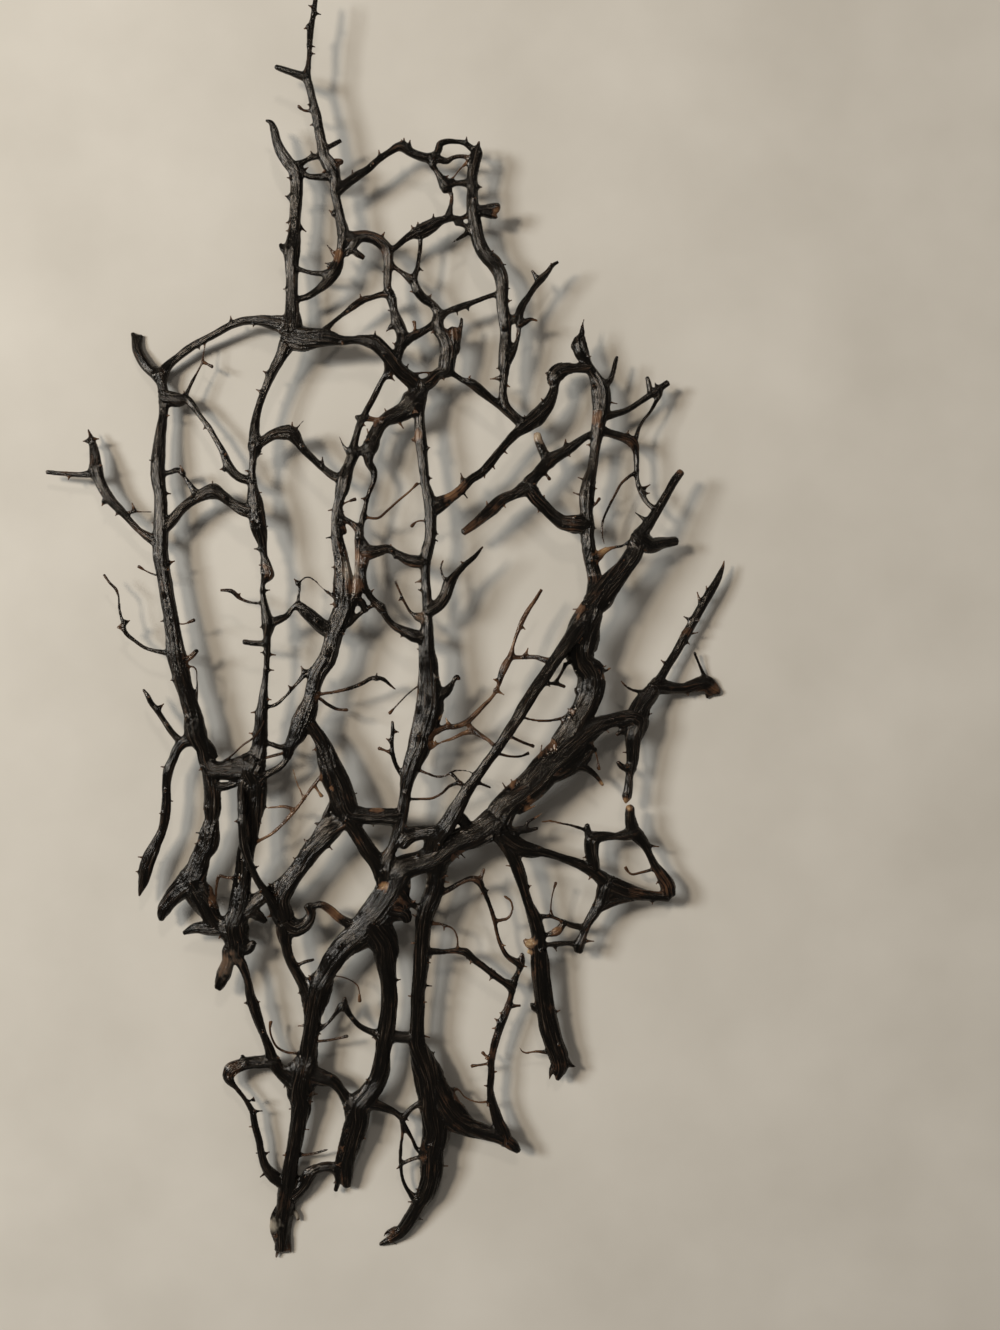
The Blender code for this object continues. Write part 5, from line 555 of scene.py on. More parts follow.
         (520.4, 877.1, 12.8), (524.6, 891.5, 10.6), (529.1, 905.6, 11.1), (534.1, 918.5, 14.4),
         (537.8, 931.9, 14.1), (538.9, 946.1, 15), (539.8, 962.1, 20.1), (541.6, 980.2, 19.2),
         (544, 1000.3, 20.2), (547.9, 1020.4, 20.4), (552.5, 1038.3, 19.7), (558.1, 1055.2, 20.4),
         (560.5, 1068, 15.6), (557.2, 1080.1, 4.6)],
        [(537, 942.2, 10.8), (529.1, 943.4, 10.3), (524, 939.9, 5.1)],
        [(531.6, 946.3, 4.6), (527.9, 953.5, 3.9)],
        [(545, 1011, 7.7), (534, 1008, 7.5), (531, 1003, 3.8)],
        [(555, 1050.6, 6.5), (548, 1052, 5.4), (536, 1051.6, 3), (523, 1052.1, 2.4), (519, 1047, 1.6)],
    ],
    "middle_limb": [
        [(371.7, 925.1, 34.6), (384.6, 945.1, 30.9), (385.9, 960, 22.3), (388.5, 980, 17),
         (389.5, 1000, 17), (388.1, 1018, 17.4), (385.5, 1036.1, 19.4), (383.2, 1052.3, 15.4),
         (381, 1069, 18.5), (376, 1083, 19.5), (367, 1096, 23), (358, 1106, 28), (357.3, 1120, 25.5),
         (353.8, 1134, 24), (349.8, 1148, 21), (347, 1162, 16), (346.8, 1175, 13), (346.7, 1187, 8.5)],
        [(352.3, 1112.1, 6.1), (346, 1122.3, 4.1), (342.4, 1136.3, 3.7), (338.8, 1152.2, 4.3),
         (336.4, 1168, 6.6)],
        [(311.3, 1030.5, 8.2), (317.9, 1029.3, 6.9), (327.3, 1023.5, 3.5), (335.8, 1013.5, 4.6),
         (342.8, 1005.8, 9.3), (350.1, 1015.3, 6.4), (358.2, 1024.8, 6), (368.8, 1030.9, 6.5),
         (385.2, 1035.5, 9.6)],
        [(344.4, 1006.2, 9.1), (344.9, 997, 4.2)],
        [(303, 1071, 18), (311.4, 1073.7, 19.6), (322.1, 1077.4, 18.2), (333, 1081.5, 12.3),
         (341.1, 1090.6, 10.2), (348, 1100.7, 13.3), (355.5, 1107.4, 24.7)],
        [(358, 1103.7, 14.5), (373.8, 1104.3, 12.6), (385.6, 1108, 9.4), (395.6, 1112.5, 6.8),
         (402.3, 1117.4, 7.4), (410.4, 1109.3, 6.1), (420, 1103.2, 6.6), (430, 1100, 7)],
        [(402.1, 1116, 6.6), (402.5, 1133.1, 3.7), (400.6, 1150, 3.9), (400.8, 1165.9, 4.5),
         (403, 1180.1, 3.8), (408.6, 1191.3, 4.8), (415.7, 1198.1, 9.5), (424, 1193.8, 8.2)],
        [(402.2, 1120.4, 5.6), (411.4, 1137.4, 4.1), (420.7, 1152.2, 4.8), (430.9, 1154.1, 4.1)],
        [(400.5, 1164.3, 4.8), (411.5, 1159.2, 4.8), (421.2, 1156.5, 4.2)],
        [(287.6, 1198.6, 15.4), (297.4, 1191.2, 14.9), (304.8, 1182.5, 15.1), (310.7, 1173, 13.6),
         (318.2, 1168.4, 9.1), (327.2, 1166.8, 10.9), (335.6, 1168.9, 12.8), (338.1, 1178.2, 6.7),
         (335.5, 1191.1, 4.8)],
    ],
    "lower_right_limb": [
        [(442.2, 845.8, 13), (438.6, 865.8, 18.9), (436.1, 879.8, 18.8), (432.7, 895, 18.6),
         (426.5, 909.8, 19.4), (423.2, 925.9, 16.1), (422.1, 941.9, 15.4), (421, 958, 16.6),
         (420.1, 975, 14.3), (418.1, 992, 13.9), (417.5, 1010, 13.6), (416.9, 1028, 14),
         (417.2, 1043.8, 17), (422.7, 1059.3, 24), (428.4, 1077.4, 30.3), (431.3, 1095.8, 28.6),
         (433.2, 1114, 25.5), (436, 1132, 29), (432.3, 1150, 25), (431.8, 1166, 24), (430.1, 1180.6, 20.8),
         (425.9, 1193.7, 18.5), (418.3, 1205.7, 15.3), (411.3, 1217.9, 14.7), (403.3, 1229.2, 13.7),
         (393, 1238.1, 9.4), (379.5, 1244.6, 3.8)],
        [(386, 1036, 14), (398, 1037, 12), (416, 1038, 11)],
    ],
    "lower_spur": [
        [(431.4, 1077.2, 22.8), (441.3, 1097.2, 29.2), (454.3, 1116.7, 30.4), (469.9, 1127.2, 20),
         (484.9, 1132.4, 15.4), (499.7, 1137.1, 15.3), (512, 1144.5, 12.6), (518.9, 1151.9, 6.2)],
        [(505.4, 1139.9, 14.8), (503.4, 1132.9, 15.1), (497.7, 1120.1, 12.3), (493.8, 1107.1, 9.2),
         (490.4, 1092, 7.9), (491.3, 1075, 7.5), (492, 1060, 7.2), (494.7, 1044.2, 8.1),
         (499.6, 1028.5, 8.6), (505.7, 1012.7, 8), (510.6, 998.3, 6.7), (513.3, 986.1, 7.2),
         (517.7, 974.2, 5.5), (521.6, 962.1, 7.6), (522.2, 953, 4.2)],
        [(491, 1061, 3), (482, 1052, 2.5)],
        [(491, 1063, 3), (480, 1065, 2.5), (471, 1066, 2)],
        [(493, 1101, 2.5), (477, 1102, 1.8), (465, 1097, 1.6), (457, 1089, 1.6), (451, 1089, 2)],
        [(505, 1008.4, 4.9), (509.2, 1006.8, 5.8), (521.1, 1005.6, 3.4)],
        [(513.3, 987.6, 12.6), (503.4, 981.7, 7.6), (493, 974.2, 7.8), (483, 966.2, 7.1),
         (473.1, 958.8, 7.7), (465.2, 951.8, 9.2), (455.7, 950.8, 5.9), (443, 951.7, 5.6),
         (421, 950.7, 9.1)],
        [(468.4, 952, 4.5), (468.3, 959, 5)],
        [(457.4, 950.1, 4), (457.3, 938.2, 2.9), (453.4, 929.3, 2.8), (445.8, 925.3, 2.5),
         (434, 923.3, 4.5), (425, 922.1, 5.4)],
        [(438.6, 894.2, 7.5), (450.2, 888.6, 6.5), (461.2, 882.2, 5.4), (472.3, 878.5, 6.5),
         (478.6, 880.9, 8.6), (484, 891.4, 5.4), (489.4, 904.3, 4.1), (494, 918.3, 4.9),
         (496.6, 931.4, 4.2), (500.7, 944.8, 4.7), (507.5, 956.3, 5.8), (520, 964, 9)],
        [(479.4, 882.1, 5), (484.3, 868.1, 3.4)],
        [(496.5, 920.9, 4), (508.4, 917.8, 3.2), (512.5, 908.6, 2.6), (510.6, 900.9, 3.1),
         (503.9, 895.9, 3.4)],
    ],
}

# Thorns and broken stubs too short to be limbs: root x and y, then tip x and y, in the same pixels.
THORNS = [
    (314, 13, 321, 14), (308, 27, 304, 29), (309, 46, 315, 46), (315, 124, 310, 125), (334, 214, 329, 210),
    (336, 256, 327, 245), (332, 265, 325, 263), (299, 226, 306, 232), (289, 197, 285, 196),
    (290, 222, 286, 223), (303, 171, 308, 167), (313, 156, 311, 151), (404, 144, 404, 138),
    (409, 146, 410, 140), (380, 158, 379, 150), (353, 178, 352, 170), (466, 143, 467, 137),
    (433, 221, 434, 214), (418, 227, 418, 222), (478, 187, 482, 187), (503, 288, 510, 288),
    (501, 378, 490, 379), (504, 384, 510, 387), (497, 264, 506, 264), (492, 260, 501, 259),
    (386, 272, 382, 272), (415, 292, 410, 291), (456, 308, 458, 315), (362, 301, 360, 294),
    (393, 311, 388, 310), (391, 327, 386, 331), (390, 377, 395, 380), (375, 338, 375, 331),
    (268, 374, 263, 371), (232, 323, 230, 316), (185, 396, 184, 391), (224, 469, 220, 469),
    (164, 493, 171, 494), (168, 563, 175, 562), (88, 441, 83, 441), (93, 439, 99, 439), (104, 502, 102, 506),
    (134, 511, 133, 503), (183, 473, 181, 465), (214, 491, 212, 481), (124, 629, 117, 628),
    (126, 622, 130, 621), (159, 708, 164, 704), (168, 768, 161, 766), (165, 800, 173, 801),
    (148, 858, 138, 857), (206, 834, 196, 832), (252, 456, 262, 453), (254, 493, 262, 493),
    (262, 528, 268, 526), (261, 549, 254, 549), (264, 566, 259, 565), (262, 591, 270, 590),
    (267, 654, 276, 655), (266, 670, 274, 670), (259, 712, 251, 712), (261, 742, 274, 742),
    (298, 583, 294, 579), (304, 672, 301, 666), (292, 431, 292, 422), (322, 466, 323, 457),
    (337, 509, 328, 510), (336, 537, 326, 537), (341, 594, 333, 594), (376, 679, 377, 673),
    (389, 416, 384, 409), (396, 418, 404, 428), (371, 440, 366, 429), (396, 556, 391, 544),
    (431, 538, 438, 541), (425, 580, 415, 582), (426, 652, 417, 649), (391, 741, 386, 739),
    (449, 726, 446, 718), (525, 657, 528, 648), (496, 690, 504, 695), (463, 481, 461, 473),
    (461, 488, 466, 499), (484, 472, 485, 478), (491, 463, 495, 469), (502, 449, 507, 454),
    (603, 399, 616, 406), (589, 482, 578, 477), (588, 496, 573, 495), (642, 490, 650, 484),
    (566, 446, 565, 439), (488, 509, 487, 501), (544, 502, 544, 495), (647, 521, 635, 513),
    (588, 610, 573, 608), (578, 690, 596, 684), (553, 757, 553, 744), (540, 762, 541, 745),
    (510, 797, 504, 782), (684, 634, 698, 634), (691, 621, 684, 616), (701, 605, 697, 592),
    (708, 593, 706, 586), (633, 752, 623, 753), (646, 845, 659, 847), (583, 941, 594, 941),
    (516, 866, 506, 866), (455, 848, 465, 858), (309, 1025, 298, 1026), (300, 1102, 313, 1102),
    (295, 1129, 309, 1129), (298, 1108, 289, 1109), (285, 1240, 276, 1257), (248, 1003, 244, 1003),
    (253, 1100, 254, 1097), (252, 1112, 262, 1110), (256, 1126, 249, 1127), (262, 1152, 256, 1153),
    (268, 1171, 260, 1177), (285, 1075, 285, 1088), (353, 1130, 342, 1129), (420, 985, 432, 986),
    (417, 997, 408, 996), (422, 943, 411, 943), (437, 880, 449, 883), (416, 1034, 430, 1037),
    (430, 1165, 448, 1167), (418, 1202, 408, 1202), (396, 1230, 390, 1232), (499, 1022, 495, 1018),
    (498, 1028, 492, 1028), (492, 1072, 497, 1072), (490, 1086, 484, 1086), (520, 965, 527, 967),
    (516, 976, 511, 979), (492, 971, 491, 968), (485, 890, 481, 894),
]

# How the skin is ribbed and filled, in metres where they are lengths.
LOWEST = 0.00005
BROAD_KNOBS = 0.07
FINE_KNOBS = 0.10
KNOB_LENGTH = 0.0045
BROAD_SIDES = 16
FINE_SIDES = 8
FINER_SIDES = 6
THORN_WIDTH = 0.0020
STRAY_LEAST_WIDTH = 0.0020
STRAY_STEPS = (12, 34)
STRAY_LENGTHS = (0.0008, 0.0018)
STRAY_WIDTH = 0.0013
STRAY_LEAN = 0.5
STRAY_TURN = 2.0
THORN_BEND = 0.22
ROOT_SAMPLES = 5
ROOT_FLARE = 1.7
NEAR_SAMPLES = 10
FILL_TURNS = 30
FILL_SHARE = 0.9
EVEN_SHARE = 0.3
WEAR_TURNS = 3
WEAR_SHARE = 0.5
NORMAL_TURNS = 6
BORDER_TURNS = 4
RIB_SPACING = 0.00085
RIB_LENGTH = 0.022
RIB_SHARE = 0.055
RIB_HEIGHTS = (0.00003, 0.00034)
LUMP_HEIGHT = 0.00007
LUMP_LENGTH = 0.0035
SWAY = 0.0003
SWAY_LENGTH = 0.012

# The skin's grain: a place round a limb, a place along it, and a step that sets the limbs apart.
LIMB_STEP = 0.013
FINE_STEP = 0.017
FINE_TURN = 0.0004

# What each vertex of a piece carries, as columns of one table.
PLACE = slice(0, 3)
FACING = slice(3, 6)
GRAIN = slice(6, 9)
BROWN = 9

# Colours: near-black skin whose palest streaks are painted highlights, and browns from a dark stain to raw
# golden fibre.
# The last stops are pale painted highlights, not the skin's own colour.
BLACK_AND_HIGHLIGHT_STOPS = [
    (0.34, (0.0008, 0.0007, 0.0006)), (0.51, (0.0030, 0.0024, 0.0018)), (0.57, (0.0120, 0.0080, 0.0052)),
    (0.62, (0.0380, 0.0270, 0.0190)), (0.70, (0.1400, 0.1150, 0.0900)),
]
BROWN_STOPS = [
    (0.10, (0.014, 0.009, 0.006)), (0.35, (0.058, 0.028, 0.015)), (0.60, (0.140, 0.070, 0.034)),
    (0.80, (0.270, 0.155, 0.072)), (1.0, (0.520, 0.360, 0.190)),
]
COVER_STOPS = [(0.14, (0.0, 0.0, 0.0)), (0.34, (1.0, 1.0, 1.0))]
PALE = (0.42, 0.36, 0.28, 1.0)
ROUGHNESS = (0.07, 0.22)
ROUGHNESS_STREAKS = (0.38, 0.64)
SPECULAR = 0.32
SPECULAR_TINT = (1.0, 0.90, 0.80, 1.0)
BUMP_DISTANCE = 0.00018
FIBRE_SCALE = (2600.0, 170.0, 900.0)
STREAK_SCALE = (900.0, 60.0, 700.0)
PATCH_SCALE = 130.0
SPECK_SCALE = 1500.0

# Growth thinner than the first width turns brown, fully so when it is thinner by the second.
BROWN_WIDTH = 0.0024
BROWN_RANGE = 0.0020
THIN_BROWN = 0.40
BROWN_TWIGS = ("centre_spray", "left_tangle", "lower_spur")
BROWNER_PIECES = {
    "centre_spray": 0.30, "left_tangle": 0.30, "inner_strand": 0.05, "lower_spur": 0.12, "hanging_limb": 0.04,
    "right_fork": 0.06, "crown_arch": 0.05, "left_tip": 0.06,
}

# How ragged the edge of a tint is, and how far apart its tatters stand.
RAGGED = 0.45
RAGGED_LENGTH = 0.0013

# Places where the skin is torn, peeled or raw: x, y and reach in pixels, how brown and how pale.
TINTS = [
    (350, 530, 10, 0.31, 0.0), (352, 555, 12, 0.35, 0.0), (355, 585, 12, 0.31, 0.0),
    (398, 905, 7, 0.3, 0.0), (383, 886, 5, 0.8, 0.0), (417, 884, 6, 1.0, 0.7), (276, 1257, 7, 0.47, 0.0),
    (290, 1255, 7, 0.47, 0.0), (529, 943, 6, 0.95, 0.1), (528, 952, 4, 0.9, 0.1), (611, 666, 5, 0.85, 0.0),
    (614, 679, 6, 0.8, 0.0), (556, 931, 6, 0.6, 0.0), (627, 803, 7, 0.8, 0.0), (604, 785, 7, 0.8, 0.0),
    (578, 609, 7, 0.58, 0.0), (376, 806, 6, 0.55, 0.0), (451, 494, 8, 0.55, 0.0), (595, 420, 7, 0.55, 0.0),
    (417, 434, 7, 0.51, 0.0), (336, 255, 7, 0.47, 0.0), (538, 434, 6, 0.85, 0.5), (500, 213, 8, 0.51, 0.0),
    (562, 1068, 8, 0.25, 0.0), (557, 1080, 7, 0.3, 0.0), (272, 573, 8, 0.37, 0.0),
    (340, 162, 8, 0.35, 0.0), (190, 654, 8, 0.35, 0.0), (459, 335, 9, 0.3, 0.0), (224, 965, 12, 0.35, 0.1),
    (332, 914, 13, 0.39, 0.0), (374, 419, 8, 0.39, 0.0), (680, 470, 5, 0.39, 0.0),
    (468, 525, 10, 0.27, 0.0), (607, 553, 12, 0.72, 0.0), (608, 677, 6, 0.55, 0.0),
    (688, 632, 6, 0.39, 0.0), (716, 688, 7, 0.3, 0.0), (460, 488, 8, 0.25, 0.0), (421, 618, 6, 0.28, 0.1),
    (272, 1225, 6, 0.16, 0.6), (655, 880, 26, 0.16, 0.0), (600, 915, 22, 0.16, 0.0),
    (590, 940, 12, 0.3, 0.0), (500, 975, 24, 0.14, 0.0), (470, 880, 18, 0.2, 0.0),
    (233, 1068, 12, 0.3, 0.0), (244, 1110, 30, 0.12, 0.0), (395, 1225, 14, 0.22, 0.0),
    (345, 1190, 14, 0.14, 0.0), (690, 690, 22, 0.1, 0.0), (355, 560, 26, 0.2, 0.0),
    (480, 510, 26, 0.2, 0.0), (640, 440, 24, 0.14, 0.0), (395, 260, 30, 0.1, 0.0),
    (380, 290, 26, 0.12, 0.0), (530, 600, 40, 0.1, 0.0), (533, 808, 9, 0.7, 0.0), (540, 812, 8, 0.7, 0.0),
    (270, 1225, 6, 0.1, 0.75), (298, 1215, 4, 0.1, 0.65), (350, 570, 9, 0.2, 0.3),
]

# Twigs and torn fibres that are too fine for the solids, as centreline points: x, y and width in pixels.
TWIGS = {
    "cross_arm": [[(443, 371, 3), (436, 372, 2.5), (424, 373, 2.5), (410, 375, 4)]],
    "long_diagonal": [[(455, 812, 12), (463, 820, 12), (470, 830, 12)]],
    "inner_trunk": [
        [(356, 596, 6), (362, 603, 9), (366, 612, 6)], [(338, 524, 8), (343, 528, 7), (345, 534, 4)],
    ],
    "lower_left_limb": [[(249, 912, 8), (258, 916, 12), (266, 922, 6)]],
    "crown_right_limb": [[(482, 212, 8), (490, 215, 7), (497, 217, 5)]],
    "crown_link": [[(455, 224, 5), (461, 224, 6), (468, 228, 5)]],
    "crown_centre_limb": [
        [(352, 250, 7), (358, 254, 8), (364, 258, 5)], [(452, 328, 10), (454, 342, 14), (452, 352, 10)],
    ],
    "left_trunk": [[(206, 742, 10), (212, 750, 9), (216, 758, 5)]],
    "stem": [
        [(396, 912, 18), (404, 914, 16), (408, 922, 8)],
        [(280, 1236, 6), (278, 1248, 4), (275, 1258, 1)], [(285, 1238, 7), (284, 1248, 4), (284, 1254, 1)],
        [(288, 1236, 6), (290, 1247, 3.5), (292, 1256, 1)], [(282, 1240, 3), (280, 1252, 1)],
        [(277, 1206, 3), (273, 1216, 5), (272, 1230, 5), (275, 1242, 3)],
        [(292, 1208, 3), (297, 1214, 3.5), (298, 1220, 2)],
        [(404, 893, 3.5), (397, 897, 3.5), (392, 905, 3.5), (396, 913, 3.5), (404, 912, 3.5), (407, 904, 3)],
    ],
    "lower_right_limb": [
        [(398, 1232, 6), (388, 1238, 3), (380, 1245, 1)], [(396, 1228, 5), (386, 1233, 3), (383, 1238, 1)],
    ],
    "right_lower_limb": [
        [(630, 728, 8), (621, 732, 7), (616, 735, 4)], [(518, 813, 5), (530, 808, 3), (540, 803, 1)],
        [(526, 823, 4), (538, 816, 2.5), (546, 810, 1)], [(555, 1062, 9), (551, 1072, 5), (549, 1081, 1)],
        [(566, 1060, 8), (573, 1066, 4), (577, 1066, 1)], [(560, 1066, 7), (561, 1074, 3), (558, 1080, 1)],
    ],
}

# The room: a pale surface, and soft lights mostly from the upper left.
FLOOR_REACH = 4.0
FLOOR_STOPS = [(0.30, (0.595, 0.545, 0.472)), (0.70, (0.680, 0.627, 0.550))]
ROOM_COLOUR = (1.0, 0.97, 0.93, 1.0)
ROOM_STRENGTH = 0.12
LIGHTS = [
    ("window", (-0.95, 0.45, 1.45), 0.28, 13.6, (1.0, 0.90, 0.76)),
    ("second_window", (-1.30, 0.30, 1.15), 0.40, 17.5, (0.90, 0.96, 1.0)),
    ("lamp", (0.20, 1.20, 1.60), 0.20, 3.2, (1.0, 0.95, 0.88)),
]


def bowed_sheet(marks):
    """A thin plate spline through the marks: a function from places in pixels to heights in millimetres."""
    marks = np.array(marks, float)
    reach = marks[:, :2].max()
    knots = marks[:, :2] / reach

    def bend(places):
        away = np.linalg.norm(places[:, None] - knots[None], axis=2)
        return away**2 * np.log(np.maximum(away, 1e-9))

    plane = np.column_stack([np.ones(len(knots)), knots])
    system = np.block([[bend(knots), plane], [plane.T, np.zeros((3, 3))]])
    weights = np.linalg.solve(system, np.concatenate([marks[:, 2], np.zeros(3)]))

    def height(places):
        places = places / reach
        return bend(places) @ weights[:-3] + weights[-3] + places @ weights[-2:]

    return height


def depth_of(width):
    """Vertical thickness of a limb this wide: round when thin, and flattened where it is broad."""
    return DEEPEST_LIMB * (1 - np.exp(-width / DEEPEST_LIMB))


def in_metres(places, heights):
    """Places in the photograph, brought back along the lines of sight to their own heights."""
    scale = PIXEL * (EYE_HEIGHT - heights) / (EYE_HEIGHT - READING_HEIGHT)
    x = (places[:, 0] - PHOTO_CENTRE[0]) * scale + EYE_X
    y = (PHOTO_CENTRE[1] - places[:, 1]) * scale + EYE_Y
    return np.column_stack([x, y, heights])


def in_pixels(points):
    """Where points of the model are seen in the photograph."""
    scale = PIXEL * (EYE_HEIGHT - points[:, 2]) / (EYE_HEIGHT - READING_HEIGHT)
    x = (points[:, 0] - EYE_X) / scale + PHOTO_CENTRE[0]
    y = PHOTO_CENTRE[1] - (points[:, 1] - EYE_Y) / scale
    return np.column_stack([x, y])


def smooth_noise(places, seed):
    """Smooth noise between -1 and 1, from random numbers on a lattice of whole numbers."""
    lattice = np.random.default_rng(seed).uniform(-1, 1, (64, 64, 64))
    cell = np.floor(places).astype(int)
    part = places - cell
    part = part * part * (3 - 2 * part)
    total = np.zeros(len(places))
    for corner in range(8):
        step = np.array([corner & 1, corner >> 1 & 1, corner >> 2 & 1])
        share = np.prod(np.where(step, part, 1 - part), axis=1)
        at = (cell + step) % 64
        total += share * lattice[at[:, 0], at[:, 1], at[:, 2]]
    return total


def smooth_route(route):
    """Close samples of a smooth curve through the route's points: places, widths and lifts."""
    rows = np.array([point[:3] for point in route], float)
    along = np.concatenate([[0], np.cumsum(np.hypot(*np.diff(rows[:, :2], axis=0).T))])
    count = max(3, round(along[-1] * PIXEL / SAMPLE_STEP))
    steps = np.linspace(0, along[-1], count + 1)
    runs = np.diff(along)
    slopes = np.diff(rows[:, :2], axis=0) / runs[:, None]
    tangents = np.vstack([slopes[:1], slopes[-1:]])
    if len(rows) > 2:
        before, after = runs[:-1, None], runs[1:, None]
        inner = (slopes[:-1] * after + slopes[1:] * before) / (before + after)
        tangents = np.vstack([slopes[:1], inner, slopes[-1:]])
    at = np.clip(np.searchsorted(along, steps, side="right") - 1, 0, len(runs) - 1)
    run = runs[at, None]
    t = (steps - along[at])[:, None] / run
    start, end = rows[at, :2], rows[at + 1, :2]
    places = (
        (2 * t**3 - 3 * t**2 + 1) * start
        + (t**3 - 2 * t**2 + t) * run * tangents[at]
        + (3 * t**2 - 2 * t**3) * end
        + (t**3 - t**2) * run * tangents[at + 1]
    )
    lifts = [(spot, point[3]) for spot, point in zip(along, route) if len(point) > 3] or [(0, 0)]
    lift = np.interp(steps, [spot for spot, _ in lifts], [rise for _, rise in lifts])
    return places, np.interp(steps, along, rows[:, 2]), lift


def directions(points):
    """Unit directions along a line of points."""
    steps = np.gradient(points, axis=0)
    return steps / np.linalg.norm(steps, axis=1)[:, None]


def across_and_up(headings):
    """The level direction square to each heading, and the direction square to both."""
    across = np.column_stack([-headings[:, 1], headings[:, 0], np.zeros(len(headings))])
    across /= np.maximum(np.linalg.norm(across, axis=1), 1e-9)[:, None]
    return across, np.cross(headings, across)


class Limb:
    """One limb or thorn: close samples of its middle and its width, and the piece that it belongs to."""

    def __init__(self, piece, points, width):
        self.piece = piece
        self.points = points
        self.width = width

    def settle(self, earlier):
        """Bring each end to the height of the limb that it grows from."""
        for end in (0, -1):
            best = ROOT_REACH
            rise = 0.0
            for other in earlier:
                away = np.hypot(*(other.points[:, :2] - self.points[end, :2]).T) - other.width / 2
                near = int(np.argmin(away))
                if away[near] < best:
                    best = away[near]
                    rise = other.points[near, 2] - self.points[end, 2]
            run = np.hypot(*(self.points[:, :2] - self.points[end, :2]).T)
            self.points[:, 2] += rise * np.clip(1 - run / SETTLE_LENGTH, 0, 1)


def tube(points, widths, depths, sides, knobs=0.0):
    """Vertices and faces of a closed tube with domed ends."""
    headings = directions(points)
    across, ups = across_and_up(headings)
    angles = np.arange(sides) * math.tau / sides
    rings = (
        points[:, None]
        + across[:, None] * (np.cos(angles)[:, None] * widths[:, None, None] / 2)
        + ups[:, None] * (np.sin(angles)[:, None] * depths[:, None, None] / 2)
    )
    if knobs:
        out = rings - points[:, None]
        shift = smooth_noise(rings.reshape(-1, 3) / KNOB_LENGTH, 5).reshape(rings.shape[:2])
        rings = rings + out * (knobs * shift)[:, :, None]
    tips = [points[0] - headings[0] * widths[0] * 0.2, points[-1] + headings[-1] * widths[-1] * 0.2]
    vertices = np.vstack([rings.reshape(-1, 3), tips])
    vertices[:, 2] = np.maximum(vertices[:, 2], LOWEST)
    last = (len(points) - 1) * sides
    start, end = last + sides, last + sides + 1
    faces = []
    for turn in range(sides):
        follow = (turn + 1) % sides
        faces.append((start, follow, turn))
        faces.append((end, last + turn, last + follow))
    grid = np.arange(last).reshape(-1, sides)
    follow = np.roll(grid, -1, axis=1)
    quads = np.stack([grid, follow, follow + sides, grid + sides], axis=2).reshape(-1, 4)
    return vertices, faces + [tuple(quad) for quad in quads.tolist()]


def grow_limbs():
    """Every limb, each piece's main limb before any side limb, so that side limbs find what they join."""
    sheet = bowed_sheet(HEIGHT_MARKS)
    mains = [(piece, routes[0]) for piece, routes in LIMBS.items()]
    sides = [(piece, route) for piece, routes in LIMBS.items() for route in routes[1:]]
    sides += [(piece, route) for piece, routes in TWIGS.items() for route in routes]
    limbs = []
    for piece, route in mains + sides:
        places, width, lift = smooth_route(route)
        limb = Limb(piece, in_metres(places, (sheet(places) + lift) / 1000), width * PIXEL)
        limb.settle(limbs)
        limbs.append(limb)
    return limbs


def thorn_on(limb, points, width, share):
    """A thorn of a limb, which tapers as its share of its length goes from nought to one."""
    return Limb(limb.piece, points, width * (1.03 - share[:, 0]) ** 0.9)


def grow_thorns(limbs):
    """Thorns as short tapering limbs that start inside the limb that they grow on."""
    thorns = []
    for spot in THORNS:
        places = np.array(spot, float).reshape(2, 2)
        root = in_metres(places, np.full(2, READING_HEIGHT))[0]
        gaps = [np.hypot(*(limb.points[:, :2] - root[:2]).T) - limb.width / 2 for limb in limbs]
        nearest = int(np.argmin([gap.min() for gap in gaps]))
        limb = limbs[nearest]
        height = limb.points[int(np.argmin(gaps[nearest])), 2]
        root, tip = in_metres(places, np.full(2, height))
        reach = tip - root
        share = np.linspace(-0.15, 1.0, 9)[:, None]
        bend = smooth_noise(np.array([[spot[0] / 7, spot[1] / 7, 0.5]]), 11)[0]
        sideways = np.array([-reach[1], reach[0], 0.6 * np.linalg.norm(reach)]) * bend * THORN_BEND
        thorns.append(thorn_on(limb, root + reach * share + sideways * share**2, THORN_WIDTH, share))
    return thorns


def grow_stray_thorns(limbs):
    """Short thorns all round the broader limbs, which the photograph shows only as specks."""
    chance = np.random.default_rng(12)
    ceiling = cad_box[1][2]
    share = np.linspace(0.0, 1.0, 7)[:, None]
    thorns = []
    for limb in limbs:
        if limb.width.max() < STRAY_LEAST_WIDTH:
            continue
        headings = directions(limb.points)
        across, ups = across_and_up(headings)
        at = int(chance.integers(*STRAY_STEPS))
        while at < len(limb.points) - 4:
            angle = chance.uniform(-STRAY_TURN, STRAY_TURN)
            width = limb.width[at]
            out = across[at] * math.sin(angle) * width / 2 + ups[at] * math.cos(angle) * depth_of(width) / 2
            lean = out / np.linalg.norm(out) + headings[at] * chance.uniform(-STRAY_LEAN, STRAY_LEAN)
            tip = out + lean * chance.uniform(*STRAY_LENGTHS)
            points = limb.points[at] + out * 0.55 * (1 - share) + tip * share
            points[:, 2] = np.minimum(points[:, 2], ceiling)
            thorns.append(thorn_on(limb, points, STRAY_WIDTH, share))
            at += int(chance.integers(*STRAY_STEPS))
    return thorns


def mesh_object(name, vertices, faces):
    mesh = bpy.data.meshes.new(name)
    mesh.from_pydata(vertices.tolist(), [], faces)
    piece = bpy.data.objects.new(name, mesh)
    bpy.context.scene.collection.objects.link(piece)
    return piece


def joined(shapes):
    """Vertices and faces of several shapes as one."""
    vertices = np.vstack([shape[0] for shape in shapes])
    faces = []
    first = 0
    for points, own in shapes:
        faces += [tuple(corner + first for corner in face) for face in own]
        first += len(points)
    return vertices, faces


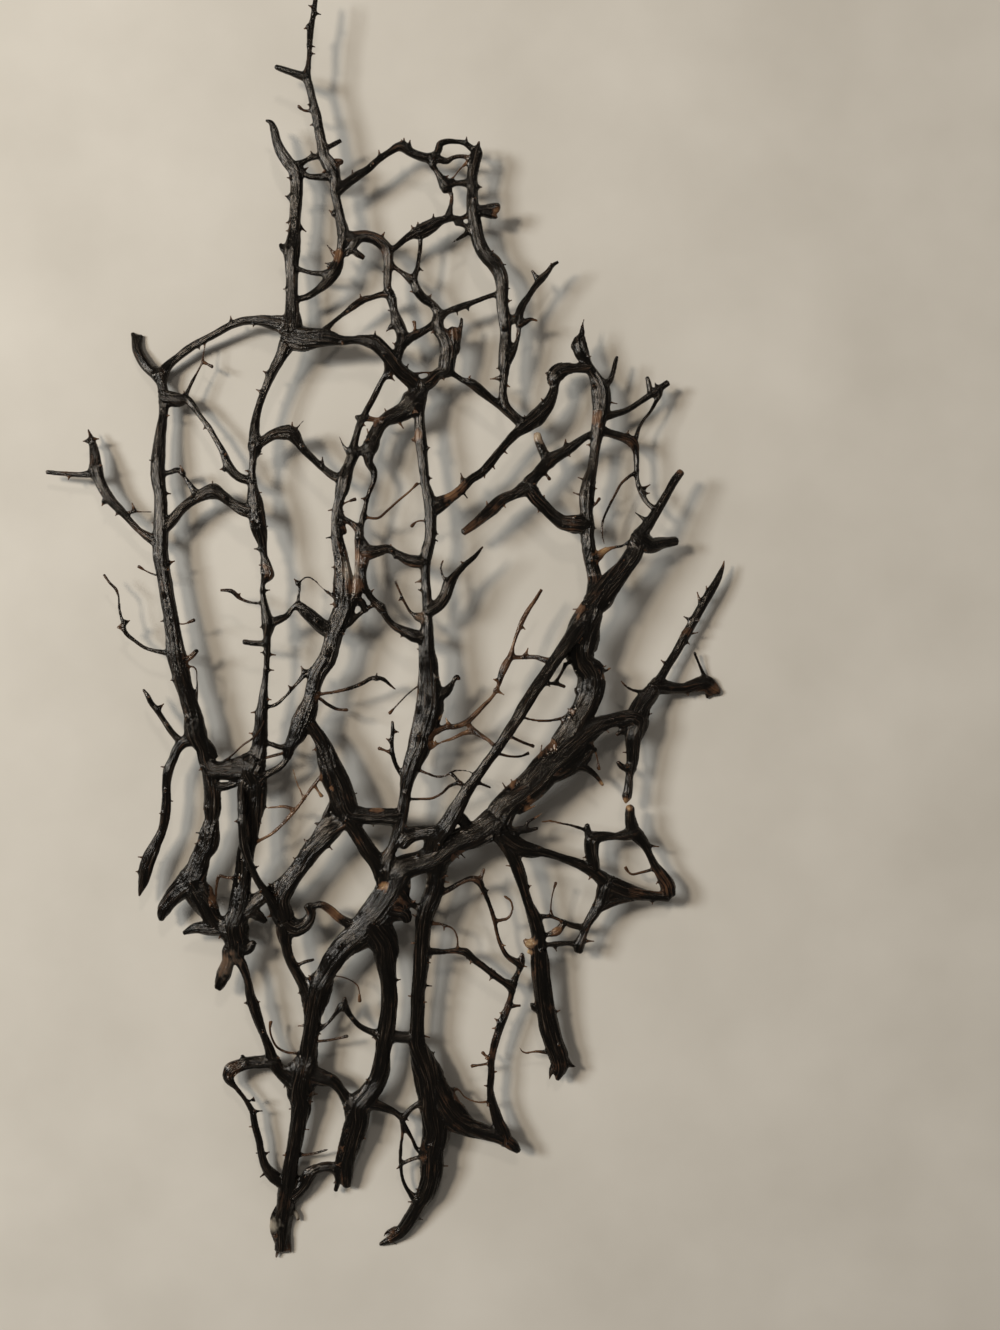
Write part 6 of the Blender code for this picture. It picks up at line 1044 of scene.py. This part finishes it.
def fused_skin(limbs, thorns):
    """All broad limbs and the roots of the thin ones as one closed skin of small squares."""
    shapes = []
    for limb in limbs:
        if limb.width.max() >= FINE_WIDTH:
            shapes.append(tube(limb.points, limb.width, depth_of(limb.width), BROAD_SIDES, BROAD_KNOBS))
            continue
        for end in (slice(0, ROOT_SAMPLES), slice(-ROOT_SAMPLES, None)):
            flare = np.linspace(ROOT_FLARE, 1.0, len(limb.points[end]))
            if end.start:
                flare = flare[::-1]
            widths = np.maximum(limb.width[end], FINE_WIDTH * 0.7) * flare
            shapes.append(tube(limb.points[end], widths, widths, FINE_SIDES))
    for thorn in thorns:
        root = slice(0, ROOT_SAMPLES + 1)
        widths = np.maximum(thorn.width[root], 2 * VOXEL) * 1.25
        shapes.append(tube(thorn.points[root], widths, widths, FINE_SIDES))
    skin = mesh_object("skin", *joined(shapes))
    remesh = skin.modifiers.new("remesh", "REMESH")
    remesh.mode = "VOXEL"
    remesh.voxel_size = VOXEL
    seen = skin.evaluated_get(bpy.context.evaluated_depsgraph_get())
    mesh = bpy.data.meshes.new_from_object(seen)
    bpy.data.objects.remove(skin, do_unlink=True)
    vertices = np.empty(len(mesh.vertices) * 3)
    mesh.vertices.foreach_get("co", vertices)
    corners = np.empty(len(mesh.loops), int)
    mesh.loops.foreach_get("vertex_index", corners)
    return vertices.reshape(-1, 3), corners.reshape(-1, 4)


def vertex_normals(vertices, quads):
    """Unit direction out of the skin at each vertex."""
    first, second, third, fourth = (vertices[quads[:, corner]] for corner in range(4))
    crosses = np.cross(third - first, fourth - second)
    normals = np.zeros_like(vertices)
    for corner in range(4):
        for axis in range(3):
            normals[:, axis] += np.bincount(quads[:, corner], crosses[:, axis], len(vertices))
    return normals / np.maximum(np.linalg.norm(normals, axis=1), 1e-12)[:, None]


def mean_of_neighbours(values, quads, counts):
    """Mean of the values at the vertices next to each vertex."""
    total = np.zeros_like(values)
    for here, there in ((0, 1), (1, 0), (1, 2), (2, 1), (2, 3), (3, 2), (3, 0), (0, 3)):
        for axis in range(values.shape[1]):
            total[:, axis] += np.bincount(quads[:, here], values[quads[:, there], axis], len(values))
    return total / counts[:, None]


def fill_forks(vertices, quads):
    """Raise the creases of the forks, so that limbs meet in smooth webs, and leave what stands out."""
    counts = np.bincount(quads.ravel(), minlength=len(vertices)) * 2.0
    counts = np.maximum(counts, 1)
    for turn in range(FILL_TURNS):
        if turn % NORMAL_TURNS == 0:
            normals = vertex_normals(vertices, quads)
        pull = mean_of_neighbours(vertices, quads, counts) - vertices
        rise = np.sum(pull * normals, axis=1)
        hollow = np.clip(rise, 0, None)
        level = pull - normals * rise[:, None]
        vertices = vertices + normals * (hollow * FILL_SHARE)[:, None] + level * EVEN_SHARE
        if turn < WEAR_TURNS:
            vertices = vertices + normals * (np.clip(rise, None, 0) * WEAR_SHARE)[:, None]
    return vertices


def nearest_samples(vertices, limbs):
    """For each vertex, the limb and the sample whose side it is closest to."""
    points = np.vstack([limb.points for limb in limbs])
    radii = np.concatenate([limb.width / 2 for limb in limbs])
    owner = np.concatenate([np.full(len(limb.points), at) for at, limb in enumerate(limbs)])
    tree = kdtree.KDTree(len(points))
    for at, point in enumerate(points):
        tree.insert(point, at)
    tree.balance()
    found = np.empty((len(vertices), NEAR_SAMPLES), int)
    away = np.empty((len(vertices), NEAR_SAMPLES))
    for at, vertex in enumerate(vertices):
        near = tree.find_n(vertex, NEAR_SAMPLES)
        found[at] = [item[1] for item in near]
        away[at] = [item[2] for item in near]
    best = np.argmin(away - radii[found], axis=1)
    sample = found[np.arange(len(vertices)), best]
    return owner[sample], sample


def ribbed(vertices, quads, limbs, owner, sample):
    """Rib the skin along its limbs. Returns its vertices, and for each the way round and along its limb."""
    points = np.vstack([limb.points for limb in limbs])
    headings = np.vstack([directions(limb.points) for limb in limbs])
    widths = np.concatenate([limb.width for limb in limbs])
    runs = np.concatenate([np.arange(len(limb.points)) * SAMPLE_STEP for limb in limbs])
    offset = vertices - points[sample]
    heading = headings[sample]
    across, up = across_and_up(heading)
    angle = np.arctan2(np.sum(offset * across, axis=1), np.sum(offset * up, axis=1))
    width = widths[sample]
    turn = angle * width / 2
    run = runs[sample] + np.sum(offset * heading, axis=1)
    sway = SWAY * smooth_noise(np.column_stack([run / SWAY_LENGTH, owner * 3.7, np.zeros(len(run))]), 8)
    places = np.column_stack([(turn + sway) / RIB_SPACING, run / RIB_LENGTH, owner * 5.3])
    ribs = smooth_noise(places, 3) + 0.5 * smooth_noise(places * (2.2, 1.6, 1.0), 4)
    lumps = smooth_noise(vertices / LUMP_LENGTH, 6)
    height = np.clip(width * RIB_SHARE, *RIB_HEIGHTS)
    normals = vertex_normals(vertices, quads)
    vertices = vertices + normals * (height * ribs + LUMP_HEIGHT * lumps)[:, None]
    vertices[:, 2] = np.maximum(vertices[:, 2], LOWEST)
    return vertices, np.column_stack([turn, run, owner * LIMB_STEP])


def edge_neighbours(quads):
    """For each square, the square across each of its sides, or itself where there is none."""
    ends = np.stack([quads, np.roll(quads, -1, axis=1)], axis=2).reshape(-1, 2)
    key = ends.min(axis=1) * (quads.max() + 1) + ends.max(axis=1)
    order = np.argsort(key, kind="stable")
    same = key[order][1:] == key[order][:-1]
    across = np.repeat(np.arange(len(quads)), 4)
    side = across.copy()
    here, there = order[:-1][same], order[1:][same]
    side[here], side[there] = across[there], across[here]
    return side.reshape(-1, 4)


def shares_of_pieces(quads, vertex_pieces):
    """The piece of each square, with ragged borders made even."""
    share = vertex_pieces[quads[:, 0]]
    sides = edge_neighbours(quads)
    for _ in range(BORDER_TURNS):
        votes = np.column_stack([share, share[sides]])
        counts = np.sum(votes[:, :, None] == votes[:, None, :], axis=2)
        share = votes[np.arange(len(quads)), np.argmax(counts, axis=1)]
    return share


def border_loops(quads):
    """Closed loops of vertices round a set of squares, each in the direction that a cap needs."""
    ends = np.stack([quads, np.roll(quads, -1, axis=1)], axis=2).reshape(-1, 2)
    whole = {(int(a), int(b)) for a, b in ends}
    follow = {}
    for a, b in sorted(whole):
        if (b, a) not in whole:
            follow.setdefault(b, []).append(a)
    loops = []
    while follow:
        start = min(follow)
        loop = [start]
        at = follow[start].pop()
        if not follow[start]:
            del follow[start]
        while at != start and at in follow:
            loop.append(at)
            after = follow[at].pop()
            if not follow[at]:
                del follow[at]
            at = after
        loops.append(loop)
    return loops


def tint_of(points, browns):
    """Colour shares of points: how brown and how pale they are."""
    places = in_pixels(points)
    brown = browns.copy()
    pale = np.zeros(len(points))
    ragged = 1 + RAGGED * smooth_noise(points / RAGGED_LENGTH, 9)
    for x, y, reach, strength, paleness in TINTS:
        away = np.hypot(places[:, 0] - x, places[:, 1] - y) * ragged
        share = np.exp(-(away / reach) ** 4)
        brown = np.maximum(brown, strength * share)
        pale = np.maximum(pale, paleness * share)
    return np.clip(brown, 0, 1), pale


def browns_of(limb):
    """How brown a limb is along its length: thin growth is brown, and so is a thin free end."""
    base = np.clip((BROWN_WIDTH - limb.width) / BROWN_RANGE, 0, 1) * THIN_BROWN
    return base + BROWNER_PIECES.get(limb.piece, 0.0)


def whole_skin(limbs, thorns):
    """The fused skin: a table of its vertices, its squares, and the piece that each square belongs to."""
    vertices, quads = fused_skin(limbs, thorns)
    vertices = fill_forks(vertices, quads)
    growths = limbs + thorns
    owner, sample = nearest_samples(vertices, growths)
    vertices, grain = ribbed(vertices, quads, growths, owner, sample)
    browns = np.concatenate([browns_of(growth) for growth in growths])[sample]
    table = np.column_stack([vertices, vertex_normals(vertices, quads), grain, browns])
    names = list(LIMBS)
    pieces_of_growths = np.array([names.index(growth.piece) for growth in growths])
    return table, quads, shares_of_pieces(quads, pieces_of_growths[owner])


def skin_part(table, quads):
    """One piece's share of the skin, closed by a fan of faces at each of its borders."""
    used, inverse = np.unique(quads, return_inverse=True)
    rows = table[used]
    quads = inverse.reshape(-1, 4)
    faces = quads.tolist()
    centres = []
    for loop in border_loops(quads):
        centre = rows[loop[0]].copy()
        centre[PLACE] = rows[loop, PLACE].mean(axis=0)
        centre[FACING] = 0
        at = len(rows) + len(centres)
        faces += [(loop[turn - 1], loop[turn], at) for turn in range(len(loop))]
        centres.append(centre)
    return np.vstack([rows, *centres]), faces


def fine_part(growth, number):
    """A thin limb or a thorn as a fine tube."""
    sides = FINE_SIDES if growth.width.max() > FINER_WIDTH else FINER_SIDES
    width = np.maximum(growth.width, THINNEST_RADIUS * 2)
    vertices, faces = tube(growth.points, width, width, sides, FINE_KNOBS)
    count = len(growth.points)
    runs = np.append(np.repeat(np.arange(count), sides), (0, count - 1))
    turns = np.append(np.tile(np.arange(sides), count), (0, 0))
    grain = np.column_stack([turns * FINE_TURN, runs * SAMPLE_STEP, np.full(len(runs), number * FINE_STEP)])
    return np.column_stack([vertices, np.zeros_like(vertices), grain, browns_of(growth)[runs]]), faces


def add_piece(name, rows, faces, skins):
    """One closed piece in place of the solid of this name."""
    piece = mesh_object(name + "_skin", rows[:, PLACE], faces)
    mesh = piece.data
    mesh.polygons.foreach_set("use_smooth", np.ones(len(mesh.polygons), bool))
    mesh.normals_split_custom_set_from_vertices(rows[:, FACING].tolist())
    layer = mesh.attributes.new("grain", "FLOAT_VECTOR", "POINT")
    layer.data.foreach_set("vector", rows[:, GRAIN].ravel())
    brown, pale = tint_of(rows[:, PLACE], rows[:, BROWN])
    layer = mesh.attributes.new("tint", "FLOAT_COLOR", "POINT")
    layer.data.foreach_set("color", np.column_stack([brown, pale, 0 * brown, 1 + 0 * brown]).ravel())
    slot = "brown_twig" if name in BROWN_TWIGS else "black_skin"
    mesh.materials.append(skins[slot])
    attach(piece, "root")
    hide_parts(name)


def build_pieces():
    """The whole fan, grown as one and then divided into its pieces."""
    limbs = grow_limbs()
    thorns = grow_thorns(limbs) + grow_stray_thorns(limbs)
    table, quads, share = whole_skin(limbs, thorns)
    fine = [limb for limb in limbs if limb.width.max() < FINE_WIDTH] + thorns
    skins = {slot: skin_material(slot) for slot in ("black_skin", "brown_twig")}
    for at, name in enumerate(LIMBS):
        parts = [skin_part(table, quads[share == at])]
        parts += [fine_part(growth, number) for number, growth in enumerate(fine) if growth.piece == name]
        add_piece(name, *joined(parts), skins)


def feed(links, value, socket):
    """Link another node's output to a socket, or set the socket itself to a plain value."""
    if isinstance(value, bpy.types.NodeSocket):
        links.new(value, socket)
    else:
        socket.default_value = value


def noise_node(nodes, links, vector, scale, detail, rough=0.5):
    noise = nodes.new("ShaderNodeTexNoise")
    noise.inputs["Scale"].default_value = scale
    noise.inputs["Detail"].default_value = detail
    noise.inputs["Roughness"].default_value = rough
    links.new(vector, noise.inputs["Vector"])
    return noise.outputs["Fac"]


def stretched(nodes, links, vector, scale):
    mapping = nodes.new("ShaderNodeMapping")
    mapping.inputs["Scale"].default_value = scale
    links.new(vector, mapping.inputs["Vector"])
    return mapping.outputs["Vector"]


def ramp_node(nodes, links, factor, stops):
    ramp = nodes.new("ShaderNodeValToRGB")
    while len(ramp.color_ramp.elements) < len(stops):
        ramp.color_ramp.elements.new(0.5)
    for element, (place, colour) in zip(ramp.color_ramp.elements, stops):
        element.position = place
        element.color = (*colour, 1.0)
    links.new(factor, ramp.inputs["Fac"])
    return ramp.outputs["Color"]


def mix_node(nodes, links, factor, first, second):
    mix = nodes.new("ShaderNodeMix")
    mix.data_type = "RGBA"
    feed(links, factor, mix.inputs["Factor"])
    feed(links, first, mix.inputs["A"])
    feed(links, second, mix.inputs["B"])
    return mix.outputs["Result"]


def math_node(nodes, links, operation, first, second):
    result = nodes.new("ShaderNodeMath")
    result.operation = operation
    feed(links, first, result.inputs[0])
    feed(links, second, result.inputs[1])
    return result.outputs["Value"]


def skin_material(name):
    """Fibrous near-black skin with pale streaks that are painted highlights, which is brown where it is thin,
    torn or peeled.
    """
    material = bpy.data.materials.new(name)
    material.use_nodes = True
    nodes, links = material.node_tree.nodes, material.node_tree.links
    shader = nodes["Principled BSDF"]
    grain = nodes.new("ShaderNodeAttribute")
    grain.attribute_name = "grain"
    tint = nodes.new("ShaderNodeAttribute")
    tint.attribute_name = "tint"
    shares = nodes.new("ShaderNodeSeparateColor")
    links.new(tint.outputs["Color"], shares.inputs["Color"])
    place = nodes.new("ShaderNodeTexCoord").outputs["Object"]
    fibres = stretched(nodes, links, grain.outputs["Vector"], FIBRE_SCALE)
    streaks = stretched(nodes, links, grain.outputs["Vector"], STREAK_SCALE)
    fibre = noise_node(nodes, links, fibres, 1.0, 3.0, 0.6)
    streak = noise_node(nodes, links, streaks, 1.0, 4.0, 0.62)
    patch = noise_node(nodes, links, place, PATCH_SCALE, 4.0, 0.6)
    speck = noise_node(nodes, links, place, SPECK_SCALE, 2.0)
    broad = math_node(nodes, links, "MULTIPLY", streak, 0.6)
    narrow = math_node(nodes, links, "MULTIPLY", fibre, 0.4)
    # Streak and fibre noise: where it is highest, the ramp paints pale highlight streaks along the limbs.
    painted_highlight_streaks = math_node(nodes, links, "ADD", broad, narrow)
    black = ramp_node(nodes, links, painted_highlight_streaks, BLACK_AND_HIGHLIGHT_STOPS)
    mottle = math_node(nodes, links, "ADD", patch, streak)
    mottle = math_node(nodes, links, "SUBTRACT", mottle, 1.0)
    brown_share = math_node(nodes, links, "ADD", shares.outputs["Red"], mottle)
    brown = ramp_node(nodes, links, brown_share, BROWN_STOPS)
    cover = ramp_node(nodes, links, brown_share, COVER_STOPS)
    colour = mix_node(nodes, links, cover, black, brown)
    colour = mix_node(nodes, links, shares.outputs["Green"], colour, PALE)
    links.new(colour, shader.inputs["Base Color"])
    rough = nodes.new("ShaderNodeMapRange")
    rough.inputs["From Min"].default_value = ROUGHNESS_STREAKS[0]
    rough.inputs["From Max"].default_value = ROUGHNESS_STREAKS[1]
    rough.inputs["To Min"].default_value = ROUGHNESS[0]
    rough.inputs["To Max"].default_value = ROUGHNESS[1]
    links.new(streak, rough.inputs["Value"])
    links.new(rough.outputs["Result"], shader.inputs["Roughness"])
    pits = math_node(nodes, links, "MULTIPLY", speck, 0.30)
    folds = math_node(nodes, links, "MULTIPLY", streak, 1.8)
    relief = math_node(nodes, links, "ADD", fibre, pits)
    relief = math_node(nodes, links, "ADD", relief, folds)
    bump = nodes.new("ShaderNodeBump")
    bump.inputs["Strength"].default_value = 1.0
    bump.inputs["Distance"].default_value = BUMP_DISTANCE
    links.new(relief, bump.inputs["Height"])
    links.new(bump.outputs["Normal"], shader.inputs["Normal"])
    shader.inputs["Specular IOR Level"].default_value = SPECULAR
    shader.inputs["Specular Tint"].default_value = SPECULAR_TINT
    return material


def floor_material():
    """Pale warm-grey matt surface, with a faint mottle."""
    material = bpy.data.materials.new("floor")
    material.use_nodes = True
    nodes, links = material.node_tree.nodes, material.node_tree.links
    shader = nodes["Principled BSDF"]
    place = nodes.new("ShaderNodeTexCoord").outputs["Object"]
    mottle = noise_node(nodes, links, place, 14.0, 4.0)
    colour = ramp_node(nodes, links, mottle, FLOOR_STOPS)
    links.new(colour, shader.inputs["Base Color"])
    shader.inputs["Roughness"].default_value = 0.9
    return material


def add_floor():
    vertices = FLOOR_REACH * np.array([(-1, -1, 0), (1, -1, 0), (1, 1, 0), (-1, 1, 0)])
    floor = mesh_object("floor", vertices, [(0, 1, 2, 3)])
    floor.data.materials.append(floor_material())


def add_light(name, place, size, power, colour):
    """A soft square light that faces the fan."""
    light = bpy.data.lights.new(name, "AREA")
    light.size = size
    light.energy = power
    light.color = colour
    lamp = bpy.data.objects.new(name, light)
    lamp.location = place
    lamp.rotation_euler = (-Vector(place)).to_track_quat("-Z", "Y").to_euler()
    bpy.context.scene.collection.objects.link(lamp)


def add_camera():
    """Straight above the photograph's centre, with its angle of view."""
    view = bpy.data.cameras.new("camera")
    view.sensor_fit = "VERTICAL"
    view.sensor_height = 24.0
    half_height = PHOTO_HEIGHT * PIXEL / 2
    view.lens = view.sensor_height / 2 * (EYE_HEIGHT - READING_HEIGHT) / half_height
    view.clip_start = 0.01
    view.clip_end = 20.0
    camera = bpy.data.objects.new("camera", view)
    camera.location = (EYE_X, EYE_Y, EYE_HEIGHT)
    bpy.context.scene.collection.objects.link(camera)
    bpy.context.scene.camera = camera


def light_scene():
    world = bpy.data.worlds.new("room")
    world.use_nodes = True
    background = world.node_tree.nodes["Background"]
    background.inputs["Color"].default_value = ROOM_COLOUR
    background.inputs["Strength"].default_value = ROOM_STRENGTH
    bpy.context.scene.world = world
    for light in LIGHTS:
        add_light(*light)
    bpy.context.scene.view_settings.view_transform = "Standard"


build_pieces()
add_floor()
light_scene()
add_camera()
